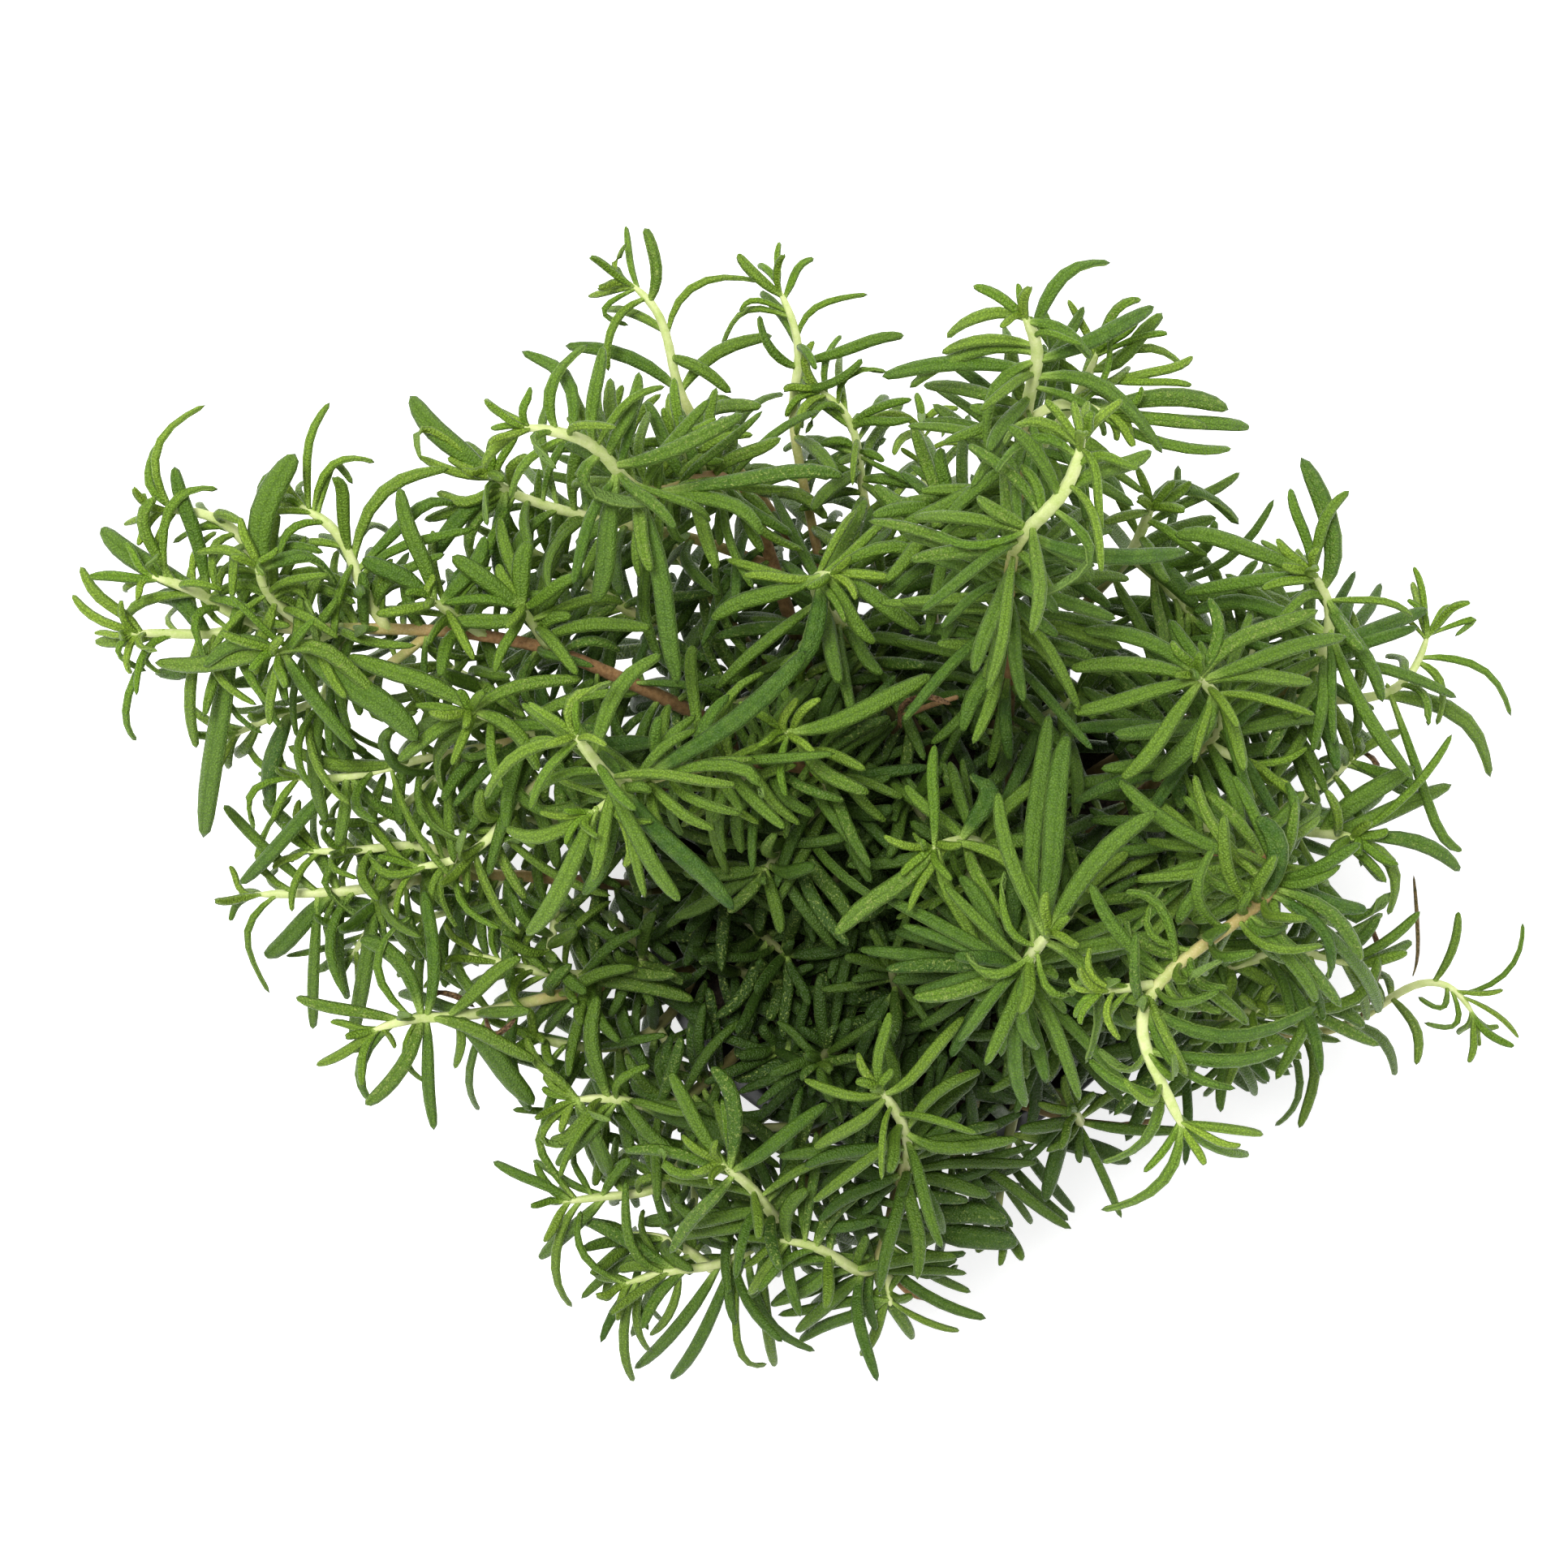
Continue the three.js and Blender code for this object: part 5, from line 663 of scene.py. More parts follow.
def stem_leaf(shoot, from_tip, turn, key, change, stance=0.0, size=1.0, free=0.0):
    """A leaf that grows by rule, in one of the ways of TRIES. free, from 0 to 1, lets it hang and
    stray more than the leaves of the solids do."""
    turn_by, stand_by, share = change
    distance = shoot.length - from_tip
    stem, normal, across = shoot.frame(distance)
    turn += (draw(shoot.index, key, 1) - 0.5) * (0.4 + 1.0 * free) + turn_by
    out = normal * math.cos(turn) + across * math.sin(turn)
    ageing = INNER_AGEING if shoot.index >= INNER_FIRST else 0.0
    ripeness = clamp((from_tip + ageing) / RIPE_REACH, 0, 1)
    stand = mix(0.55, 1.15, ripeness) + stand_by + stance
    stand += (draw(shoot.index, key, 2) - 0.5) * (0.35 + 0.6 * free)
    curl = mix(0.25, 1.2, shoot.youth) * (0.5 + draw(shoot.index, key, 3))
    curl += free * 0.7 * draw(shoot.index, key, 12)
    start = mix(0.42, 0.72, shoot.youth)
    length = share * size * LEAF_LENGTH * mix(start, 1, ripeness) * mix(1, 0.82, shoot.youth)
    length *= (0.86 + 0.36 * draw(shoot.index, key, 4)) * (1 + 0.22 * free)
    width = LEAF_WIDTH * mix(0.60, 0.94, ripeness) * mix(1, 0.72, shoot.youth)
    width *= 0.80 + 0.3 * draw(shoot.index, key, 5) - 0.17 * free
    first = stem * math.cos(stand) + out * math.sin(stand)
    second = stem * math.cos(stand + curl) + out * math.sin(stand + curl)
    second[2] -= 0.12 + 0.45 * free * draw(shoot.index, key, 13)
    root = shoot.point(distance)
    middle = root + first * length / 2
    leaf = Leaf(shoot.branch, root, middle, middle + unit(second) * length / 2,
                face_side(stem, first), width, LEAF_THICKNESS, distance, first)
    leaf.youth = clamp(mix(0.75, 0.05, ripeness) + (shoot.youth - 0.3) * 0.5, 0, 1)
    leaf.luck = draw(shoot.index, key, 7)
    leaf.roll = (draw(shoot.index, key, 8) - 0.5) * 0.7
    return leaf


def pair_leaf(shoot, joint, pair, change):
    turn = shoot.turn + joint * math.pi / 2 + pair * math.pi
    return stem_leaf(shoot, joint * JOINT_STEP + TIP_JOINT, turn, joint * 2 + pair, change)


# ---- Room for each leaf ----
LEAF_MARKS = (0, 0.35, 0.7, 1)
ROOM_ROWS = 60000


class Room:
    """Straight pieces of stems and leaves that have taken their place."""

    def __init__(self):
        self.count = 0
        self.start = np.zeros((ROOM_ROWS, 3))
        self.end = np.zeros((ROOM_ROWS, 3))
        self.side = np.zeros((ROOM_ROWS, 3))
        self.up = np.zeros((ROOM_ROWS, 3))
        self.half = np.zeros(ROOM_ROWS)
        self.thick = np.zeros(ROOM_ROWS)
        self.branch = np.zeros(ROOM_ROWS, int)
        self.inner = np.zeros(ROOM_ROWS, bool)
        self.names = {}

    def number(self, branch):
        return self.names.setdefault(branch, len(self.names))

    def take(self, pieces):
        for branch, start, end, side, up, half, thick, inner in pieces:
            i = self.count
            self.start[i] = start
            self.end[i] = end
            self.side[i] = side
            self.up[i] = up
            self.half[i] = half
            self.thick[i] = thick
            self.branch[i] = self.number(branch)
            self.inner[i] = inner
            self.count += 1

    def meets(self, piece, squeeze, gap):
        branch, start, end, side, up, half, thick, inner = piece
        n = self.count
        low = np.minimum(start, end)
        high = np.maximum(start, end)
        pad = (half + self.half[:n] + gap)[:, None]
        near = np.all((np.minimum(self.start[:n], self.end[:n]) <= high + pad)
                      & (np.maximum(self.start[:n], self.end[:n]) >= low - pad), axis=1)
        kin = self.branch[:n] == self.number(branch)
        near &= ~(kin & self.inner[:n]) if not inner else ~kin
        rows = np.nonzero(near)[0]
        if rows.size == 0:
            return False
        u = end - start
        v = self.end[rows] - self.start[rows]
        w = start - self.start[rows]
        uu = u.dot(u)
        uv = v @ u
        vv = np.einsum("ij,ij->i", v, v)
        uw = w @ u
        vw = np.einsum("ij,ij->i", v, w)
        spread = uu * vv - uv * uv
        safe = np.where(spread > 1e-9, spread, 1)
        s = np.where(spread > 1e-9, np.clip((uv * vw - vv * uw) / safe, 0, 1), 0)
        t = np.clip((uv * s + vw) / vv, 0, 1)
        s = np.clip((uv * t - uw) / uu, 0, 1)
        between = self.start[rows] + v * t[:, None] - (start + u * s[:, None])
        distance = np.sqrt(np.einsum("ij,ij->i", between, between))
        if (distance < 1e-6).any():
            return True
        between /= distance[:, None]
        reach = np.abs(between @ side) * half + np.abs(between @ up) * thick
        reach += np.abs(np.einsum("ij,ij->i", self.side[rows], between)) * self.half[rows]
        reach += np.abs(np.einsum("ij,ij->i", self.up[rows], between)) * self.thick[rows]
        return bool((distance < reach * squeeze + gap).any())


ROOM = Room()


def pieces_of_stem(shoot):
    pieces = []
    for i in range(len(shoot.line) - 1):
        radius = shoot.radius(shoot.run[i]) * SQUARE_STEM
        _, normal, across = shoot.frame((shoot.run[i] + shoot.run[i + 1]) / 2)
        pieces.append((shoot.branch, shoot.line[i], shoot.line[i + 1], normal, across, radius,
                       radius, False))
    return pieces


def pieces_of_leaf(leaf):
    pieces = []
    for i in range(3):
        middle = (LEAF_MARKS[i] + LEAF_MARKS[i + 1]) / 2
        side = leaf.sideways(middle)
        pieces.append((leaf.branch, leaf.bend(LEAF_MARKS[i]), leaf.bend(LEAF_MARKS[i + 1]), side,
                       np.cross(leaf.heading(middle), side), leaf.width / 2, leaf.thickness * 0.7,
                       i == 0))
    return pieces


# What leaves keep free: over the compost, over the rim, and beside it within and without.
SOIL_CLEAR = 3
RIM_CLEAR = 2
RIM_CLEAR_FROM = 46
RIM_CLEAR_OUT = 2.5


def in_pot_or_soil(point):
    radius = math.hypot(point[0], point[1])
    over_soil = point[2] < SOIL_LEVEL + SOIL_CLEAR and radius < RIM_DIAMETER / 2
    at_rim = (point[2] < POT_HEIGHT + RIM_CLEAR
              and RIM_CLEAR_FROM < radius < RIM_DIAMETER / 2 + RIM_CLEAR_OUT)
    return over_soil or at_rim


def settle(positions, squeeze=1.0, gap=LEAF_GAP):
    """The first of the positions with room, which it then takes, or None."""
    for leaf in positions:
        pieces = pieces_of_leaf(leaf)
        if not any(in_pot_or_soil(piece[2]) or ROOM.meets(piece, squeeze, gap) for piece in pieces):
            ROOM.take(pieces)
            return leaf
    return None


# ---- Growth ----
def grow_plan_leaves(shoot):
    """The leaves with a known place, and the rows of those that found no room."""
    leaves = []
    left_over = []
    for i, row in enumerate(PLAN_LEAVES.get(shoot.name, []), 500):
        leaf = settle(plan_leaf(shoot, row, change) for change in PLAN_SHIFTS)
        if leaf is None:
            left_over.append(row)
        else:
            leaf.luck = draw(shoot.index, i, 7)
            leaves.append(leaf)
    return leaves, left_over


def grow_traced_leaf(shoot, row):
    """A leaf with a known place that may touch its neighbours."""
    leaf = settle((plan_leaf(shoot, row, change) for change in WIDE_SHIFTS), TRACED_SQUEEZE, 0.0)
    if leaf is None:
        return []
    leaf.luck = draw(shoot.index, round(row[1] * 10), 7)
    return [leaf]


def foot_in_plan(shoots, branch, x, y):
    """Number of the branch's shoot that passes nearest to x and y in the plan, and how far back
    from its tip."""
    best = None
    for i, shoot in enumerate(shoots):
        if shoot.branch == branch:
            for distance in np.arange(max(shoot.length - shoot.bearing - 20, 1), shoot.length, 1):
                point = shoot.point(distance)
                seen = EYE + (point - EYE) * (EYE[2] - PLAN_HEIGHT) / (EYE[2] - point[2])
                miss = math.hypot(seen[0] - x, seen[1] - y)
                if best is None or miss < best[0]:
                    best = (miss, i, shoot.length - distance - 1)
    return best[1], best[2]


def grow_pair_leaves(shoot, planned):
    """Crossed pairs, as in the solids, without those that a leaf with a known place stands for."""
    leaves = []
    for joint in range(shoot.joints):
        for pair in (0, 1):
            first = pair_leaf(shoot, joint, pair, TRIES[0])
            if any(abs(other.distance - first.distance) < JOINT_STEP * 0.6
                   and other.way.dot(first.way) > math.cos(0.8) for other in planned):
                continue
            leaf = settle(pair_leaf(shoot, joint, pair, change) for change in TRIES)
            if leaf is not None:
                leaves.append(leaf)
    return leaves


# Leaves that the solids leave out: at joints between theirs, at the very tip, small ones in the
# axils, and sparse ones on the older wood below. They may touch, as leaves do.
FILL_SQUEEZE = 0.72
# Where the draws of each kind begin.
BETWEEN_DRAWS = 1000
TIP_DRAWS = 1400
AXIL_DRAWS = 1600
LOW_DRAWS = 2200
# How many grow: between the joints of old and of young shoots near a tip whose leaves are
# given, in the axils, on the wood below, and on a sparse shoot as a share of the others.
BETWEEN_OLD = 0.8
BETWEEN_YOUNG = 0.4
AXIL_CHANCE = 0.6
LOW_CHANCE = 0.8
SPARSE_SHARE = 0.15
# From this many placed leaves on a tip counts as placed one by one, and no axil leaf grows so near it.
PLACED_TIP = 3
AXIL_START = 24
# The two rings at a tip: distance from it, how much less they stand from the stem, and their size.
TIP_RINGS = [(1.6, -0.15, 0.85), (0.4, -0.3, 0.62)]
# On the wood below: where leaves start and end, how high over the compost they stay, and the step.
LOW_START = 4
LOW_CLEAR = 8
LOW_STEP = 4.6


def grow_fill_leaves(shoot):
    leaves = []

    def add(positions, dim=0.0):
        leaf = settle(positions, FILL_SQUEEZE, 0.0)
        if leaf is not None:
            leaf.youth = clamp(leaf.youth - dim, 0, 1)
            leaves.append(leaf)

    if shoot.bearing <= 0:
        return leaves
    third = JOINT_STEP / 3
    steps = math.floor((shoot.bearing - TIP_JOINT) / third) + 1
    traced = len(PLAN_LEAVES.get(shoot.name, [])) >= PLACED_TIP
    fullness = SPARSE_SHARE if shoot.name in SPARSE_SHOOTS else 1.0
    for step in range(steps):
        from_tip = step * third + TIP_JOINT
        near_tip = traced and from_tip < RIPE_REACH
        keep = mix(BETWEEN_OLD, BETWEEN_YOUNG, shoot.youth) if near_tip else 1.0
        for pair in (0, 1):
            key = BETWEEN_DRAWS + step * 2 + pair
            if step % 3 and draw(shoot.index, key, 14) < keep * fullness:
                turn = shoot.turn + step * math.pi / 2 + pair * math.pi
                add(stem_leaf(shoot, from_tip, turn, key, change, free=1) for change in TRIES)
    tip_rings = [] if shoot.name == BARE_TIP else TIP_RINGS
    for ring, (from_tip, stance, size) in enumerate(tip_rings):
        for pair in (0, 1):
            turn = shoot.turn + (ring + 1) * math.pi / 2 + pair * math.pi + 0.3
            key = TIP_DRAWS + ring * 2 + pair
            add(stem_leaf(shoot, from_tip, turn, key, change, stance, size) for change in TRIES)
    for step in range(2, steps):
        chance = 0.0 if traced and step * third < AXIL_START else AXIL_CHANCE * fullness
        for pair in (0, 1):
            key = AXIL_DRAWS + step * 2 + pair
            if draw(shoot.index, key, 9) < chance:
                turn = shoot.turn + step * math.pi / 2 + pair * math.pi + 0.5 * (1 - 2 * pair)
                size = 0.35 + 0.55 * draw(shoot.index, key, 6)
                from_tip = step * third + TIP_JOINT - 1.2
                add(stem_leaf(shoot, from_tip, turn, key, change, -0.35, size, 0.6)
                    for change in TRIES)
    low = shoot.bearing + LOW_START
    key = LOW_DRAWS
    while low < shoot.length - LOW_START:
        if shoot.point(shoot.length - low)[2] < SOIL_LEVEL + LOW_CLEAR:
            break
        for pair in (0, 1):
            key += 1
            if draw(shoot.index, key, 9) < LOW_CHANCE:
                turn = shoot.turn + (key // 2) * math.pi / 2 + pair * math.pi
                add((stem_leaf(shoot, low, turn, key, change, 0.15, 0.95, 1) for change in TRIES),
                    0.5)
        low += LOW_STEP
    return leaves


# Number that single leaves have in the draws in place of a shoot's, and their thickness.
SINGLE_DRAWS = 900
SINGLE_THICKNESS = 0.9


def single_leaf(row, index):
    branch, root, middle, tip, width, dry = row
    root = placed(*root)
    tip = placed(*tip)
    middle = placed(*middle) * 2 - root * 0.5 - tip * 0.5
    way = unit(middle - root)
    leaf = Leaf(branch, root, middle, tip, face_side(np.array([0, 0, 1.0]), way), width,
                SINGLE_THICKNESS, 0.0, way)
    leaf.dry = dry
    leaf.luck = draw(SINGLE_DRAWS, index, 7)
    return leaf


# ---- Meshes ----
def make_object(name, points, faces, node, material, attributes=None, smooth=True):
    mesh = bpy.data.meshes.new(name)
    mesh.from_pydata((np.asarray(points) * 0.001).tolist(), [], faces)
    mesh.validate()
    if smooth:
        mesh.shade_smooth()
    for label, values in (attributes or {}).items():
        layer = mesh.attributes.new(label, "FLOAT_COLOR", "POINT")
        layer.data.foreach_set("color", np.asarray(values, dtype=np.float32).ravel())
    piece = bpy.data.objects.new(name, mesh)
    bpy.context.scene.collection.objects.link(piece)
    piece.data.materials.append(material)
    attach(piece, "root")
    if node:
        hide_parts(node)
    return piece


def closed_loft_faces(start, rings, sides, first, last):
    """Faces of a loft whose ends close on the points numbered first and last."""
    faces = []
    for ring in range(rings - 1):
        a = start + ring * sides
        for side in range(sides):
            b = (side + 1) % sides
            faces.append((a + side, a + b, a + sides + b, a + sides + side))
    for side in range(sides):
        b = (side + 1) % sides
        faces.append((start + b, start + side, first))
        end = start + (rings - 1) * sides
        faces.append((end + side, end + b, last))
    return faces


# Leaf section: across and up, as shares of half the width and of the thickness, with how much of
# the margin (painted shade on the shoulders, and a pale edge that is partly painted highlight), the
# groove (painted shade) and the felted underside each point has.
LEAF_SECTION = [
    (1.00, -0.36, 1.0, 0.0, 0.2), (0.92, -0.04, 0.7, 0.0, 0.0), (0.70, 0.28, 0.0, 0.0, 0.0),
    (0.28, 0.47, 0.0, 0.0, 0.0), (0.00, 0.36, 0.0, 1.0, 0.0), (-0.28, 0.47, 0.0, 0.0, 0.0),
    (-0.70, 0.28, 0.0, 0.0, 0.0), (-0.92, -0.04, 0.7, 0.0, 0.0), (-1.00, -0.36, 1.0, 0.0, 0.2),
    (-0.66, -0.52, 0.6, 0.0, 1.0), (0.00, -0.22, 0.0, 0.0, 1.0), (0.66, -0.52, 0.6, 0.0, 1.0),
]
# Stations along a leaf, with the share of its width there: a narrow foot, even sides, a blunt tip.
LEAF_STATIONS = [(-0.02, 0.36), (0.06, 0.50), (0.16, 0.74), (0.30, 0.92), (0.46, 1.0), (0.62, 1.0),
                 (0.76, 0.94), (0.88, 0.80), (0.96, 0.53)]
# Below this height leaves and stems are darkened by painted shade, with some real ageing, fully so at the
# depth under it.
AGE_SHADE_HEIGHT = 175.0
AGE_SHADE_DEPTH = 70.0
# The painted shade is strongest this near to the pot's axis, and falls off over the band round that.
INSIDE_REACH = 45
INSIDE_BAND = 35
INSIDE_SHADE = 1.5
SHADE_FALL = 1.05


def age_and_painted_shade_at(points):
    """How dark what grows at each point is made by painted shade, with some real ageing: most so low down
    inside the plant.
    """
    depth = np.clip((AGE_SHADE_HEIGHT - points[:, 2]) / AGE_SHADE_DEPTH, 0, 1)
    outside = (np.hypot(points[:, 0], points[:, 1]) - INSIDE_REACH) / INSIDE_BAND
    return np.clip(depth * (INSIDE_SHADE - SHADE_FALL * np.clip(outside, 0, 1)), 0, 1)


def leaf_mesh(leaves):
    section = np.array(LEAF_SECTION)
    sides = len(section)
    roots = np.array([leaf.root for leaf in leaves])
    middles = np.array([leaf.middle for leaf in leaves])
    tips = np.array([leaf.tip for leaf in leaves])
    side0 = np.array([leaf.side for leaf in leaves])
    widths = np.array([leaf.width for leaf in leaves])
    thick = np.minimum(1.7, 0.6 + widths * 0.27)
    rolls = np.array([leaf.roll for leaf in leaves])
    luck = np.array([leaf.luck for leaf in leaves])
    waves = (luck * 7.3) % 1 - 0.5
    points = []
    form = []
    for t, share in LEAF_STATIONS:
        rest = 1 - t
        centre = roots * rest * rest + middles * 2 * rest * t + tips * t * t
        along = (middles - roots) * rest + (tips - middles) * t
        along /= np.linalg.norm(along, axis=1)[:, None]
        side = side0 - along * np.einsum("ij,ij->i", side0, along)[:, None]
        side /= np.linalg.norm(side, axis=1)[:, None]
        up = np.cross(along, side)
        turn = rolls * (0.35 + 0.65 * t)
        side, up = (side * np.cos(turn)[:, None] + up * np.sin(turn)[:, None],
                    up * np.cos(turn)[:, None] - side * np.sin(turn)[:, None])
        sway = np.sin(t * math.pi) * (luck - 0.5) * widths * 0.7
        sway += np.sin(t * math.pi * 2) * waves * widths * 0.35
        centre = centre + side * sway[:, None]
        centre = centre + up * (np.sin(t * math.pi * 2) * waves * 0.9)[:, None]
        half = widths * share / 2
        lift = thick * (0.75 + 0.25 * share)
        ring = (centre[:, None, :]
                + side[:, None, :] * (section[None, :, 0] * half[:, None])[:, :, None]
                + up[:, None, :] * (section[None, :, 1] * lift[:, None])[:, :, None])
        points.append(ring)
        values = np.zeros((len(leaves), sides, 4))
        values[:, :, 0] = section[None, :, 2]
        values[:, :, 1] = section[None, :, 3]
        values[:, :, 2] = t
        values[:, :, 3] = section[None, :, 4]
        form.append(values)
    feet = roots - (middles - roots) * 0.06
    rings = np.concatenate([p[:, None] for p in points], axis=1).reshape(len(leaves), -1, 3)
    all_points = np.concatenate([rings, feet[:, None], tips[:, None]], axis=1)
    forms = np.concatenate([f[:, None] for f in form], axis=1).reshape(len(leaves), -1, 4)
    # The two closing points: the foot has none of the values, the tip half of the margin's.
    closing = np.zeros((len(leaves), 2, 4))
    closing[:, 1, 2] = 1
    closing[:, 1, 0] = 0.5
    forms = np.concatenate([forms, closing], axis=1)
    per = all_points.shape[1]
    kind = np.zeros((len(leaves), per, 4))
    kind[:, :, 0] = np.array([leaf.youth for leaf in leaves])[:, None]
    kind[:, :, 1] = luck[:, None]
    kind[:, :, 2] = np.array([leaf.dry for leaf in leaves])[:, None]
    # The fourth value is painted shade, with some real ageing, darkest low inside the plant.
    kind[:, :, 3] = age_and_painted_shade_at(middles)[:, None]
    faces = []
    for i in range(len(leaves)):
        start = i * per
        foot = start + per - 2
        faces += closed_loft_faces(start, len(LEAF_STATIONS), sides, foot, foot + 1)
    return all_points.reshape(-1, 3), faces, forms.reshape(-1, 4), kind.reshape(-1, 4)


STEM_RING = 12
# How much less a square stem is across its sides than across its corners.
SQUARE_DEPTH = 0.12
# Where a stem's bark begins, measured from its tip, and over what length it closes.
BARK_START = 20
BARK_REACH = 50


def stem_rings(points, radii, squares, turn, normal):
    """Rings round the points, each as square as its share says."""
    rings = []
    count = len(points)
    for i in range(count):
        ahead = points[min(i + 1, count - 1)] - points[max(i - 1, 0)]
        tangent = unit(ahead)
        normal = unit(normal - tangent * normal.dot(tangent))
        across = np.cross(tangent, normal)
        ring = []
        for side in range(STEM_RING):
            angle = 2 * math.pi * side / STEM_RING
            radius = radii[i] * (1 - squares[i] * SQUARE_DEPTH * math.cos(4 * angle))
            way = normal * math.cos(angle + turn) + across * math.sin(angle + turn)
            ring.append(points[i] + way * radius)
        rings.append(ring)
    return rings


def tube_from(shoot_index, points, radii, ages, squares, turn, normal):
    """Points, faces and values of a stem along the points, closed at both ends."""
    rings = stem_rings(points, radii, squares, turn, normal)
    flat = [point for ring in rings for point in ring]
    foot = points[0] - unit(points[1] - points[0]) * radii[0] * 0.4
    end = points[-1] + unit(points[-1] - points[-2]) * radii[-1] * 0.9
    faces = closed_loft_faces(0, len(rings), STEM_RING, len(flat), len(flat) + 1)
    luck = draw(shoot_index, 3, 11)
    # Painted shade, with some real ageing, at each point of the stem.
    shade = age_and_painted_shade_at(np.array(points))
    values = [(ages[i], luck, i / len(rings), shade[i]) for i in range(len(rings))
              for _ in range(STEM_RING)]
    values += [(ages[0], luck, 0, shade[0]), (ages[-1], luck, 1, shade[-1])]
    return flat + [foot, end], faces, values


def stem_tube(shoot):
    """A shoot's stem: square and green at the tip, round and woody below, swollen at its joints."""
    distances, points = shoot.soft_line()
    radii = []
    ages = []
    squares = []
    for distance in distances:
        from_tip = shoot.length - distance
        joint = (from_tip - TIP_JOINT) / (JOINT_STEP / 3)
        offset = (joint - round(joint)) * JOINT_STEP / 3
        swelling = 0.07 * math.exp(-(offset / 0.8) ** 2)
        taper = clamp(0.5 + from_tip / 9, 0, 1)
        age = clamp((from_tip - BARK_START) / BARK_REACH, 0, 1) if shoot.bearing > 0 else 1.0
        radii.append(shoot.radius(distance) * mix(0.80, 0.68, age) * (1 + swelling) * taper)
        ages.append(age)
        squares.append(1 - age)
    return tube_from(shoot.index, points, radii, ages, squares, shoot.turn, shoot.normals[0])


def joined(tubes):
    """Points, faces and values of several tubes as one mesh."""
    points = []
    faces = []
    values = []
    for tube_points, tube_faces, tube_values in tubes:
        start = len(points)
        points += tube_points
        faces += [tuple(start + corner for corner in face) for face in tube_faces]
        values += tube_values
    return points, faces, values


# ---- Materials ----
class Nodes:
    def __init__(self, name):
        self.material = bpy.data.materials.new(name)
        self.material.use_nodes = True
        self.tree = self.material.node_tree
        self.skin = self.tree.nodes["Principled BSDF"]

    def add(self, kind, inputs=None, **settings):
        node = self.tree.nodes.new(kind)
        for key, value in settings.items():
            setattr(node, key, value)
        for key, value in (inputs or {}).items():
            self.put(node, key, value)
        return node

    def put(self, node, key, value):
        if isinstance(value, bpy.types.NodeSocket):
            self.tree.links.new(value, node.inputs[key])
        elif isinstance(value, tuple) and len(value) == 3 and node.inputs[key].type == "RGBA":
            node.inputs[key].default_value = (*value, 1)
        else:
            node.inputs[key].default_value = value

    def attribute(self, label):
        node = self.add("ShaderNodeAttribute", attribute_name=label)
        parts = self.add("ShaderNodeSeparateColor", {"Color": node.outputs["Color"]})
        return (*[parts.outputs[i] for i in range(3)], node.outputs["Alpha"])

    def math(self, operation, a, b):
        return self.add("ShaderNodeMath", {0: a, 1: b}, operation=operation).outputs[0]

    def ramp(self, value, low, high, out_low=0.0, out_high=1.0):
        node = self.add("ShaderNodeMapRange", {"Value": value, "From Min": low, "From Max": high,
                                               "To Min": out_low, "To Max": out_high})
        return node.outputs["Result"]

    def blend(self, share, a, b):
        # The mix node's sockets for colours have no names of their own: share, A and B.
        node = self.add("ShaderNodeMix", data_type="RGBA")
        for socket, value in ((0, share), (6, a), (7, b)):
            self.put(node, socket, value)
        return node.outputs[2]

    def noise(self, scale, detail, roughness=0.5, vector=None):
        place = vector or self.place()
        node = self.add("ShaderNodeTexNoise", {"Vector": place, "Scale": scale, "Detail": detail,
                                               "Roughness": roughness})
        return node.outputs["Fac"]

    def cells(self, scale):
        node = self.add("ShaderNodeTexVoronoi", {"Vector": self.place(), "Scale": scale})
        return node.outputs["Distance"]

    def place(self):
        return self.add("ShaderNodeTexCoord").outputs["Object"]

    def bump(self, height, strength, distance):
        inputs = {"Height": height, "Strength": strength, "Distance": distance}
        return self.add("ShaderNodeBump", inputs).outputs["Normal"]


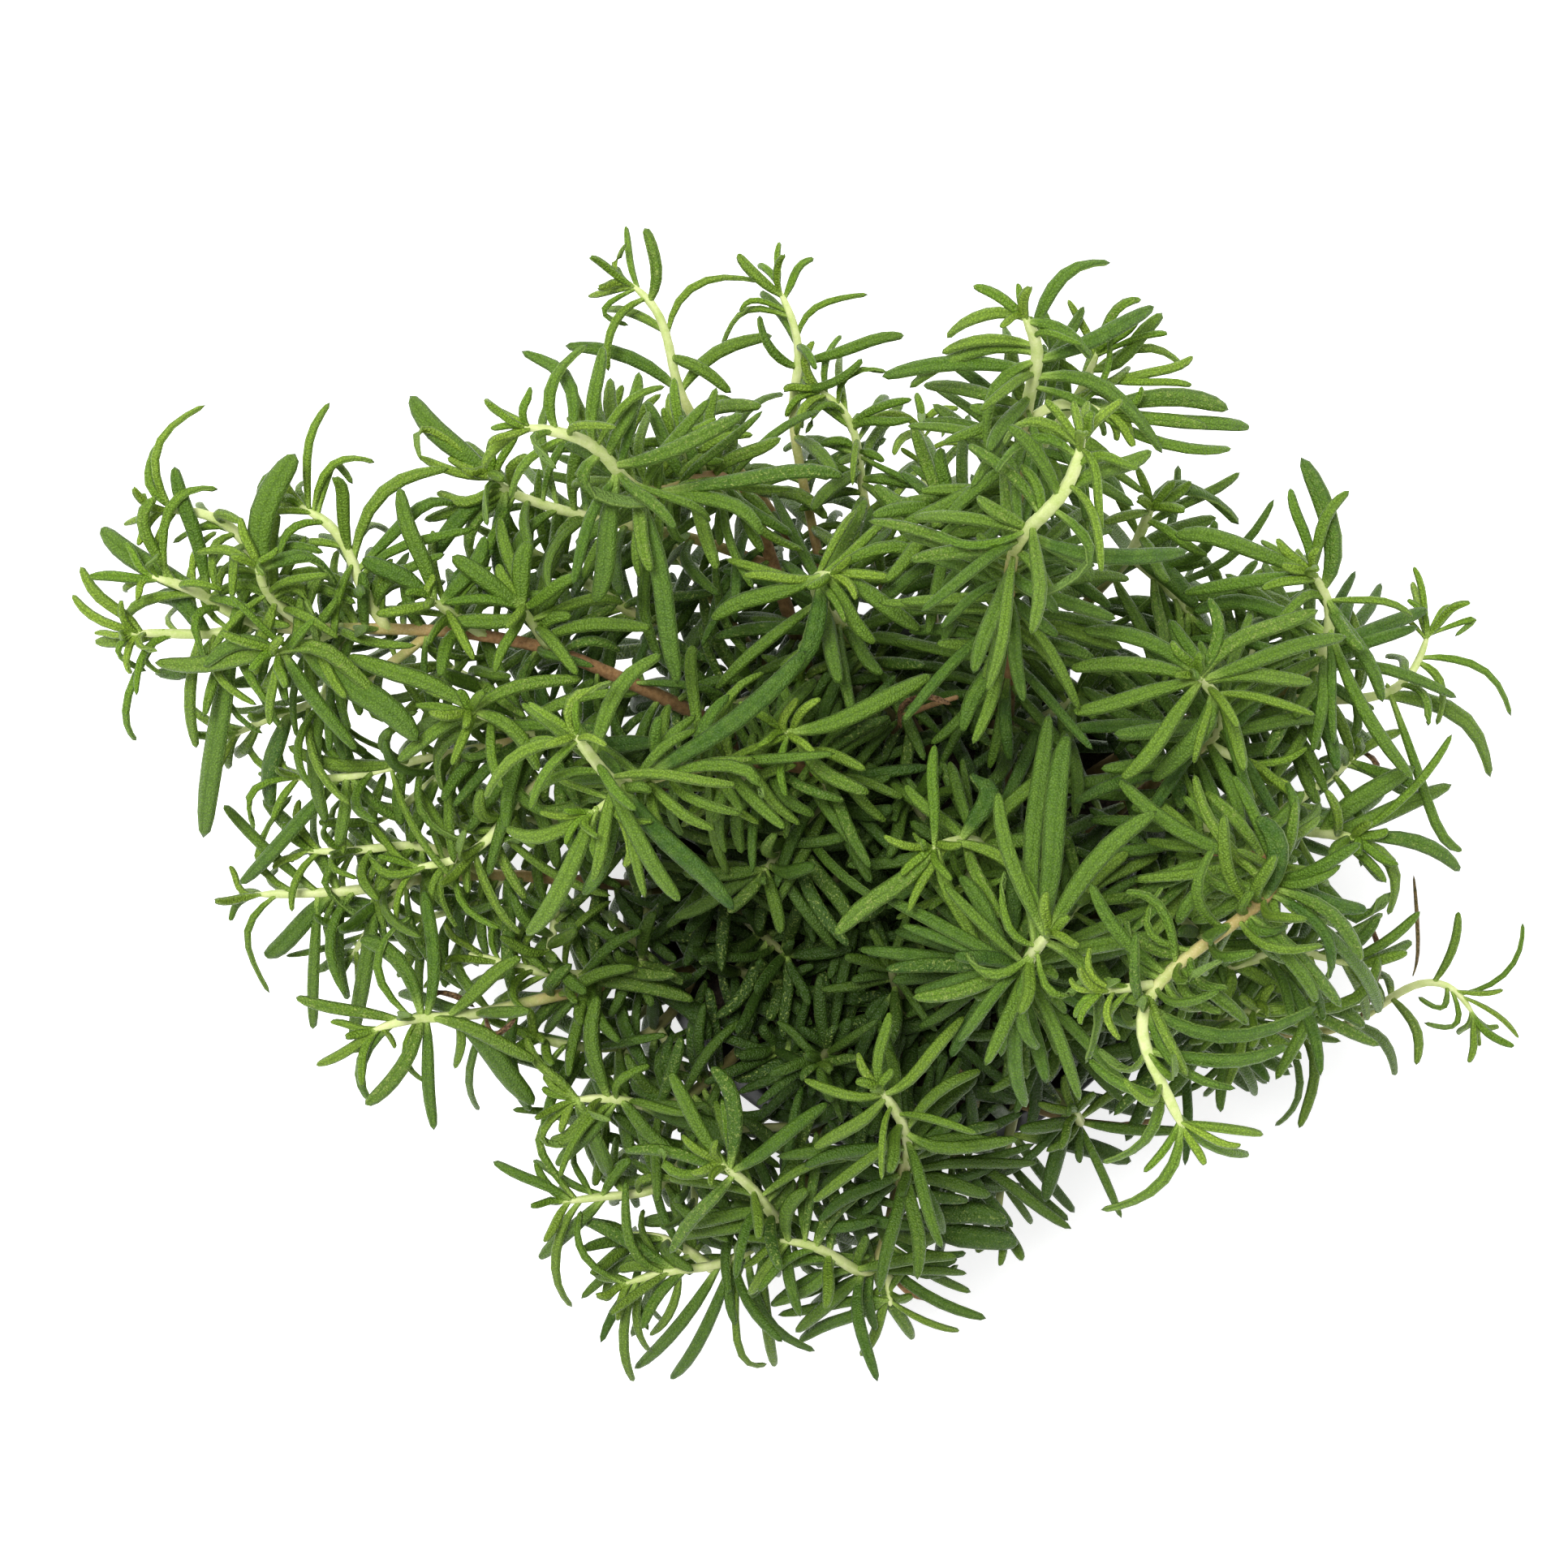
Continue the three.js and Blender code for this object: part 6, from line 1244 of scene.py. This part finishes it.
def leaf_material():
    n = Nodes("rosemary_leaf")
    margin, groove, along, under = n.attribute("leaf_form")
    youth, luck, dry, age_and_shade = n.attribute("leaf_kind")
    patches = n.noise(420, 2.0)
    grain = n.noise(1500, 3.0, 0.65)
    pebbles = n.cells(2300)
    mature = n.blend(n.ramp(luck, 0.0, 1.0), (0.038, 0.104, 0.012), (0.142, 0.256, 0.022))
    mature = n.blend(n.ramp(patches, 0.35, 0.65, 0, 0.4), mature, (0.160, 0.282, 0.030))
    young = n.blend(n.ramp(luck, 0.1, 0.9), (0.200, 0.365, 0.020), (0.330, 0.490, 0.045))
    colour = n.blend(n.ramp(youth, 0.0, 1.0), mature, young)
    # Painted shade, with some real ageing: leaves low inside the plant turn a near-black green.
    colour = n.blend(n.ramp(age_and_shade, 0.0, 1.0, 0.0, 0.93), colour, (0.014, 0.031, 0.004))
    # Every leaf has a few pale specks, and some leaves many.
    lot = n.math("PINGPONG", n.math("MULTIPLY", luck, 11.0), 1.0)
    spotted = n.ramp(lot, 0.72, 0.95, 0.12, 0.9)
    speck = n.math("MULTIPLY", n.ramp(grain, 0.55, 0.66), spotted)
    colour = n.blend(speck, colour, (0.360, 0.440, 0.110))
    # Painted shade in the hollows between the pebbles, where the bump sinks.
    colour = n.blend(n.ramp(pebbles, 0.15, 0.55, 0.0, 0.5), colour, (0.022, 0.056, 0.003))
    colour = n.blend(n.ramp(along, 0.16, 0.0, 0.0, 0.8), colour, (0.330, 0.470, 0.090))
    # Painted shade along the groove.
    colour = n.blend(n.ramp(groove, 0.4, 1.0, 0.0, 0.35), colour, (0.026, 0.064, 0.004))
    # Painted shade on the leaf's shoulders, darker towards its margins, to round its look.
    colour = n.blend(n.ramp(margin, 0.0, 0.6, 0.0, 0.5), colour, (0.018, 0.050, 0.003))
    # A pale edge: partly the felted rolled margin, partly a painted highlight where the shoulder catches
    # light; it fades in the painted shade.
    pale_edge_and_highlight = n.math("MULTIPLY", n.ramp(margin, 0.7, 1.0, 0.0, 0.5),
                       n.ramp(age_and_shade, 0.0, 1.0, 1.0, 0.4))
    colour = n.blend(pale_edge_and_highlight, colour, (0.290, 0.420, 0.090))
    colour = n.blend(n.ramp(under, 0.4, 1.0, 0.0, 0.6), colour, (0.160, 0.255, 0.060))
    brown = n.blend(n.ramp(grain, 0.4, 0.6), (0.060, 0.030, 0.012), (0.190, 0.110, 0.050))
    colour = n.blend(dry, colour, brown)
    n.put(n.skin, "Base Color", colour)
    n.put(n.skin, "Roughness", n.ramp(grain, 0.3, 0.7, 0.36, 0.55))
    n.put(n.skin, "Specular IOR Level", 0.24)
    relief = n.math("ADD", n.math("MULTIPLY", pebbles, -0.9), grain)
    n.put(n.skin, "Normal", n.bump(relief, 0.9, 0.00035))
    return n.material


def stem_material():
    n = Nodes("rosemary_stem")
    age, _, _, shade = n.attribute("stem_age_and_shade")
    fuzz = n.noise(2400, 3.0, 0.7)
    patches = n.noise(300, 3.0, 0.6)
    stretched = n.add("ShaderNodeMapping", {"Vector": n.place(), "Scale": (1, 1, 0.35)})
    bark = n.noise(900, 4.0, 0.65, stretched.outputs["Vector"])
    fresh = n.blend(n.ramp(patches, 0.35, 0.65), (0.440, 0.540, 0.160), (0.600, 0.650, 0.300))
    middle = n.blend(n.ramp(patches, 0.35, 0.65), (0.300, 0.320, 0.080), (0.430, 0.340, 0.120))
    wood = n.blend(n.ramp(bark, 0.3, 0.7), (0.150, 0.072, 0.026), (0.370, 0.205, 0.085))
    colour = n.blend(n.ramp(age, 0.05, 0.5), fresh, middle)
    colour = n.blend(n.ramp(age, 0.4, 0.95), colour, wood)
    downy = n.math("MULTIPLY", n.ramp(fuzz, 0.5, 0.7, 0.0, 0.4), n.ramp(age, 0.2, 1.0, 1.0, 0.2))
    colour = n.blend(downy, colour, (0.640, 0.680, 0.400))
    # Painted shade, with some real ageing: stems low inside the plant turn dark.
    colour = n.blend(n.ramp(shade, 0.2, 1.0, 0.0, 0.75), colour, (0.060, 0.055, 0.016))
    n.put(n.skin, "Base Color", colour)
    n.put(n.skin, "Roughness", n.ramp(age, 0.0, 1.0, 0.55, 0.7))
    n.put(n.skin, "Specular IOR Level", 0.3)
    height = n.math("ADD", n.math("MULTIPLY", fuzz, 0.5), bark)
    n.put(n.skin, "Normal", n.bump(height, 0.3, 0.0002))
    return n.material


def pot_material():
    n = Nodes("black_pot_plastic")
    scuff = n.noise(160, 6.0, 0.7)
    grain = n.noise(2500, 2.0, 0.6)
    colour = n.blend(n.ramp(scuff, 0.55, 0.75, 0.0, 0.5),
                     (0.011, 0.012, 0.013), (0.042, 0.041, 0.038))
    n.put(n.skin, "Base Color", colour)
    n.put(n.skin, "Roughness", n.ramp(scuff, 0.3, 0.75, 0.34, 0.60))
    n.put(n.skin, "Normal", n.bump(grain, 0.15, 0.0002))
    return n.material


def soil_material():
    n = Nodes("compost")
    crumbs = n.noise(700, 4.0, 0.7)
    lumps = n.noise(140, 3.0, 0.6)
    colour = n.blend(n.ramp(crumbs, 0.35, 0.65), (0.010, 0.007, 0.005), (0.050, 0.034, 0.022))
    colour = n.blend(n.ramp(lumps, 0.5, 0.7, 0.0, 0.5), colour, (0.075, 0.052, 0.034))
    n.put(n.skin, "Base Color", colour)
    n.put(n.skin, "Roughness", 0.95)
    n.put(n.skin, "Normal", n.bump(crumbs, 0.9, 0.0009))
    return n.material


def fleck_material():
    n = Nodes("pale_flecks")
    grain = n.noise(1500, 3.0, 0.6)
    colour = n.blend(n.ramp(grain, 0.35, 0.65), (0.330, 0.310, 0.270), (0.620, 0.600, 0.550))
    n.put(n.skin, "Base Color", colour)
    n.put(n.skin, "Roughness", 0.9)
    n.put(n.skin, "Normal", n.bump(grain, 0.7, 0.0004))
    return n.material


# ---- Pot ----
def pot_wall_radius(z):
    return mix(BASE_DIAMETER / 2, RIM_DIAMETER / 2 - COLLAR_PROUD, z / POT_HEIGHT)


def rounded(profile, radius, steps=3):
    """The profile with each inner corner cut by a short arc."""
    smooth = [profile[0]]
    for a, b, c in zip(profile, profile[1:], profile[2:]):
        a, b, c = (np.array(p, float) for p in (a, b, c))
        cut = min(radius, np.linalg.norm(a - b) * 0.45, np.linalg.norm(c - b) * 0.45)
        start = b + unit(a - b) * cut
        end = b + unit(c - b) * cut
        for i in range(steps + 1):
            t = i / steps
            smooth.append(tuple(start * (1 - t) ** 2 + b * 2 * t * (1 - t) + end * t ** 2))
    smooth.append(profile[-1])
    return smooth


POT_SIDES = 120
DRAIN_SIDES = 20
# The first arch's turn from the x axis, as a share of the turn from arch to arch.
DRAIN_TURN = 0.25
CORNER_ROUND = 0.8
# The base is hollowed a little inside a foot ring.
FOOT_RING_INSIDE = 25
BASE_HOLLOW = 0.6
# A fine step runs round under the collar: how far under it, how far out and in, and its slope.
STEP_DROP = 14
STEP_OUT = 0.15
STEP_IN = 0.35
STEP_RISE = 0.8
# The profile ends beside the axis, and a point on the axis closes it.
AXIS_GAP = 0.01
SHARP_ANGLE = 32


def drain_rods():
    """Corners and faces of the oval rods that cut the drain arches, laid out from the axis."""
    corners = []
    faces = []
    for i in range(DRAIN_COUNT):
        angle = (i + DRAIN_TURN) * 2 * math.pi / DRAIN_COUNT
        near = len(corners)
        far = near + DRAIN_SIDES
        for end in (-DRAIN_REACH / 2, DRAIN_REACH / 2):
            for side in range(DRAIN_SIDES):
                # Half a step round, so that no corner lies in the plane of the pot's base.
                turn = 2 * math.pi * (side + 0.5) / DRAIN_SIDES
                x = BASE_DIAMETER / 2 + end
                y = DRAIN_WIDTH / 2 * math.cos(turn)
                corners.append((x * math.cos(angle) - y * math.sin(angle),
                                x * math.sin(angle) + y * math.cos(angle),
                                DRAIN_HEIGHT * math.sin(turn)))
        faces.append([near + side for side in range(DRAIN_SIDES)][::-1])
        faces.append([far + side for side in range(DRAIN_SIDES)])
        for side in range(DRAIN_SIDES):
            b = (side + 1) % DRAIN_SIDES
            faces.append([near + side, near + b, far + b, far + side])
    return corners, faces


def make_pot():
    top = POT_HEIGHT
    collar = top - COLLAR_HEIGHT
    rim = RIM_DIAMETER / 2
    inner = [pot_wall_radius(z) - POT_WALL for z in (top, FLOOR_THICKNESS)]
    step = collar - STEP_DROP
    profile = [(AXIS_GAP, BASE_HOLLOW), (FOOT_RING_INSIDE - 1, BASE_HOLLOW), (FOOT_RING_INSIDE, 0),
               (BASE_DIAMETER / 2, 0), (pot_wall_radius(step) + STEP_OUT, step),
               (pot_wall_radius(step) - STEP_IN, step + STEP_RISE),
               (pot_wall_radius(collar) - 0.1, collar), (rim - COLLAR_DRAFT, collar), (rim, top),
               (inner[0], top), (inner[1], FLOOR_THICKNESS), (AXIS_GAP, FLOOR_THICKNESS)]
    profile = rounded(profile, CORNER_ROUND)
    points = []
    for r, z in profile:
        for side in range(POT_SIDES):
            angle = 2 * math.pi * side / POT_SIDES
            points.append((r * math.cos(angle), r * math.sin(angle), z))
    first = len(points)
    points += [(0, 0, profile[0][1]), (0, 0, profile[-1][1])]
    faces = closed_loft_faces(0, len(profile), POT_SIDES, first, first + 1)
    pot = make_object("pot_shell", points, faces, "pot", pot_material())
    corners, polygons = drain_rods()
    mesh = bpy.data.meshes.new("drains")
    mesh.from_pydata((np.array(corners) * 0.001).tolist(), [], polygons)
    cutter = bpy.data.objects.new("drains", mesh)
    bpy.context.scene.collection.objects.link(cutter)
    cut = pot.modifiers.new("drains", "BOOLEAN")
    cut.operation = "DIFFERENCE"
    cut.object = cutter
    cut.solver = "EXACT"
    bpy.context.view_layer.update()
    shaped = pot.evaluated_get(bpy.context.evaluated_depsgraph_get())
    pot.data = bpy.data.meshes.new_from_object(shaped)
    pot.modifiers.clear()
    bpy.data.objects.remove(cutter)
    pot.data.set_sharp_from_angle(angle=math.radians(SHARP_ANGLE))


# ---- Compost ----
BED_RINGS = 44
BED_SIDES = 110
BED_DEPTH = 12
BED_GAP = 0.1
# Where the bed begins to fall off towards the wall, and over what width.
BED_EDGE = 36
BED_EDGE_WIDTH = 14
CRUMB_EDGE = 3


def soil_height(x, y):
    """Height of the crumbly bed: a few waves of different length, lower towards the wall."""
    wave = math.sin(x * 0.31 + 1.3) * math.cos(y * 0.27 - 0.4) * 0.7
    wave += math.sin(x * 0.83 + y * 0.64) * 0.45 + math.cos(x * 1.7 - y * 1.3) * 0.25
    wave += math.sin(x * 3.1 + y * 2.2) * math.cos(y * 3.7 - x * 1.9) * 0.28
    edge = clamp((math.hypot(x, y) - BED_EDGE) / BED_EDGE_WIDTH, 0, 1)
    return SOIL_LEVEL + wave - SOIL_EDGE_DROP * edge


def make_soil():
    bottom = SOIL_LEVEL - BED_DEPTH
    reach = pot_wall_radius(SOIL_LEVEL) - POT_WALL - BED_GAP
    foot = pot_wall_radius(bottom) - POT_WALL - BED_GAP
    points = []
    for ring in range(1, BED_RINGS + 2):
        radius = reach * ring / BED_RINGS if ring <= BED_RINGS else foot
        for side in range(BED_SIDES):
            angle = 2 * math.pi * side / BED_SIDES
            x = radius * math.cos(angle)
            y = radius * math.sin(angle)
            points.append((x, y, soil_height(x, y) if ring <= BED_RINGS else bottom))
    points += [(0, 0, soil_height(0, 0)), (0, 0, bottom)]
    faces = closed_loft_faces(0, BED_RINGS + 1, BED_SIDES, len(points) - 2, len(points) - 1)
    make_object("compost_bed", points, faces, "soil", soil_material())


# A crumb is an uneven ball of twenty triangles.
CRUMB_SHAPE = [(0, 0, 1), (0.9, 0, 0.25), (0.28, 0.85, 0.25), (-0.73, 0.53, 0.25),
               (-0.73, -0.53, 0.25), (0.28, -0.85, 0.25), (0.7, 0.5, -0.5), (-0.4, 0.75, -0.5),
               (-0.85, -0.1, -0.5), (-0.1, -0.85, -0.5), (0.65, -0.5, -0.5), (0, 0, -1)]
CRUMB_FACES = [(0, 1, 2), (0, 2, 3), (0, 3, 4), (0, 4, 5), (0, 5, 1), (1, 6, 2), (2, 7, 3),
               (3, 8, 4), (4, 9, 5), (5, 10, 1), (2, 6, 7), (3, 7, 8), (4, 8, 9), (5, 9, 10),
               (1, 10, 6), (6, 11, 7), (7, 11, 8), (8, 11, 9), (9, 11, 10), (10, 11, 6)]


def make_crumbs(name, count, smallest, largest, material, seed):
    rng = np.random.default_rng(seed)
    points = []
    faces = []
    reach = pot_wall_radius(SOIL_LEVEL) - POT_WALL - CRUMB_EDGE
    for _ in range(count):
        radius = reach * math.sqrt(rng.random())
        angle = rng.random() * 2 * math.pi
        x = radius * math.cos(angle)
        y = radius * math.sin(angle)
        size = smallest + (largest - smallest) * rng.random() ** 3
        spin = rng.random() * 2 * math.pi
        stretch = 0.7 + 0.6 * rng.random(3)
        start = len(points)
        z = soil_height(x, y) + size * 0.25
        for corner in CRUMB_SHAPE:
            px, py, pz = (corner[i] * stretch[i] * size * (0.8 + 0.4 * rng.random())
                          for i in range(3))
            points.append((x + px * math.cos(spin) - py * math.sin(spin),
                           y + px * math.sin(spin) + py * math.cos(spin), z + pz))
        faces += [tuple(start + i for i in face) for face in CRUMB_FACES]
    make_object(name, points, faces, None, material, smooth=False)


# ---- The whole plant ----
# Number of the first twig in the draws, and the share of its thickness lost from point to point.
TWIG_FIRST = 70
TWIG_TAPER = 0.1


def twig_tube(row, radius, spots):
    line = [placed(*spot) for spot in spots]
    radii = [radius * (1 - TWIG_TAPER * k) for k in range(len(line))]
    return tube_from(TWIG_FIRST + row, line, radii, [1.0] * len(line), [0.0] * len(line), 0.0,
                     np.array([0, 0, 1.0]))


def grow_leaves():
    """All shoots, the leaves of each, and the single leaves. The order matters: what grows first
    takes its room, as in the solids, and what the scene adds comes after."""
    shoots = read_shoots(SHOOTS, [], 0)
    for shoot in shoots:
        ROOM.take(pieces_of_stem(shoot))
    leaves_of = []
    left_over = []
    for shoot in shoots:
        planned, rest = grow_plan_leaves(shoot)
        leaves_of.append(planned)
        left_over.append(rest)
    for shoot, own in zip(shoots, leaves_of):
        own += grow_pair_leaves(shoot, own)
    singles = [single_leaf(row, i) for i, row in enumerate(SINGLE_LEAVES)]
    for leaf in singles:
        ROOM.take(pieces_of_leaf(leaf))
    known = len(shoots)
    read_shoots(INNER_SHOOTS, shoots, INNER_FIRST)
    for shoot in shoots[known:]:
        ROOM.take(pieces_of_stem(shoot))
        leaves_of.append([])
    for i, rest in enumerate(left_over):
        for row in rest:
            leaves_of[i] += grow_traced_leaf(shoots[i], row)
    for branch, rows in TRACED_LEAVES.items():
        for x, y, *row in rows:
            i, back = foot_in_plan(shoots, branch, x, y)
            leaves_of[i] += grow_traced_leaf(shoots[i], [back] + row)
    for i in range(known, len(shoots)):
        leaves_of[i] += grow_pair_leaves(shoots[i], [])
    for shoot, own in zip(shoots, leaves_of):
        own += grow_fill_leaves(shoot)
        distances, points = shoot.soft_line()
        for leaf in own:
            shoot.shift_leaf(leaf, distances, points)
    return shoots, leaves_of, singles


def grow():
    shoots, leaves_of, singles = grow_leaves()
    leaf_skin = leaf_material()
    stem_skin = stem_material()
    for branch in dict.fromkeys(shoot.branch for shoot in shoots):
        own = [i for i, shoot in enumerate(shoots) if shoot.branch == branch]
        leaves = [leaf for i in own for leaf in leaves_of[i]]
        leaves += [leaf for leaf in singles if leaf.branch == branch]
        points, faces, form, kind = leaf_mesh(leaves)
        make_object(f"{branch}_leaves", points, faces, f"{branch}_branch", leaf_skin,
                    {"leaf_form": form, "leaf_kind": kind})
        tubes = [stem_tube(shoots[i]) for i in own]
        tubes += [twig_tube(row, radius, spots)
                  for row, (name, radius, spots) in enumerate(TWIGS) if name == branch]
        points, faces, values = joined(tubes)
        make_object(f"{branch}_stems", points, faces, f"{branch}_branch", stem_skin,
                    {"stem_age_and_shade": values})


# ---- Studio ----
# Half the floor's side in metres, and how much light it gives of itself to look white.
FLOOR_REACH = 60
FLOOR_GLOW = 0.47
# Strength of the walls and of the ceiling, and the heights of view between which one turns into
# the other.
WALL_LIGHT = 1.05
CEILING_LIGHT = 0.40
WALL_TOP = 0.12
CEILING_EDGE = 0.35
# Suns: name, the place they shine from, strength, and spread in degrees.
SUNS = [("key", (-0.35, 0.4, 2.0), 4.1, 20), ("fill", (1.2, -0.6, 1.6), 0.4, 90)]
# The camera, in millimetres on its sensor; where it stands is EYE.
SENSOR_WIDTH = 36
LENS = 156.6


def make_studio():
    scene = bpy.context.scene
    scene.view_settings.view_transform = "Standard"
    world = bpy.data.worlds.new("studio")
    world.use_nodes = True
    tree = world.node_tree
    sky = tree.nodes["Background"]
    sky.inputs["Color"].default_value = (1, 1, 1, 1)
    way = tree.nodes.new("ShaderNodeTexCoord")
    parts = tree.nodes.new("ShaderNodeSeparateXYZ")
    rise = tree.nodes.new("ShaderNodeMapRange")
    for socket, value in (("From Min", WALL_TOP), ("From Max", CEILING_EDGE),
                          ("To Min", WALL_LIGHT), ("To Max", CEILING_LIGHT)):
        rise.inputs[socket].default_value = value
    tree.links.new(way.outputs["Generated"], parts.inputs["Vector"])
    tree.links.new(parts.outputs["Z"], rise.inputs["Value"])
    tree.links.new(rise.outputs["Result"], sky.inputs["Strength"])
    scene.world = world
    mesh = bpy.data.meshes.new("floor")
    corners = [(x * FLOOR_REACH, y * FLOOR_REACH, 0) for x, y in ((-1, -1), (1, -1), (1, 1), (-1, 1))]
    mesh.from_pydata(corners, [], [(0, 1, 2, 3)])
    floor = bpy.data.objects.new("floor", mesh)
    scene.collection.objects.link(floor)
    n = Nodes("floor_white")
    n.put(n.skin, "Base Color", (0.93, 0.93, 0.93))
    n.put(n.skin, "Roughness", 0.9)
    n.put(n.skin, "Specular IOR Level", 0.1)
    n.put(n.skin, "Emission Color", (1.0, 1.0, 1.0))
    n.put(n.skin, "Emission Strength", FLOOR_GLOW)
    mesh.materials.append(n.material)
    for name, spot, strength, spread in SUNS:
        light = bpy.data.lights.new(name, "SUN")
        light.energy = strength
        light.angle = math.radians(spread)
        lamp = bpy.data.objects.new(name, light)
        lamp.location = spot
        lamp.rotation_euler = Vector(spot).to_track_quat("Z", "Y").to_euler()
        scene.collection.objects.link(lamp)


def make_camera():
    camera = bpy.data.cameras.new("camera")
    camera.sensor_width = SENSOR_WIDTH
    camera.lens = LENS
    camera.clip_end = 200
    eye = bpy.data.objects.new("camera", camera)
    eye.location = tuple(EYE * 0.001)
    eye.rotation_euler = (0, 0, 0)
    bpy.context.scene.collection.objects.link(eye)
    bpy.context.scene.camera = eye


make_camera()
make_studio()
make_pot()
make_soil()
make_crumbs("compost_crumbs", count=1500, smallest=0.4, largest=1.7, material=soil_material(),
            seed=5)
make_crumbs("compost_flecks", count=45, smallest=0.4, largest=1.1, material=fleck_material(),
            seed=9)
grow()
